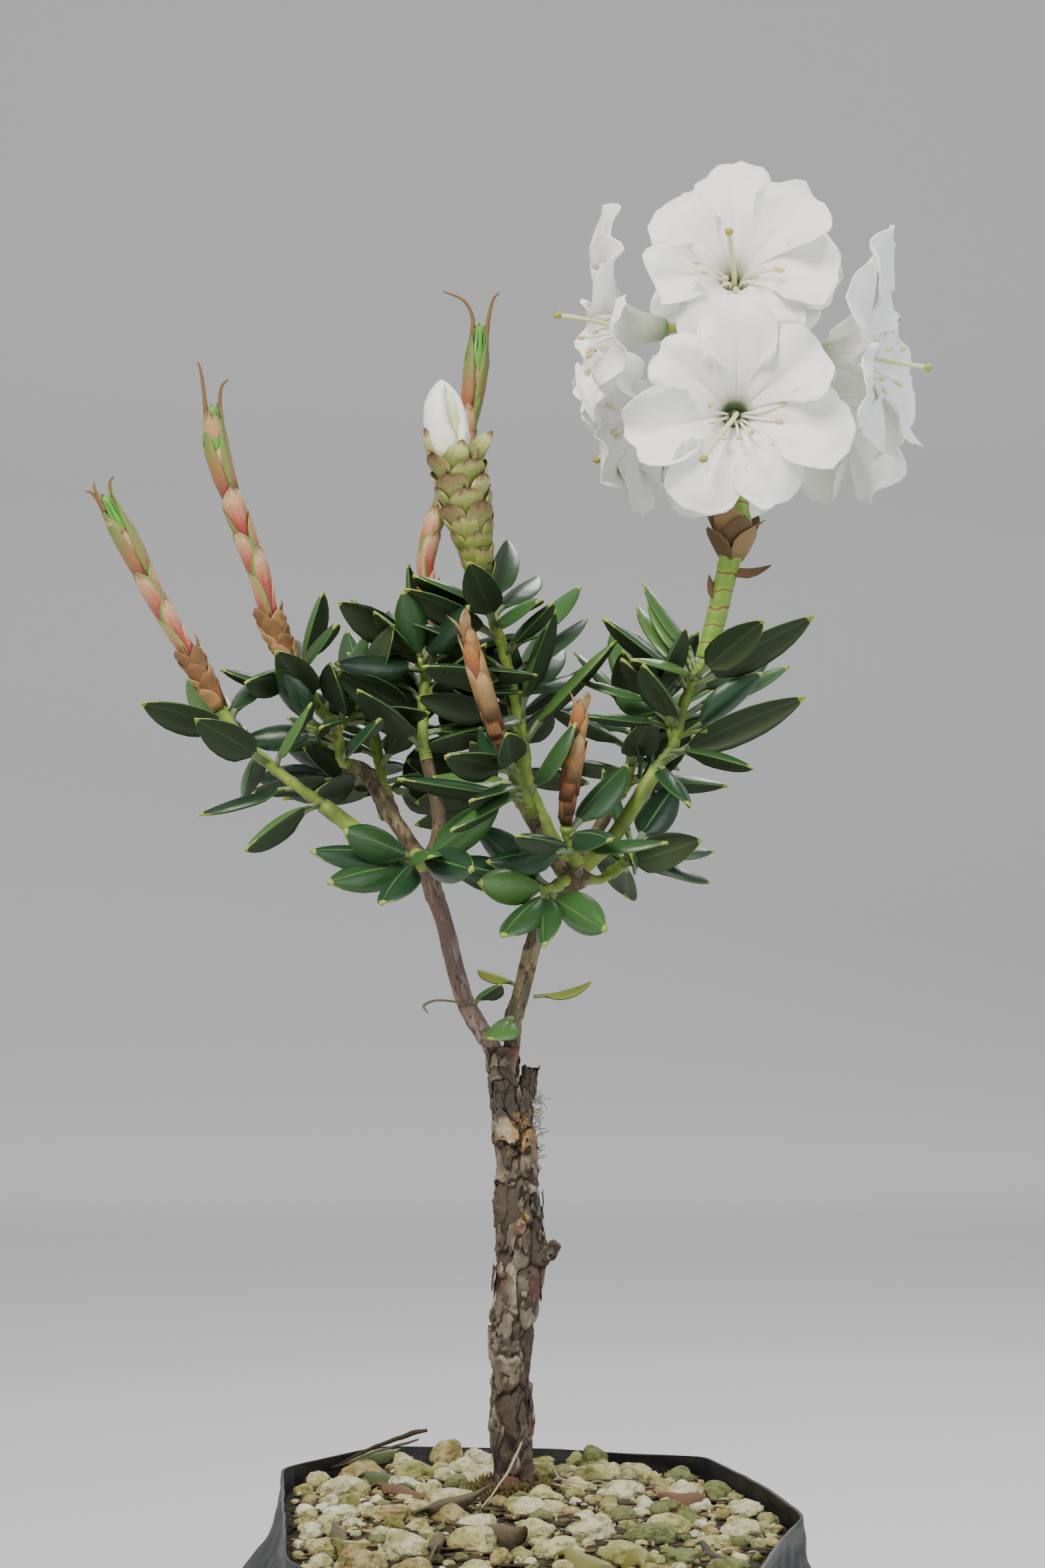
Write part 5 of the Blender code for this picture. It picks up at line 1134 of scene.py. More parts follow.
# Each mass: the bough it grows from, its stem, its leading leaves (place on the stem, across, up, front or
# back, roll), how many more, their length, and the seed
masses = {
    "leaves_far_left": (
        "bough_far_left", ((-74, 217, -7), (-84, 226, -9), (-90.6, 235.2, -10)),
        ((0.03, -22, -13, -1, 0.3), (0.5, -20, 13, -1, 0.0), (0.8, -27, 9, -1, 0.4),
         (0.85, -16, 15, 1, 0.0), (0.9, 6, 15, 1, 0.0), (0.6, -6, -14, 1, 0.0)), 4, 33, 11,
    ),
    "leaves_left": (
        "bough_left", ((-56.2, 229.4, 6), (-61.4, 236, 5), (-68.4, 247.4, 4)),
        ((0.25, -44, 11, -1, 0.5), (0.93, -26, 15, -1, 0.3), (0.9, -16, -1, -1, 0.4), (0.6, -12, 17, -1, 0.0),
         (0.95, 3, 21, 1, 0.0), (0.95, 12, 15, -1, 0.2), (0.1, 12, 12, -1, 0.4), (0.8, 14, 10, 1, 0.0)), 5, 33, 12,
    ),
    "leaves_upper_left": (
        "bough_upper_left", ((-29.8, 237.4, 10), (-28.6, 246, 12), (-26.8, 253.4, 13)),
        ((0.05, -19, 18, -1, 0.0), (0.5, -23, 16, 1, 0.0), (0.9, -12, 22, 1, 0.0),
         (0.9, -24, 19, 1, 0.3), (0.3, -22, 3, -1, 0.5), (0.6, -16, 20, 1, 0.2)), 6, 32, 13,
    ),
    "leaves_low_left": (
        "bough_low_left", ((-31.5, 190, -18), (-32, 192, -22)),
        ((0.5, -31, 4, -1, 0.3), (0.2, -26, -4, -1, 0.5), (0.1, -21, 4, 1, 0.4), (0.8, 16, -3, -1, 0.4),
         (0.6, -10, -12, -1, 0.4)), 3, 32, 14,
    ),
    "leaves_rear_left": (
        "bough_rear_left", ((-43, 220, 33), (-46, 234, 37)),
        ((0.95, -8, 28, 1, 0.0), (0.95, 6, 27, -1, 0.0), (0.6, -28, 10, 1, 0.0), (0.2, -24, -6, 1, 0.2)), 10, 33, 15,
    ),
    "leaves_centre": (
        "bough_centre", ((-1.6, 235, 11), (-4.5, 248, 9), (-8, 260, 8), (-11.4, 269.6, 7)),
        ((0.2, 5, 33, -1, 0.0), (0.72, -28, 15, -1, 0.5), (0.5, -33, 17, -1, 0.4), (0.42, -27, 11, -1, 0.3),
         (0.8, -8, 19, -1, 0.0), (0.86, 14, 14, 1, 0.0), (0.8, 13, 7, -1, 0.2), (0.6, 23, 22, 1, 0.1),
         (0.45, 24, 24, 1, 0.0), (0.05, 27, 31, -1, 0.3), (0.9, 5, 23, 1, 0.0), (0.3, 14, 19, 1, 0.0)), 6, 34, 16,
    ),
    "leaves_bud_upper": (
        "bough_bud_upper", ((-1, 213, -24), (-4.6, 219.4, -26)),
        ((0.2, -38, 7, -1, 0.5), (0.8, -20, 5, -1, 0.5), (0.9, -14, 24, 1, 0.0), (0.5, -15, -4, -1, 0.3),
         (0.4, -22, -10, -1, 0.4)), 3, 32, 17,
    ),
    "leaves_bud_lower": (
        "bough_bud_lower", ((14.2, 195.4, -19.5), (12.9, 200.2, -23)),
        ((0.5, -28, 17, -1, 0.7), (0.3, -17, 6, -1, 0.5), (0.9, -8, 23, -1, 0.2), (0.9, 21, 15, -1, -0.6),
         (0.4, 28, 2, -1, -0.6), (0.8, 18, 21, 1, 0.0)), 2, 31, 18,
    ),
    "leaves_low_front": (
        "bough_low_front", ((8.5, 181, -14), (7, 180, -18)),
        ((0.7, -14, -12, -1, 0.5), (0.5, -20, 3, -1, 0.3), (0.3, -31, 9, -1, 0.4), (0.9, 16, -10, -1, -0.3)), 2, 30, 19,
    ),
    "leaves_low_right": (
        "bough_low_right", ((32, 191, 10), (34, 195, 10)),
        ((0.2, 24, 8, -1, -0.4), (0.9, 14, 20, 1, 0.0), (0.5, 26, -6, 1, 0.0), (0.3, 2, -10, 1, 0.0)), 5, 30, 20,
    ),
    "leaves_truss": (
        "bough_truss", ((45.4, 224.6, 5), (48, 235.4, 5), (51.8, 244.6, 5), (54.4, 249.4, 5)),
        ((0.1, 42, 19, -1, -0.6), (0.75, 36, 22, -1, -0.6), (0.85, 20, 17, -1, -0.4), (0.85, 25, 20, 1, 0.0),
         (0.5, 33, 16, 1, 0.0), (0.4, -11, 19, -1, 0.0), (0.85, -20, 6, -1, 0.4), (0.75, -26, 22, -1, 0.2),
         (0.8, -15, 25, 1, 0.0), (0.92, -2, 26, 1, 0.0), (0.02, -28, 29, -1, 0.4), (0.05, 8, -12, -1, 0.0)), 5, 34, 21,
    ),
    "leaves_rear_right": (
        "bough_rear_right", ((33, 222, 33), (35, 236, 36)),
        ((0.95, -6, 28, 1, 0.0), (0.95, 12, 26, -1, 0.0), (0.6, 26, 12, 1, 0.0), (0.2, 24, -4, 1, 0.0)), 10, 33, 22,
    ),
    "leaves_rear": (
        "bough_rear", ((-3, 221, 38), (-5, 238, 42)),
        ((0.95, -12, 27, 1, 0.0), (0.95, 12, 27, 1, 0.0), (0.7, 24, 12, 1, 0.0), (0.7, -24, 12, 1, 0.0)), 10, 33, 23,
    ),
}

# single leaves low on the limbs: foot, tip, width, ink
forkLeaves = {
    "leaf_fork_front": ((-3.4, 143.5, -3.2), (-10, 136.5, -17), 9.5, 8),
    "leaf_fork_left": ((-14.7, 147.5, -2.4), (-6.5, 153, -12), 7.0, 6),
    "leaf_fork_back": ((-1.2, 152.5, 3.6), (-13.5, 157, 14), 6.0, 9),
    "leaf_fork_right": ((3.2, 149.5, 0.6), (20.6, 153.6, 3), 6.5, 9),
}

# Twigs that fill the crown out: how many each mass gets, their leaves, and the crown's outline that the photo
# shows, as across and up, which no filling leaf leaves
filling = {
    "twigs": 14,
    "leaves": 8,
    "tested": 0.7,  # share of a filling leaf's width that must stay clear
    "twigLength": (8, 20),
    "twigRadius": 0.75,
    "leafLength": (24, 31),
    "leafWidth": 8.2,
    "clear": 0.05,
    "foremost": -12.0,  # back from the trunk's plane
    "crown": (
        (-116, 233), (-108, 243), (-95, 260), (-79, 262), (-57, 274), (-50, 281), (-25, 281), (-6, 286), (16, 284),
        (24, 279), (36, 277), (52, 276), (78, 263), (88, 260), (87, 240), (50, 213), (44, 191), (31, 178), (-25, 177),
        (-46, 179), (-67, 186), (-62, 196), (-78, 206), (-84, 194), (-90, 220),
    ),
}


def placeOn(path, share):
    lengths = [(b - a).length for a, b in zip(path, path[1:])]
    left = share * sum(lengths)
    for a, b, length in zip(path, path[1:], lengths):
        if left <= length:
            return a.lerp(b, left / length), (b - a).normalized()
        left -= length
    return path[-1].copy(), (path[-1] - path[-2]).normalized()


def stemPath(mass):
    path = boughPath(mass[0])
    ahead = (path[-1] - path[-2]).normalized()
    first = [path[-1] + ahead * out * mm for out in (plant["gap"], stems["straight"])]
    return first + [placeAt(*p) for p in mass[1]]


def triedBlade(foot, tip, up, width, roll, grow):
    # the plain blade that is tried against its neighbours, as the solids' rule has it
    run = tip - foot
    ahead = run.normalized()
    level = Quaternion(ahead, roll) @ (up - ahead * up.dot(ahead)).normalized()
    across = level.cross(ahead)
    half = width / 2 + grow
    stations = (
        (0.0, 0.9 + grow, 0.5), (leaf["stalk"], 0.8 + grow, 0.4), (0.48, half, 0.07 * width), (0.78, half * 0.78, 0.06 * width),
    )
    points = []
    for along, reach, drop in stations:
        middle = foot + run * along + level * (0.1 * run.length * 2 * along * (1 - along))
        lower = level * (drop + grow) * mm
        points += [middle - across * reach * mm - lower, middle + level * (0.45 + grow) * mm,
                   middle + across * reach * mm - lower]
    points.append(tip + ahead * grow * mm)
    faces = [(0, 1, 2)]
    for i in range(3):
        faces += [(3 * i + j, 3 * (i + 1) + j, 3 * (i + 1) + (j + 1) % 3, 3 * i + (j + 1) % 3) for j in range(3)]
    faces += [(9 + j, 12, 9 + (j + 1) % 3) for j in range(3)]
    points = [tuple(p) for p in points]
    return BVHTree.FromPolygons(points, faces), BVHTree.FromPolygons(points, faces[4:])


def tryLeaf(foot, run, up, rng, own, others, middle, roll, width, clear):
    for attempt in range(leaf["tries"]):
        wobble = 0.0 if attempt == 0 else 0.06 + 0.05 * attempt
        axis = Vector((rng.uniform(-1, 1), rng.uniform(-1, 1), rng.uniform(-1, 1))).normalized()
        tip = foot + Quaternion(axis, rng.uniform(-1, 1) * wobble * 2) @ run
        if (tip - middle).length > leaf["reach"] * mm:
            continue
        twist = roll + rng.uniform(-1, 1) * wobble
        whole, blade = triedBlade(foot, tip, up, width, twist, clear)
        if any(whole.overlap(tree) for tree in others):
            continue
        if any(blade.overlap(tree) for tree, _ in own) or any(part and whole.overlap(part) for _, part in own):
            continue
        own.append(triedBlade(foot, tip, up, width, twist, 0.0))
        return {"foot": foot, "tip": tip, "up": up, "roll": twist, "width": width}
    return None


def lifted(run):
    # a leaf that would hang is held nearly level
    if run.z > -0.12 * run.length:
        return run
    return Vector((run.x, run.y, run.z * 0.25)).normalized() * run.length


def leafPart(outline, columns):
    # one leaf, modelled once: a blade with recurved edges and a sunk midrib, given its thickness
    alongs, halves = zip(*outline)
    across, along = len(columns) - 1, len(alongs) - 1

    def blade(u, v):
        share, i = columns[round(u * across)], round(v * along)
        hang = leaf["recurve"] * leaf["width"] * abs(share) ** 2.2 * halves[i]
        rib = 0.4 * (abs(share) < 0.1) * min(1.0, halves[i] * 2)
        return Vector((share * halves[i] * leaf["width"] / 2, alongs[i], -hang - rib))

    part = partOf(addGrid("leaf", across, along, blade))
    # the same again below, turned over, and a rim between them
    top, under = part["points"], part["points"].copy()
    under[:, 2] -= leaf["thick"] * np.where(under[:, 1] < 0.2, 2.4, 1.0) + 0.3 * (np.abs(under[:, 0]) < 0.3)
    start = len(top)
    faces = list(part["faces"]) + [tuple(reversed([i + start for i in face])) for face in part["faces"]]
    edges = {(a, b) for face in part["faces"] for a, b in zip(face, face[1:] + face[:1])}
    rim = [(b, a, a + start, b + start) for a, b in sorted(edges) if (b, a) not in edges]
    inks = []
    for side in (0, 1):
        for face in part["faces"]:
            y = top[list(face)].mean(0)[1]
            isRib = max(abs(u - 0.5) for u in part["mapped"][list(face)][:, 0]) < 0.08
            inks.append(4 if y < 0.17 else 3 if y > 0.96 else 10 + side if isRib else side)
    inks += [4 if top[a][1] < 0.17 else 3 if top[a][1] > 0.94 else 2 for _, a, _, _ in rim]
    mapped = np.concatenate([part["mapped"], part["mapped"]])
    return {"points": np.concatenate([top, under]), "faces": faces + rim, "inks": inks, "mapped": mapped}


def laidLeaf(shape, spot, ink, curl=0.0, arch=0.1):
    foot, tip = np.array(spot["foot"][:]), np.array(spot["tip"][:])
    run = spot["tip"] - spot["foot"]
    ahead = run.normalized()
    up = spot["up"]
    level = Quaternion(ahead, spot["roll"]) @ (up - ahead * up.dot(ahead)).normalized()
    across = np.array(level.cross(ahead)[:])
    level = np.array(level[:])
    x, y, z = shape["points"].T
    lift = arch * run.length * 2 * y * (1 - y) - curl * run.length * y**3
    grown = spot["width"] / leaf["width"] * leaf["fuller"] * mm
    points = foot + np.outer(y, tip - foot) + np.outer(-x * grown, across) + np.outer(lift + z * grown, level)
    inks = [ink if i == 0 else i for i in shape["inks"]]
    return {**shape, "points": points, "inks": inks}


def leafMaterials():
    # leathery evergreen leaf, grown: waxy top with sunk veins, dull below, a yellow horny edge and point
    made = []
    # the underside's colour is partly its own dull olive and partly painted shade: it is darkened for the shade the
    # undersides hang in
    plain = (("leafTop0", leaf["tones"][0]), ("leafBelow", "36452A"), ("leafEdge", "4A6A30"), ("leafPoint", "93A340"),
             ("leafStalk", "84946A"), ("leafTop1", leaf["tones"][1]), ("leafTop2", leaf["tones"][2]),
             ("leafTop3", leaf["tones"][3]), ("leafTop4", leaf["tones"][4]), ("leafYellowing", "A3AE4A"),
             ("leafRib", "4F7040"), ("leafRibBelow", "44563A"))
    for name, colour in plain:
        isTop = name.startswith("leafTop")
        skin, tree, shader = newMaterial(name, colour, 0.36 if isTop else 0.6, {"IOR": 1.45})
        if isTop:
            shader.inputs["Coat Weight"].default_value = 0.12
            shader.inputs["Coat Roughness"].default_value = 0.3
        where = addNode(tree, "UVMap")
        split = addNode(tree, "SeparateXYZ", {}, {"Vector": where.outputs["UV"]})
        aside = addNode(tree, "Math", {"operation": "SUBTRACT", 1: 0.5}, {0: split.outputs["X"]})
        aside = addNode(tree, "Math", {"operation": "ABSOLUTE"}, {0: aside.outputs[0]})
        slant = addNode(tree, "Math", {"operation": "MULTIPLY", 1: -3.2}, {0: aside.outputs[0]})
        phase = addNode(tree, "Math", {"operation": "MULTIPLY_ADD", 1: float(leaf["veins"]) * 1.15},
                        {0: split.outputs["Y"], 2: slant.outputs[0]})
        turns = addNode(tree, "Math", {"operation": "MULTIPLY", 1: 2 * math.pi}, {0: phase.outputs[0]})
        wave = addNode(tree, "Math", {"operation": "SINE"}, {0: turns.outputs[0]})
        place = addNode(tree, "TexCoord").outputs["Object"]
        net = addNode(tree, "TexNoise", {"Scale": 420.0, "Detail": 5.0, "Roughness": 0.6}, {"Vector": place})
        height = addNode(tree, "Math", {"operation": "MULTIPLY_ADD", 1: 0.16}, {0: wave.outputs[0], 2: net.outputs["Fac"]})
        bump = addNode(tree, "Bump", {"Strength": 0.4 if isTop else 0.3, "Distance": 0.0002},
                       {"Height": height.outputs[0]})
        tree.links.new(bump.outputs["Normal"], shader.inputs["Normal"])
        made.append(skin)
    return made


def treeOf(ob):
    return BVHTree.FromPolygons([tuple(v.co) for v in ob.data.vertices], [tuple(p.vertices) for p in ob.data.polygons])


def inCrown(point):
    # whether the place lies inside the crown's outline as the eye sees it
    spread = 1 + (point.y / mm - plant["trunkBack"]) / plant["eyeAway"]
    across = point.x / mm / spread
    up = plant["eyeUp"] - (plant["soilTop"] + plant["eyeUp"] - point.z / mm) / spread
    inside, outline = False, filling["crown"]
    for (x1, y1), (x2, y2) in zip(outline, outline[1:] + outline[:1]):
        if (y1 > up) != (y2 > up) and across < x1 + (up - y1) / (y2 - y1) * (x2 - x1):
            inside = not inside
    return inside


def fillMass(name, path, kept, placed, shape, rng):
    # finer twigs off a mass's stem, with leaves in a spiral, kept clear of all that is there
    parts, twigs = [], []
    start = rng.uniform(0, 2 * math.pi)
    middle = placeOn(path, 0.5)[0]
    foremost = (plant["trunkBack"] + filling["foremost"]) * mm
    others = [tree for key, tree in kept.items() if key != name]
    for k in range(filling["twigs"]):
        foot, ahead = placeOn(path, (k + 0.4) / filling["twigs"])
        side = Quaternion(ahead, start + k * goldenAngle) @ ahead.orthogonal().normalized()
        lean = math.radians(rng.uniform(38, 70))
        out = ahead * math.cos(lean) + side * math.sin(lean)
        end = foot + out * rng.uniform(*filling["twigLength"]) * mm
        twig = [foot, foot.lerp(end, 0.5) + ahead * 0.6 * mm, end]
        tube = tubePart(twig, spreadRadii((1.1, filling["twigRadius"], filling["twigRadius"]), 3), 6)
        tree = BVHTree.FromPolygons(tube["points"].tolist(), tube["faces"])
        if end.y < foremost or not inCrown(end) or any(tree.overlap(other) for other in others + placed):
            continue
        own, found = [(tree, None)], 0
        turn = rng.uniform(0, 2 * math.pi)
        for i in range(filling["leaves"]):
            share = 0.35 + 0.6 * (i + 0.5) / filling["leaves"]
            seat, along = placeOn(twig, share)
            turn += goldenAngle
            lean = math.radians(80 - 45 * share + rng.uniform(-10, 10))
            aside = Quaternion(along, turn) @ along.orthogonal().normalized()
            run = (along * math.cos(lean) + aside * math.sin(lean)) * rng.uniform(*filling["leafLength"]) * mm
            run = lifted(run)
            tip = seat + run
            if tip.y < foremost or not inCrown(tip):
                continue
            width = filling["leafWidth"] * rng.uniform(0.9, 1.1)
            spot = tryLeaf(seat, run, along, rng, own, others + placed, middle, 0.0, width * filling["tested"], filling["clear"])
            if spot and inCrown(spot["tip"]):
                spot["width"] = width
                parts.append(laidLeaf(shape, spot, rng.choice((0, 0, 5, 6, 7, 7)), curl=rng.uniform(0, 0.05)))
                found += 1
        if found:
            twigs.append(tube)
            placed.append(tree)
            placed += [whole for whole, _ in own[1:]]
    return parts, twigs


def makeLeaves(green, shape):
    skins = leafMaterials()
    plainLeaf = leafPart(leaf["plainOutline"], leaf["plainColumns"])
    kept = {name: treeOf(ob) for name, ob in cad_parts.items() if not name.startswith("lea")}
    placed, stemParts, total = [], [], 0
    forks = {}
    for name, (foot, tip, width, ink) in forkLeaves.items():
        spot = {"foot": placeAt(*foot), "tip": placeAt(*tip), "up": Vector((0, 0, 1)), "roll": 0.0, "width": width}
        placed.append(triedBlade(spot["foot"], spot["tip"], spot["up"], width, 0.0, 0.0)[0])
        forks[name] = laidLeaf(shape, spot, ink, arch=-0.06 if name.endswith("right") else 0.12)
    for pieceName, slot, names in (
        ("forkLeavesGreen", "leaf", ("leaf_fork_front", "leaf_fork_left")),
        ("forkLeavesYellowing", "yellow_leaf", ("leaf_fork_back", "leaf_fork_right")),
    ):
        dress(joinParts(pieceName, [forks[name] for name in names]), skins, slot, names)
    for name, mass in masses.items():
        path = stemPath(mass)
        part = tubePart(path, spreadRadii(stems["radii"], len(path)), stems["sides"])
        kept[name] = BVHTree.FromPolygons(part["points"].tolist(), part["faces"])
    leaves = {}
    for name, mass in masses.items():
        _, _, leading, more, length, seed = mass
        rng, tones = random.Random(seed), random.Random(seed + 100)
        path = stemPath(mass)
        others = [tree for key, tree in kept.items() if key != name] + placed
        own, spots = [(kept[name], None)], []
        middle = placeOn(path, 0.5)[0]
        for share, across, up, toward, roll in leading:
            foot, ahead = placeOn(path, share)
            flat = math.hypot(across, up)
            reach = max(length * 1.04, flat * 1.04)
            run = Vector((across, toward * math.sqrt(reach**2 - flat**2), up)) * mm
            spots.append(tryLeaf(foot, run, ahead, rng, own, others, middle, roll, leaf["width"], leaf["clear"]))
        turn = rng.uniform(0, 2 * math.pi)
        for i in range(more):
            share = 0.12 + 0.84 * (i + 0.5) / more
            foot, ahead = placeOn(path, share)
            side = ahead.orthogonal().normalized()
            turn += goldenAngle
            lean = math.radians(92 - 45 * share + rng.uniform(-8, 8))
            out = Quaternion(ahead, turn) @ side
            run = (ahead * math.cos(lean) + out * math.sin(lean)) * length * rng.uniform(0.82, 1.02) * mm
            width = leaf["width"] * rng.uniform(0.86, 1.02)
            spots.append(tryLeaf(foot, lifted(run), ahead, rng, own, others, middle, 0.0, width, leaf["clear"]))
        spots = [spot for spot in spots if spot]
        placed += [whole for whole, _ in own[1:]]
        leaves[name] = [laidLeaf(shape, spot, tones.choice((0, 0, 5, 5, 6, 7, 8)), curl=tones.uniform(0.0, 0.05))
                        for spot in spots]
        smooth = smoothPath([boughPath(mass[0])[-1] - (path[1] - path[0]).normalized() * 2 * mm] + path, 8)
        radii = spreadRadii((2.0, 1.7, 1.7, 1.9), len(smooth))
        stemParts.append(tubePart(smooth, [r * (1 + 0.1 * math.sin(i * 1.9)) for i, r in enumerate(radii)], 14))
        total += len(spots)
    first = total
    for name, mass in masses.items():
        more, twigs = fillMass(name, stemPath(mass), kept, placed, plainLeaf, random.Random(mass[-1] + 200))
        stemParts += twigs
        total += len(more)
        pieceName = "leafMass" + "".join(word.title() for word in name.split("_")[1:])
        dress(joinParts(pieceName, leaves[name] + more), skins, "leaf", [name])
    dress(joinParts("leafStems", stemParts), [green], "green_stem")
    print("leaves made,", first, "and", total - first, "on the finer twigs")


# ---- new shoots, cone and buds: scales laid up a core in a spiral

shoots = {
    "new_shoot_far_left": (
        ((-91.0, 236, -10), (-99, 250, -12), (-109, 267, -15), (-118, 285, -18), (-125.5, 299, -20)),
        (2.6, 3.6, 3.2, 3.4, 2.4),
    ),
    "new_shoot_left": (
        ((-69, 248.2, 4), (-75.5, 262, 4), (-79, 276, 3), (-85, 292, 2), (-91.5, 312, 1), (-93, 326, 0)),
        (3.0, 4.0, 3.6, 3.4, 3.4, 2.6),
    ),
    "new_shoot_upper": (
        ((-26.6, 254.4, 13.4), (-29, 270, 18), (-28, 286, 24), (-20, 306, 26), (-15.5, 325, 27), (-12.6, 350, 28)),
        (2.8, 3.4, 3.2, 3.4, 3.8, 2.6),
    ),
}
brownBuds = {
    "brown_bud_upper": (((-5.0, 220.4, -26.2), (-10, 235, -29), (-17.8, 261, -33)), (2.2, 4.0, 3.4, 1.2)),
    "brown_bud_lower": (((12.8, 201.2, -23.4), (15, 218, -26), (17.6, 236.6, -28)), (2.6, 4.0, 3.0, 1.2)),
}
cone = (((-11.8, 270.6, 6.8), (-14, 283, 6), (-17, 297, 5), (-19.4, 309, 4.6)), (3.6, 6.4, 7.2, 7.6))
flowerBud = ((-20.6, 308.9, 4.5), (-22.4, 318, 4.4), (-23.6, 326, 4.4), (-24.4, 334, 4.5))


def scalePart(name, outline, thick, columns=8, keel=0.0):
    # a scale modelled once, flat: outline gives how far along and half its width
    alongs, halves = zip(*outline)
    along = len(alongs) - 1

    def sheet(u, v):
        share, i = 2 * u - 1, round(v * along)
        return Vector((share * halves[i], alongs[i], keel * math.exp(-(share / 0.3) ** 2)))

    scale = addGrid(name, columns, along, sheet)
    # the map's length follows the scale, not its rows
    for loop, uv in zip(scale.data.loops, scale.data.uv_layers[0].data):
        uv.uv.y = scale.data.vertices[loop.vertex_index].co.y
    applyModifier(scale, "SOLIDIFY", thickness=thick, offset=0)
    return partOf(scale)


def placeAlong(path, away):
    # the place this far along a path, going straight on past its end
    for a, b in zip(path, path[1:]):
        length = (b - a).length
        if away <= length:
            return a.lerp(b, away / length), (b - a).normalized()
        away -= length
    ahead = (path[-1] - path[-2]).normalized()
    return path[-1] + ahead * away, ahead


def wrapScale(shape, path, away, side, radius, half, long, lift=0.0, bulge=0.0, curl=0.0, ink=0, belly=(0.8, 0.17)):
    # lays a scale round a path: it wraps the core, bulges below its tip and may curl out at the end
    rows, points = {}, []
    for x, y, z in shape["points"]:
        key = round(y, 3)
        if key not in rows:
            point, ahead = placeAlong(path, away + y * long * mm)
            out = (side - ahead * side.dot(ahead)).normalized()
            rows[key] = point, out, ahead.cross(out)
        point, out, across = rows[key]
        reach = max(radius + lift * y + bulge * math.exp(-(((y - belly[0]) / belly[1]) ** 2)) + curl * long * y**3, 0.5)
        angle = max(-2.6, min(2.6, x * half / max(radius + lift * y, 0.9)))
        points.append(point + (out * math.cos(angle) + across * math.sin(angle)) * (reach + z) * mm)
    return {**shape, "points": np.array([p[:] for p in points]), "inks": [ink] * len(shape["faces"])}


def laidScale(shape, foot, tip, face, width, depth, ink, curl=0.0, cup=0.4):
    run = tip - foot
    ahead = run.normalized()
    face = (face - ahead * face.dot(ahead)).normalized()
    across = ahead.cross(face)
    x, y, z = shape["points"].T
    bow = curl * run.length * y**3
    points = (np.array(foot[:]) + np.outer(y, run[:]) + np.outer(x * width * mm, across[:])
              + np.outer((z - cup * x**2) * depth * mm + bow, face[:]))
    return {**shape, "points": points, "inks": [ink] * len(shape["faces"])}


def sidesAlong(path, radii, first, last, step, start=0.0):
    # for each scale in the spiral: how far along it sits, the way out and the core's radius
    total = sum((b - a).length for a, b in zip(path, path[1:])) / mm
    _, ahead = placeAlong(path, 0)
    upright = ahead.orthogonal().normalized()
    away, i = first, 0
    while away < (total + last if last <= 0 else last):
        share = min(away / total, 1.0)
        radius = float(np.interp(share * (len(radii) - 1), range(len(radii)), radii))
        yield i, away, Quaternion(ahead, start + i * goldenAngle) @ upright, radius / mm
        away, i = away + step, i + 1


bracts = {
    # how far along, half the width
    "outline": ((0.0, 0.7), (0.25, 0.9), (0.5, 1.0), (0.66, 0.98), (0.78, 0.88), (0.87, 0.7), (0.93, 0.46), (0.97, 0.22), (1.0, 0.05)),
    "narrow": ((0.0, 0.8), (0.3, 1.0), (0.6, 0.86), (0.78, 0.6), (0.9, 0.34), (0.97, 0.16), (1.0, 0.06)),
    "step": 4.3,
    "half": 4.7,
    "lengths": (22, 27),
    "footBracts": 15,
    # awn tips in the trunk's plane, as across and up
    "awns": {
        "new_shoot_far_left": ((-131.0, 300.5), (-128.4, 303.4), (-122.6, 305.0)),
        "new_shoot_left": ((-97.6, 339.4), (-88.2, 334.0)),
        "new_shoot_upper": ((-23.8, 360.4), (-7.0, 360.0)),
    },
}


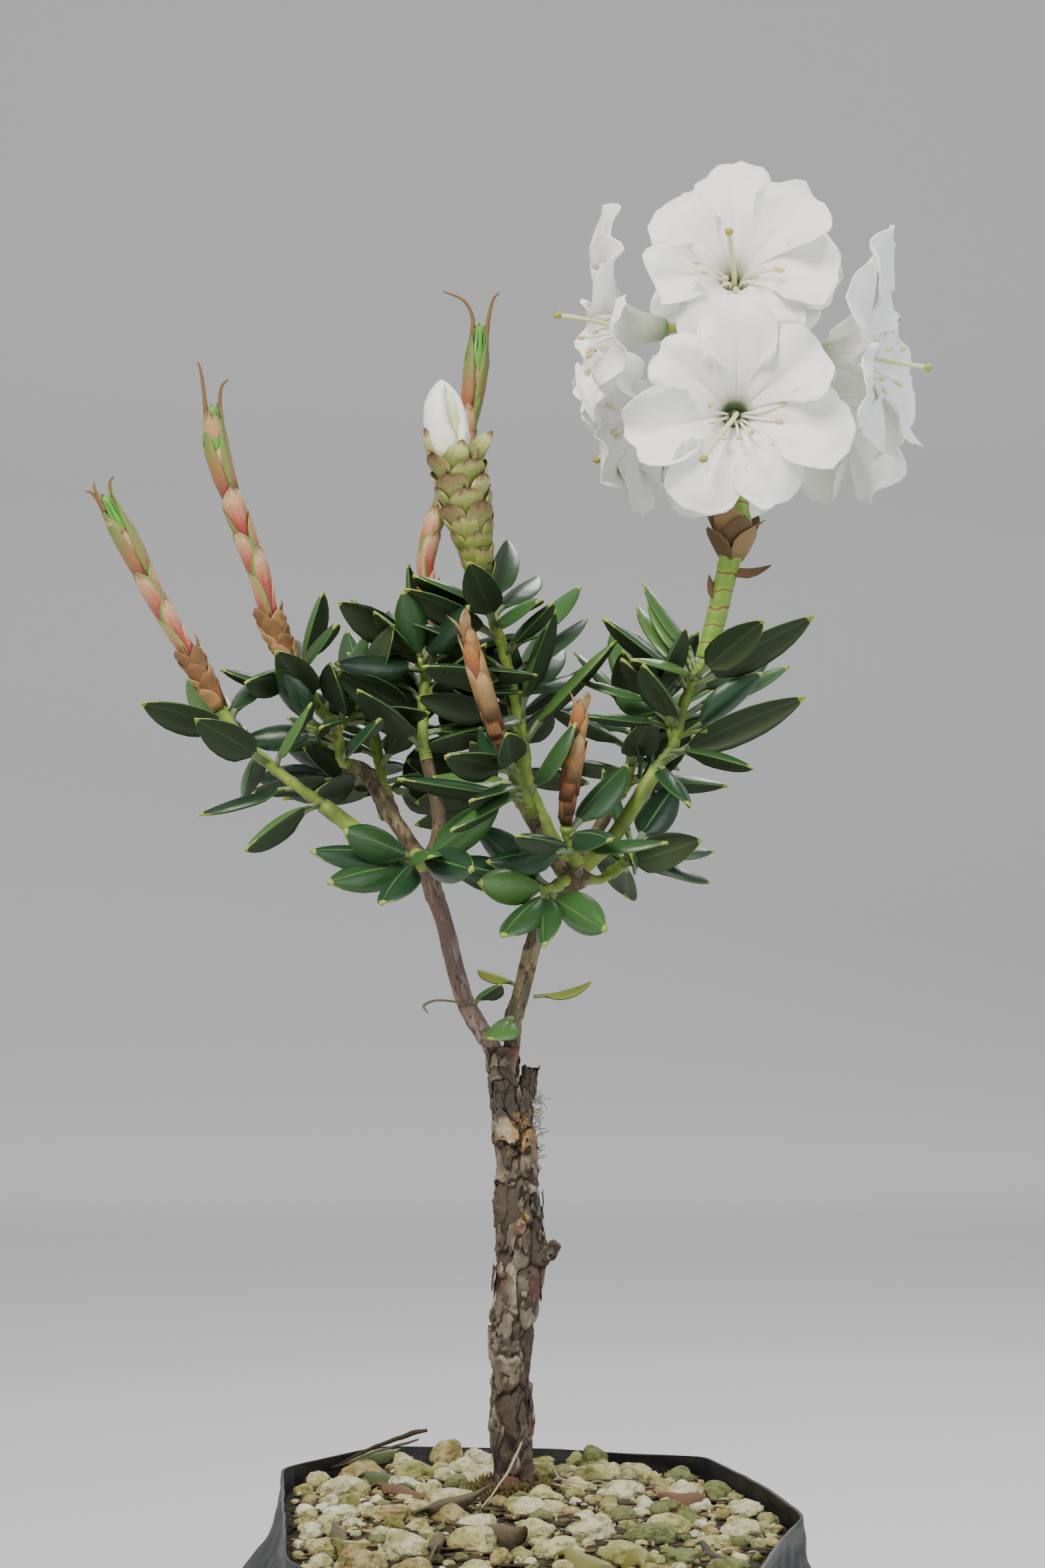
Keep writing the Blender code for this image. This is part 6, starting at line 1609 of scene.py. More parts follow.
def makeShoots():
    # bud bracts, grown: soft and downy, red low down and cream at the rounded tip, some with green margins
    down = {"Sheen Weight": 0.1}
    blush = ((0.3, "8A2A2A"), (0.54, "A2443A"), (0.7, "B67A5A"), (0.86, "C6A47A"), (0.95, "86603C"), (1.0, "523422"))
    pale = ((0.3, "8E322E"), (0.56, "A85C48"), (0.76, "B58A62"), (0.88, "AC9462"), (0.95, "7C5838"), (1.0, "523422"))
    olive = ((0.1, "9A4436"), (0.4, "8C6A3C"), (0.7, "6C7E38"), (0.9, "76783C"), (1.0, "563E24"))
    dusky = ((0.0, "96463A"), (0.25, "96704A"), (0.5, "7A7C40"), (0.8, "74683A"), (1.0, "5E4428"))
    skins = [
        gradedSkin("bractBlush", "A85C4C", 0.5, blush, None, settings=down),
        gradedSkin("bractPale", "AC7C60", 0.5, pale, "7C8A44", settings=down),
        gradedSkin("bractGreenEdged", "A0584A", 0.5, blush, "6E8438", settings=down),
        gradedSkin("bractOlive", "7A8840", 0.55, olive, None, settings=down),
        gradedSkin("bractLong", "7E7440", 0.55, dusky, "6E8438", settings=down),
        plainSkin("bractPaper", "7E5A36", 0.75, 500.0, 0.0005),
        plainSkin("innerLeafGreen", "5A9A34", 0.5, 700.0, 0.0003, down),
        plainSkin("bractAwn", "7A5A34", 0.7, 700.0, 0.0003),
        plainSkin("bractPaperPale", "A5804F", 0.75, 500.0, 0.0005),
    ]
    bract = scalePart("bract", bracts["outline"], 0.3)
    narrow = scalePart("narrowBract", bracts["narrow"], 0.3, 6)
    for name, (points, radii) in shoots.items():
        rng = random.Random(len(name))
        path = smoothPath([placeAt(*p) for p in points], 6)
        wide = spreadRadii(radii, len(path))
        total = sum((b - a).length for a, b in zip(path, path[1:])) / mm
        parts = [tubePart(path, [r * 0.62 for r in wide], 14, ink=6)]
        for i, away, side, radius in sidesAlong(path, wide, 4.0, -26.0, bracts["step"]):
            skin = (0, 1, 2, 0, 2, 1, 3)[i % 7]
            parts.append(wrapScale(bract, path, away * mm, side, radius * 0.62, bracts["half"] * rng.uniform(0.85, 1.1),
                                   rng.uniform(*bracts["lengths"]), radius * 0.3, rng.uniform(0.15, 0.5), 0.0, skin))
        for i, away, side, radius in sidesAlong(path, wide, 0.0, bracts["footBracts"] * 0.95, 0.95, 1.0):
            parts.append(wrapScale(narrow, path, (away - 1.5) * mm, side, radius * 0.95, 3.6, rng.uniform(7, 10),
                                   0.7, 0.5, rng.uniform(0.0, 0.045), rng.choice((5, 5, 8))))
        # long bracts stand open at the top, and the inner leaves show in the gap at the front
        _, ahead = placeAlong(path, (total - 15) * mm)
        front = Vector((0.25, -1, 0)).normalized()
        for i, turn in enumerate((-1.35, 1.2, 2.3, -2.5, 3.1)):
            side = Quaternion(ahead, turn) @ front
            parts.append(wrapScale(narrow, path, (total - 30 + i * 0.8) * mm, side, 2.2, 2.9, rng.uniform(27, 30), 0.3, 1.7,
                                   0.004, 4 if i % 2 else 3, belly=(0.48, 0.3)))
        for i in range(7):
            side = Quaternion(ahead, (i - 3) * 0.62) @ front
            parts.append(wrapScale(narrow, path, (total - 25 + abs(i - 3) * 0.9) * mm, side, 1.7, 0.75, 24 - abs(i - 3), 0.3, 1.2,
                                   0.0, 6, belly=(0.5, 0.3)))
        end, ahead = placeAlong(path, total * mm)
        for i, (across, up) in enumerate(bracts["awns"][name]):
            tip = placeAt(across, up, points[-1][2] - 2 + i)
            side = (tip - end)
            side = (side - ahead * side.dot(ahead)).normalized()
            foot = end + side * 2.2 * mm - ahead * 4 * mm
            rise, aside = ahead * (tip - foot).dot(ahead), side * (tip - foot).dot(side)
            bends = [foot, foot + rise * 0.5 + aside * 0.06, foot + rise * 0.86 + aside * 0.38, tip]
            parts.append(tubePart(smoothPath(bends, 5), spreadRadii((0.85, 0.6, 0.45, 0.25), 16), 6, ink=7))
        dress(joinParts(name.replace("new_shoot", "newShoot"), parts), skins, "shoot_bract", [name])
    makeCone()
    makeBrownBuds(narrow)
    print("shoots, cone and buds made")


def makeCone():
    # waxy inflorescence scales, grown: yellow-green, paler above, with a brown horny lip
    skins = [
        gradedSkin("coneScale", "8E9450", 0.5, ((0.4, "586428"), (0.62, "80883C"), (0.8, "9CA258"), (0.88, "84744A"), (0.97, "4E3226"))),
        gradedSkin("coneScalePale", "A8AC70", 0.5, ((0.4, "707A38"), (0.62, "A0A662"), (0.8, "B6BA7C"), (0.88, "947A54"), (0.97, "5A3A2C"))),
        gradedSkin("coneScaleDeep", "747C36", 0.5, ((0.4, "4A5620"), (0.62, "6E782E"), (0.8, "868E40"), (0.88, "766C3C"), (0.97, "4E3826"))),
        gradedSkin("coneScaleBrowned", "8C8350", 0.55, ((0.4, "6A7434"), (0.66, "8E8E54"), (0.84, "7A6440"), (0.97, "4A3424"))),
        plainSkin("coneHorn", "7A5040", 0.65, 500.0, 0.0004),
    ]
    outline = ((0.0, 0.6), (0.3, 0.86), (0.55, 1.0), (0.7, 1.0), (0.82, 0.9), (0.9, 0.7), (0.95, 0.46), (0.98, 0.22), (1.0, 0.06))
    scale = scalePart("scale", outline, 0.35)
    rng = random.Random(8)
    path = smoothPath([placeAt(*p) for p in cone[0]], 8)
    wide = spreadRadii(cone[1], len(path))
    total = sum((b - a).length for a, b in zip(path, path[1:])) / mm
    parts = [tubePart(path, [r * 0.8 for r in wide], 20, ink=0)]
    for i, away, side, radius in sidesAlong(path, wide, -3.0, -7.0, 1.08):
        share = away / total
        skin = rng.choice((2, 2, 0) if share < 0.3 else (0, 0, 1, 3) if share < 0.62 else (1, 1, 0, 3))
        long = rng.uniform(12, 14)
        half = 5.4 if share > 0.6 else 4.8 if share > 0.3 else 3.9
        parts.append(wrapScale(scale, path, away * mm, side, radius * 0.8, half, long, radius * 0.28, 0.9, 0.06, skin))
        if rng.random() < 0.6:  # the horn at its tip
            point, ahead = placeAlong(path, (away + long) * mm)
            out = (side - ahead * side.dot(ahead)).normalized()
            foot = point + out * (radius * 1.02 + 0.5) * mm
            parts.append(tubePart([foot, foot + (out * 0.5 + ahead * 0.9) * mm, foot + (out * 1.4 + ahead * 1.5) * mm],
                                  spreadRadii((0.5, 0.4, 0.12), 3), 6, ink=4))
    # at the top one scale points away to the right and a pale one sheathes the bud
    leanTo = scalePart("leaningScale", bracts["narrow"], 0.1, 6)
    parts.append(laidScale(leanTo, placeAt(-17.4, 309.5, 0), placeAt(-8.6, 318.4, -2), Vector((0, -1, 0.3)), 3.0, 2.2, 1, 0.1))
    parts.append(laidScale(leanTo, placeAt(-24, 305, 1), placeAt(-29.4, 319.4, 1), Vector((-0.6, -0.8, 0)), 3.4, 2.6, 1, 0.0))
    parts.append(laidScale(leanTo, placeAt(-21.6, 306, -1.5), placeAt(-17.8, 316, -3), Vector((0, -1, 0.1)), 4.2, 3.0, 1, 0.0))
    dress(joinParts("flowerCone", parts), skins, "cone_scale", ["flower_cone"])
    makeRolledFlower()


def makeRolledFlower():
    # the first flower, still rolled up in the cone's top: one petal wound round with its edges turned in at the front
    glow = {"Sheen Weight": 0.15, "Subsurface Weight": 0.15, "Subsurface Scale": 0.001}
    skins = [
        gradedSkin("rolledPetal", "F2F3E8", 0.5, ((0.0, "C9D2AE"), (0.2, "ECEFDC"), (0.45, "F5F5EE"), (1.0, "F6F6F0")), None,
                   300.0, 0.0003, glow),
        # the heart, seen in the petal's opening, is greener and darker than the petal: partly its own greener colour,
        # partly painted shade of the hollow
        gradedSkin("rolledHeartGreenAndShade", "D5DAB4", 0.5, ((0.0, "A9B680"), (0.5, "CFD6A6"), (0.8, "E2E5CC"), (1.0, "F0F1E4")), None,
                   300.0, 0.0003, glow),
    ]
    path = smoothPath([placeAt(*p) for p in flowerBud], 8)
    rows = len(path) - 1
    shares = (0, 0.12, 0.3, 0.52, 0.72, 0.86, 0.95, 1.0)
    widths = [float(np.interp(i / rows, shares, (4.4, 6.0, 6.8, 6.8, 5.9, 4.0, 2.0, 0.25))) for i in range(rows + 1)]
    frames = framesAlong(path)
    middle = math.radians(-62)

    def ringPoint(i, angle, share):
        ahead = frames[i][0]
        out = Vector((math.cos(angle), math.sin(angle), 0))
        return path[i] + (out - ahead * out.dot(ahead)).normalized() * widths[i] * share * mm

    def sheet(u, v):
        gap = math.radians(27) * ramp(0.12, 0.5, v) * ramp(0.97, 0.78, v)
        angle = middle + gap + u * (2 * math.pi - 2 * gap + 0.12)
        edge = math.exp(-(u / 0.035) ** 2) + math.exp(-((1 - u) / 0.035) ** 2)
        pleat = 1 + 0.03 * math.sin(5 * angle) * (1 - v)
        return ringPoint(round(v * rows), angle, pleat * (0.93 + 0.07 * u) * (1 - 0.22 * edge) + 0.02 * u)

    def core(u, v):
        angle = 2 * math.pi * u
        aside = math.atan2(math.sin(angle - middle), math.cos(angle - middle))
        return ringPoint(round(v * rows), angle, 0.76 - 0.2 * math.exp(-((aside / 0.3) ** 2)))

    roll = addGrid("rolledFlower", 90, rows, sheet)
    applyModifier(roll, "SOLIDIFY", thickness=0.6 * mm, offset=-1)
    heart = addGrid("heart", 40, rows, core)
    closeUp(heart)
    whole = partOf(roll)
    inner = {**partOf(heart)}
    inner["inks"] = [1] * len(inner["faces"])
    dress(joinParts("rolledFlower", [whole, inner]), skins, "petal", ["flower_bud"])


def makeBrownBuds(bract):
    # spent bud bracts, dried: papery, tan to orange-brown, torn and forked at the tips
    skins = [
        gradedSkin("paperTan", "B98A5E", 0.75, ((0.1, "5E4026"), (0.6, "94683A"), (0.86, "AC8652"), (1.0, "5E4028")), None, 420.0, 0.0006),
        gradedSkin("paperRusset", "A86F45", 0.75, ((0.1, "5A3420"), (0.6, "8C562E"), (0.86, "A8743E"), (1.0, "563822")), None, 420.0, 0.0006),
        gradedSkin("paperPale", "C49C70", 0.75, ((0.1, "6A5030"), (0.6, "8E7044"), (0.86, "AC9060"), (1.0, "6A4C2E")), None, 420.0, 0.0006),
    ]
    for name, (points, radii) in brownBuds.items():
        rng = random.Random(len(name) + 3)
        path = smoothPath([placeAt(*p) for p in points], 8)
        wide = spreadRadii(radii, len(path))
        total = sum((b - a).length for a, b in zip(path, path[1:])) / mm
        parts = [tubePart(path, [r * 0.7 for r in wide], 14)]
        for i, away, side, radius in sidesAlong(path, wide, 0.0, -12.0, 1.9):
            share = away / total
            parts.append(wrapScale(bract, path, (away - 1) * mm, side, max(radius * 0.78, 1.2), 3.8 - 1.2 * share,
                                   rng.uniform(13, 17), 0.4 - 1.1 * share, 0.12, rng.uniform(-0.02, 0.02), rng.choice((0, 1, 0, 2))))
        for turn in (0.4, 2.4, 4.4):  # torn ends
            side = Quaternion(placeAlong(path, total * mm)[1], turn) @ placeAlong(path, total * mm)[1].orthogonal().normalized()
            parts.append(wrapScale(bract, path, (total - 9) * mm, side, 0.9, 1.7, 12.5, 0.6, 0.0, 0.2, 2))
        dress(joinParts(name.replace("brown_bud", "brownBud"), parts), skins, "papery_bract", [name])


# ---- the truss

bloom = {
    "lobes": 7,
    "across": 18,
    "along": 32,
    "depth": 22.0,
    "thick": 0.4,
    "keep": 0.6,  # mm from the plane between two blooms
    # along the petal: how far, share of the depth, share of the radius
    "profile": ((0.0, 0.0, 0.08), (0.28, 0.6, 0.19), (0.5, 0.86, 0.45), (0.76, 0.97, 0.77), (1.0, 1.0, 1.0)),
    "notches": (0.2, 0.44),
    "notchFrom": 0.3,
    "overlap": 0.34,
    "wave": 3.0,
    "frill": 1.0,
    "crease": 1.3,
    "recurve": 1.6,
    "tilt": 4.6,  # mm that a lobe's end leans to or fro
    "upright": ("bloom_top", "bloom_front"),  # these have one lobe straight up
    "stamens": 9,
    # where it starts, its turn in plan, rise, radius, its stalk's height on the rachis
    "blooms": {
        "bloom_top": ((63, 360, 5), -90, 19, 32.5, 331),
        "bloom_front": ((63.4, 323, -8), -90, 0, 34.5, 317),
        "bloom_right": ((88, 341, 3), -14, 3, 36.5, 327),
        "bloom_left": ((43, 349, 3), -171, 3, 36.5, 331),
        "bloom_low_left": ((46, 327, 21), 148, -14, 30, 311),
        "bloom_rear_right": ((83, 329, 25), 34, -6, 31, 313),
        "bloom_rear_top": ((66, 355, 22), 88, 36, 31, 335.8),
        "bloom_rear": ((63, 325, 32), 97, -8, 31, 322),
    },
    # style tips from the funnel's start: across, up, and how far out along its aim
    "styles": {
        "bloom_top": (-2.4, 5, 30), "bloom_front": (-10.2, -15, 30), "bloom_right": (0, -6, 34),
        "bloom_left": (0, 2, 33),
    },
}
truss = {
    "stem": ((54.8, 250.2, 5), (58, 262, 5.4), (61, 275, 5.8), (63.4, 285, 6), (64.8, 290, 6)),
    "stemRadii": (3.0, 3.1, 3.2, 3.6, 4.2),
    "rachis": (64.8, 296.0, 336.0, 6.0),  # across, foot, top, back
    "rachisRadius": 2.6,
    "stalkRadius": 1.1,
    "collar": {"count": 9, "length": 13.5, "lean": 26, "across": 62.6, "up": 282},
    "loose": ((61.6, 277, 18, -2), (60, 268, -8, 9)),
}
leaning = {("bloom_front", "bloom_top"): ((63, 346, -21), (0.0, 0.5, 0.87))}


def petalMaterial():
    made = bpy.data.materials.get("freshPetal")
    if made:
        return made
    # fresh petal, grown: thin, white and a little see-through, soft sheen, green-grey down in its throat
    petal, tree, shader = newMaterial("freshPetal", "F4F4EE", 0.5, {"Sheen Weight": 0.15, "Subsurface Weight": 0.18})
    shader.inputs["Subsurface Radius"].default_value = (0.9, 1.0, 0.8)
    shader.inputs["Subsurface Scale"].default_value = 0.0012
    where = addNode(tree, "UVMap")
    split = addNode(tree, "SeparateXYZ", {}, {"Vector": where.outputs["UV"]})
    tint = addNode(tree, "ValToRGB", {"stops": ((0.0, "7C946E"), (0.07, "B4C09E"), (0.15, "E2E7D8"), (0.3, "F3F3ED"), (1.0, "F7F7F2"))},
                   {"Fac": split.outputs["Y"]})
    tree.links.new(tint.outputs["Color"], shader.inputs["Base Color"])
    # veins run from the throat to the edge, about 1.5 mm apart
    fan = addNode(tree, "Mapping", {"Scale": (24.0, 0.8, 1.0)}, {"Vector": where.outputs["UV"]})
    vein = addNode(tree, "TexNoise", {"Scale": 1.0, "Detail": 3.0, "Distortion": 0.4}, {"Vector": fan.outputs["Vector"]})
    bump = addNode(tree, "Bump", {"Strength": 0.35, "Distance": 0.0006}, {"Height": vein.outputs["Fac"]})
    tree.links.new(bump.outputs["Normal"], shader.inputs["Normal"])
    return petal


def bloomAim(turn, rise):
    turn, rise = math.radians(turn), math.radians(rise)
    return Vector((math.cos(turn) * math.cos(rise), math.sin(turn) * math.cos(rise), math.sin(rise)))


def partingPlanes(name):
    blooms, planes = bloom["blooms"], []
    start, turn, rise, _, _ = blooms[name]
    own = placeAt(*start) + bloomAim(turn, rise) * bloom["depth"] * mm
    for other, (place, otherTurn, otherRise, _, _) in blooms.items():
        if other == name:
            continue
        if (name, other) in leaning or (other, name) in leaning:
            middle, normal = leaning.get((name, other)) or leaning[(other, name)]
            away = Vector((normal[0], normal[2], normal[1])).normalized()
            planes.append((placeAt(*middle), away if (name, other) in leaning else -away))
            continue
        rim = placeAt(*place) + bloomAim(otherTurn, otherRise) * bloom["depth"] * mm
        planes.append(((own + rim) / 2, (rim - own).normalized()))
    return planes


def makeBloom(name, index, petal):
    start, turn, rise, radius, _ = bloom["blooms"][name]
    start, aim = placeAt(*start), bloomAim(turn, rise)
    side = aim.cross(Vector((0, 0, 1))).normalized()
    upward = side.cross(aim)
    planes = partingPlanes(name)
    rng = random.Random(40 + index)
    profile = smoothPath([Vector(p) for p in bloom["profile"]], 8)
    alongs, depths, shares = zip(*[p[:] for p in profile])
    count = bloom["lobes"]
    lobes = []
    first = math.pi / 2 - math.pi / count if name in bloom["upright"] else 0.4 * index
    for k in range(count):
        waves = [(rng.uniform(0.8, 2.2), rng.uniform(0, 6.28)) for _ in range(2)]
        length, notch = rng.uniform(0.88, 1.06), rng.uniform(*bloom["notches"])
        tilt, pointed, shift = rng.uniform(-1, 1) * bloom["tilt"], rng.uniform(0.0, 0.22), rng.uniform(-0.5, 0.5)
        seed = Vector((rng.uniform(0, 50), index * 3, k * 5))

        def lobe(u, v):
            free = ramp(bloom["notchFrom"], 0.9, v)
            t = 2 * u - 1
            angle = first + 2 * math.pi * (k + 0.5 + t / 2 * (1 + bloom["overlap"] * free)) / count
            reach = radius * np.interp(v, alongs, shares) * (1 - notch * free * abs(t) ** 3.2 - pointed * free * abs(t) ** 1.4)
            ragged = noise.noise(Vector((t * 3.5, v * 2, 0)) + seed)
            reach *= (1 + (length - 1) * v) * (1 + 0.07 * ragged * ramp(0.6, 1.0, v))
            out = side * math.cos(angle) + upward * math.sin(angle)
            wave = sum(math.sin(rate * math.pi * t + phase) for rate, phase in waves) * bloom["wave"] / 2 * v**3
            edge = max(ramp(0.75, 1.0, v), ramp(0.6, 1.0, abs(t)) * free)
            frill = bloom["frill"] * edge * (math.sin(t * 9 + seed.x) + noise.noise(Vector((t * 6, v * 6, 1)) + seed))
            lap = 1.5 * t * free
            crease = -bloom["crease"] * math.exp(-(((t - 0.05 * shift) / 0.09) ** 2)) * ramp(0.1, 0.4, v) * (1 - 0.6 * v)
            curl = -bloom["recurve"] * ramp(0.75, 1.0, v) * (1 - 0.5 * t * t)
            cup = 1.6 * free * t * t * (1 - 0.4 * v)
            deep = bloom["depth"] * np.interp(v, alongs, depths) + wave + frill + lap + crease + curl + cup + tilt * v**2.5
            point = start + aim * float(deep) * mm + out * float(reach) * mm
            for middle, normal in planes:
                past = (point - middle).dot(normal) + bloom["keep"] * mm
                if past > 0:
                    point = point - normal * past
            return point

        lobes.append(addGrid(f"lobe{k}", bloom["across"], bloom["along"], lobe))
    pickOut(lobes[0])
    for ob in lobes[1:]:
        ob.select_set(True)
    bpy.ops.object.join()
    flower = lobes[0]
    flower.name = flower.data.name = name.replace("bloom_", "bloom_petals_")
    pickOut(flower)
    bpy.ops.object.mode_set(mode="EDIT")
    bpy.ops.mesh.select_all(action="SELECT")
    bpy.ops.mesh.remove_doubles(threshold=2e-5)
    bpy.ops.object.mode_set(mode="OBJECT")
    applyModifier(flower, "SOLIDIFY", thickness=bloom["thick"] * mm, offset=0)
    dress(flower, [petal], "petal", [name])
    return start, aim, side, upward, rng


def makeTruss(green):
    petal = petalMaterial()
    threads, anthers, styles, knobs, stalks = [], [], [], [], []
    deselectAll()
    bpy.ops.mesh.primitive_ico_sphere_add(subdivisions=2, radius=1)
    bead = partOf(bpy.context.object)
    across, foot, top, back = truss["rachis"]
    for index, name in enumerate(bloom["blooms"]):
        start, aim, side, upward, rng = makeBloom(name, index, petal)
        seat = bloom["blooms"][name][4]
        # the stalk from the rachis to the funnel, and the small cup under it
        behind = start - aim * 4 * mm
        axis = placeAt(across, min(seat, top - 1.5), back)
        stalk = smoothPath([axis, axis.lerp(behind, 0.55) + Vector((0, 0, 0.6 * mm)), behind, start + aim * 0.8 * mm], 5)
        stalks.append(tubePart(stalk, spreadRadii((1.25, 1.05, 1.15, 2.3), len(stalk)), 10))
        down = -upward
        fixed = bloom["styles"].get(name)
        sideways, lift, out = fixed or (rng.uniform(-4, 4), -9, 30)
        end = start + aim * out * mm + Vector((sideways, 0, lift)) * mm
        style = smoothPath([start + aim * 2 * mm, start + aim * 12 * mm + down * 0.8 * mm, start + aim * 22 * mm + (end - start - aim * out * mm) * 0.55, end], 6)
        styles.append(tubePart(style, spreadRadii((0.85, 0.75, 0.7, 0.75), len(style)), 8))
        knobs.append({**bead, "points": bead["points"] * np.array((1.35, 1.35, 1.15)) * mm + np.array(end[:])})
        # the ovary in the throat
        core = start + aim * 5 * mm
        swell = [start + aim * d * mm for d in (0.5, 2, 4, 6, 7.5)]
        styles.append(tubePart(smoothPath(swell, 3), spreadRadii((1.2, 1.7, 1.7, 1.2, 0.7), 13), 10, ink=1))
        for i in range(bloom["stamens"]):
            angle = math.radians(-90 + (i - (bloom["stamens"] - 1) / 2) * 23 + rng.uniform(-8, 8))
            spread = side * math.cos(angle) + upward * math.sin(angle)
            long = rng.uniform(14, 25)
            tip = start + (aim * long + spread * rng.uniform(7, 15) + upward * rng.uniform(-1, 2)) * mm
            thread = smoothPath([start + (aim * 1.5 + spread * 1.6) * mm, start + (aim * long * 0.5 + spread * 3.2) * mm,
                                 start + (aim * long * 0.85 + spread * 8) * mm, tip], 4)
            threads.append(tubePart(thread, spreadRadii((0.5, 0.46, 0.42, 0.34), len(thread)), 6))
            turned = np.array((thread[-1] - thread[-3]).normalized().to_track_quat("Z", "Y").to_matrix())
            shape = bead["points"] * np.array((1.0, 0.72, 1.5)) * mm
            anthers.append({**bead, "points": shape @ turned.T + np.array(tip[:])})
    white = plainSkin("filamentWhite", "EEF0E2", 0.45, 500.0, 0.0001)
    cream = plainSkin("antherCream", "E2CF9E", 0.7, 900.0, 0.0003)
    pale = plainSkin("stylePaleGreen", "D3DCA0", 0.45, 500.0, 0.0001)
    ovary = plainSkin("ovaryGreyGreen", "8CA07A", 0.6, 800.0, 0.0003)
    sticky = plainSkin("stigmaOchre", "A3993E", 0.35, 900.0, 0.0002)
    dress(joinParts("stamenThreads", threads), [white], "petal")
    dress(joinParts("anthers", anthers), [cream], "papery_bract")
    dress(joinParts("stylesAndOvaries", styles), [pale, ovary], "truss_green")
    dress(joinParts("stigmas", knobs), [sticky], "truss_green")
    makeTrussStem(stalks)
    print("truss made")


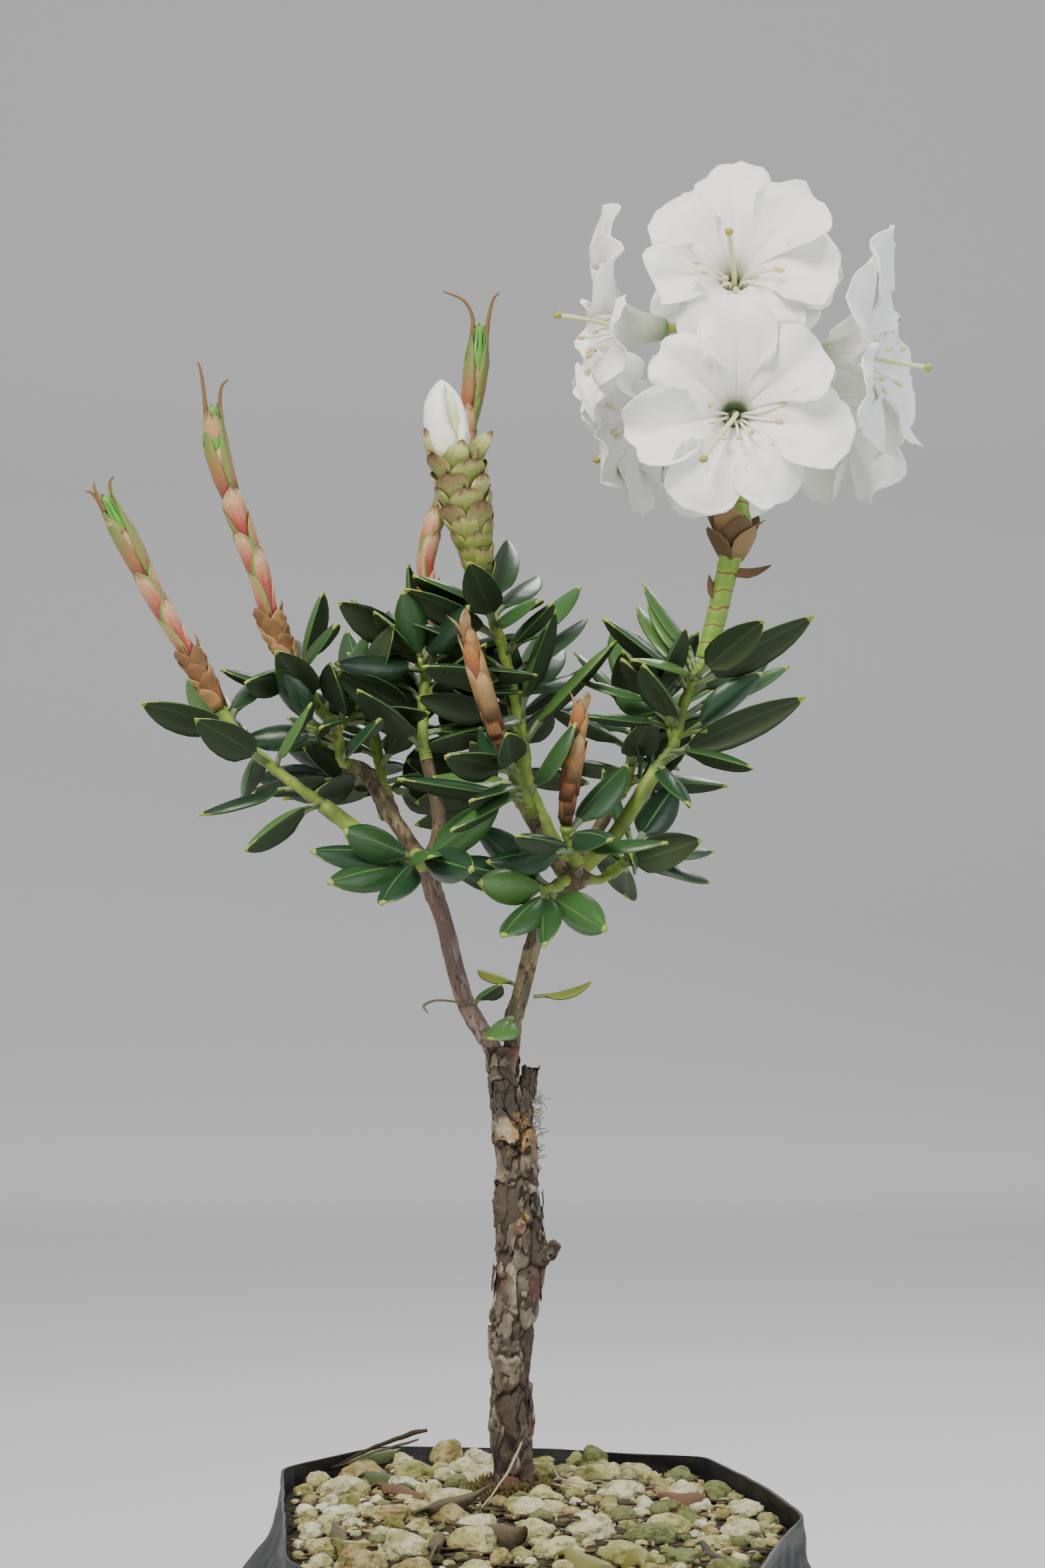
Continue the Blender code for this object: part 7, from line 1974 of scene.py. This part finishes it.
def makeTrussStem(stalks):
    across, foot, top, back = truss["rachis"]
    points = [placeAt(*p) for p in truss["stem"]] + [placeAt(across, up, back) for up in (foot, (foot + top) / 2, top)]
    path = smoothPath(points, 12)
    radii = spreadRadii((*truss["stemRadii"], 3.2, truss["rachisRadius"], truss["rachisRadius"] * 0.8), len(path))
    length, ringed = 0.0, []
    for i, point in enumerate(path):
        length += (point - path[i - 1]).length / mm if i else 0.0
        ringed.append(radii[i] * (1 + 0.07 * math.exp(-(((length % 5.2) - 2.6) / 0.45) ** 2)))
    stem = tubePart(path, ringed, 24)
    # fresh flower stem, grown: lime green and downy, with brown rings where its scales sat
    lime, tree, shader = newMaterial("limeFlowerStem", "769E2A", 0.45, {"Sheen Weight": 0.3})
    place = addNode(tree, "TexCoord").outputs["Object"]
    rise = addNode(tree, "SeparateXYZ", {}, {"Vector": place})
    patch = addNode(tree, "TexNoise", {"Scale": 160.0, "Detail": 4.0}, {"Vector": place})
    bend = addNode(tree, "Math", {"operation": "MULTIPLY_ADD", 1: 0.004}, {0: patch.outputs["Fac"], 2: rise.outputs["Z"]})
    turns = addNode(tree, "Math", {"operation": "MULTIPLY", 1: 2 * math.pi / 0.0052}, {0: bend.outputs[0]})
    rings = addNode(tree, "Math", {"operation": "SINE"}, {0: turns.outputs[0]})
    tint = addNode(tree, "ValToRGB", {"stops": ((0.0, "6E9428"), (0.86, "7CA62E"), (0.97, "7A5426"))}, {"Fac": rings.outputs[0]})
    tree.links.new(tint.outputs["Color"], shader.inputs["Base Color"])
    bump = addNode(tree, "Bump", {"Strength": 0.5, "Distance": 0.0003}, {"Height": patch.outputs["Fac"]})
    tree.links.new(bump.outputs["Normal"], shader.inputs["Normal"])
    tan = plainSkin("driedCollarScale", "6A5236", 0.8, 420.0, 0.0006)
    edge = plainSkin("driedCollarEdge", "8E744E", 0.8, 420.0, 0.0006)
    outline = ((0.0, 0.6), (0.25, 0.9), (0.5, 1.0), (0.72, 0.8), (0.88, 0.45), (0.96, 0.2), (1.0, 0.05))
    scale = scalePart("collarScale", outline, 0.08, 6)
    rng = random.Random(12)
    collar, parts = truss["collar"], [stem]
    base = placeAt(collar["across"], collar["up"], back)
    for i in range(collar["count"]):
        turn = 2 * math.pi * i / collar["count"] + rng.uniform(-0.2, 0.2)
        out = Vector((math.cos(turn), math.sin(turn), 0))
        lean = math.radians(collar["lean"] + rng.uniform(-10, 10))
        start = base + out * 2.4 * mm + Vector((0, 0, rng.uniform(-3, 3))) * mm
        tip = start + (Vector((0.1, 0, 1)) * math.cos(lean) + out * math.sin(lean)) * collar["length"] * rng.uniform(0.8, 1.05) * mm
        parts.append(laidScale(scale, start, tip, out, 4.8, 3.0, rng.choice((1, 1, 2)), rng.uniform(-0.1, 0.15)))
    for x, up, dx, dz in truss["loose"]:
        start = placeAt(x, up, back - 0.5)
        parts.append(laidScale(scale, start, start + Vector((dx, -3, dz)) * 0.72 * mm, Vector((0, -0.6, 0.8)), 2.7, 2.4, 1, 0.24))
    dress(joinParts("trussStem", parts), [lime, tan, edge], "truss_green", ["truss_stem"])
    green = plainSkin("downyFlowerStalk", "9DB552", 0.5, 900.0, 0.0003, {"Sheen Weight": 0.3})
    dress(joinParts("flowerStalks", stalks), [green], "truss_green")


# ---- floor, light and the run


def makeStudio():
    # a pale sweep: a floor that turns up into the wall behind
    sweep = ((-2.5, 0.0), (1.6, 0.0), (2.3, 0.12), (2.8, 0.55), (3.0, 1.3), (3.0, 4.5))
    curve = smoothPath([Vector((y, z)) for y, z in sweep], 8)

    def sheet(u, v):
        point = curve[round(v * (len(curve) - 1))]
        return Vector(((u - 0.5) * 8, point.x, point.y))

    floor = addGrid("floor", 4, len(curve) - 1, sheet)
    matt, tree, shader = newMaterial("mattPaperSweep", studio["floorColour"], 0.85)
    floor.data.materials.append(matt)
    floor.data.shade_smooth()
    world = bpy.data.worlds.new("softRoom")
    world.use_nodes = True
    background = world.node_tree.nodes["Background"]
    background.inputs["Color"].default_value = hexColour(studio["worldColour"])
    background.inputs["Strength"].default_value = studio["worldStrength"]
    bpy.context.scene.world = world
    for i, (place, size, watts, colour) in enumerate(studio["lamps"]):
        lampData = bpy.data.lights.new(f"softLamp{i}", "AREA")
        lampData.size = size
        lampData.energy = watts
        lampData.color = hexColour(colour)[:3]
        lamp = bpy.data.objects.new(f"softLamp{i}", lampData)
        bpy.context.scene.collection.objects.link(lamp)
        lamp.location = place
        lamp.rotation_euler = (Vector(studio["aim"]) - Vector(place)).to_track_quat("-Z", "Y").to_euler()


makeCamera()
makeStudio()
makeBag()
makeSoil()
makePumice()
leafShape = leafPart(leaf["outline"], leaf["columns"])
makeLitter(leafShape)
oldBark = makeTrunk()
youngBark = makeLimbs()
greenStem = greenStemMaterial()
makeBoughs(youngBark, greenStem)
makeLeaves(greenStem, leafShape)
makeShoots()
makeTruss(greenStem)
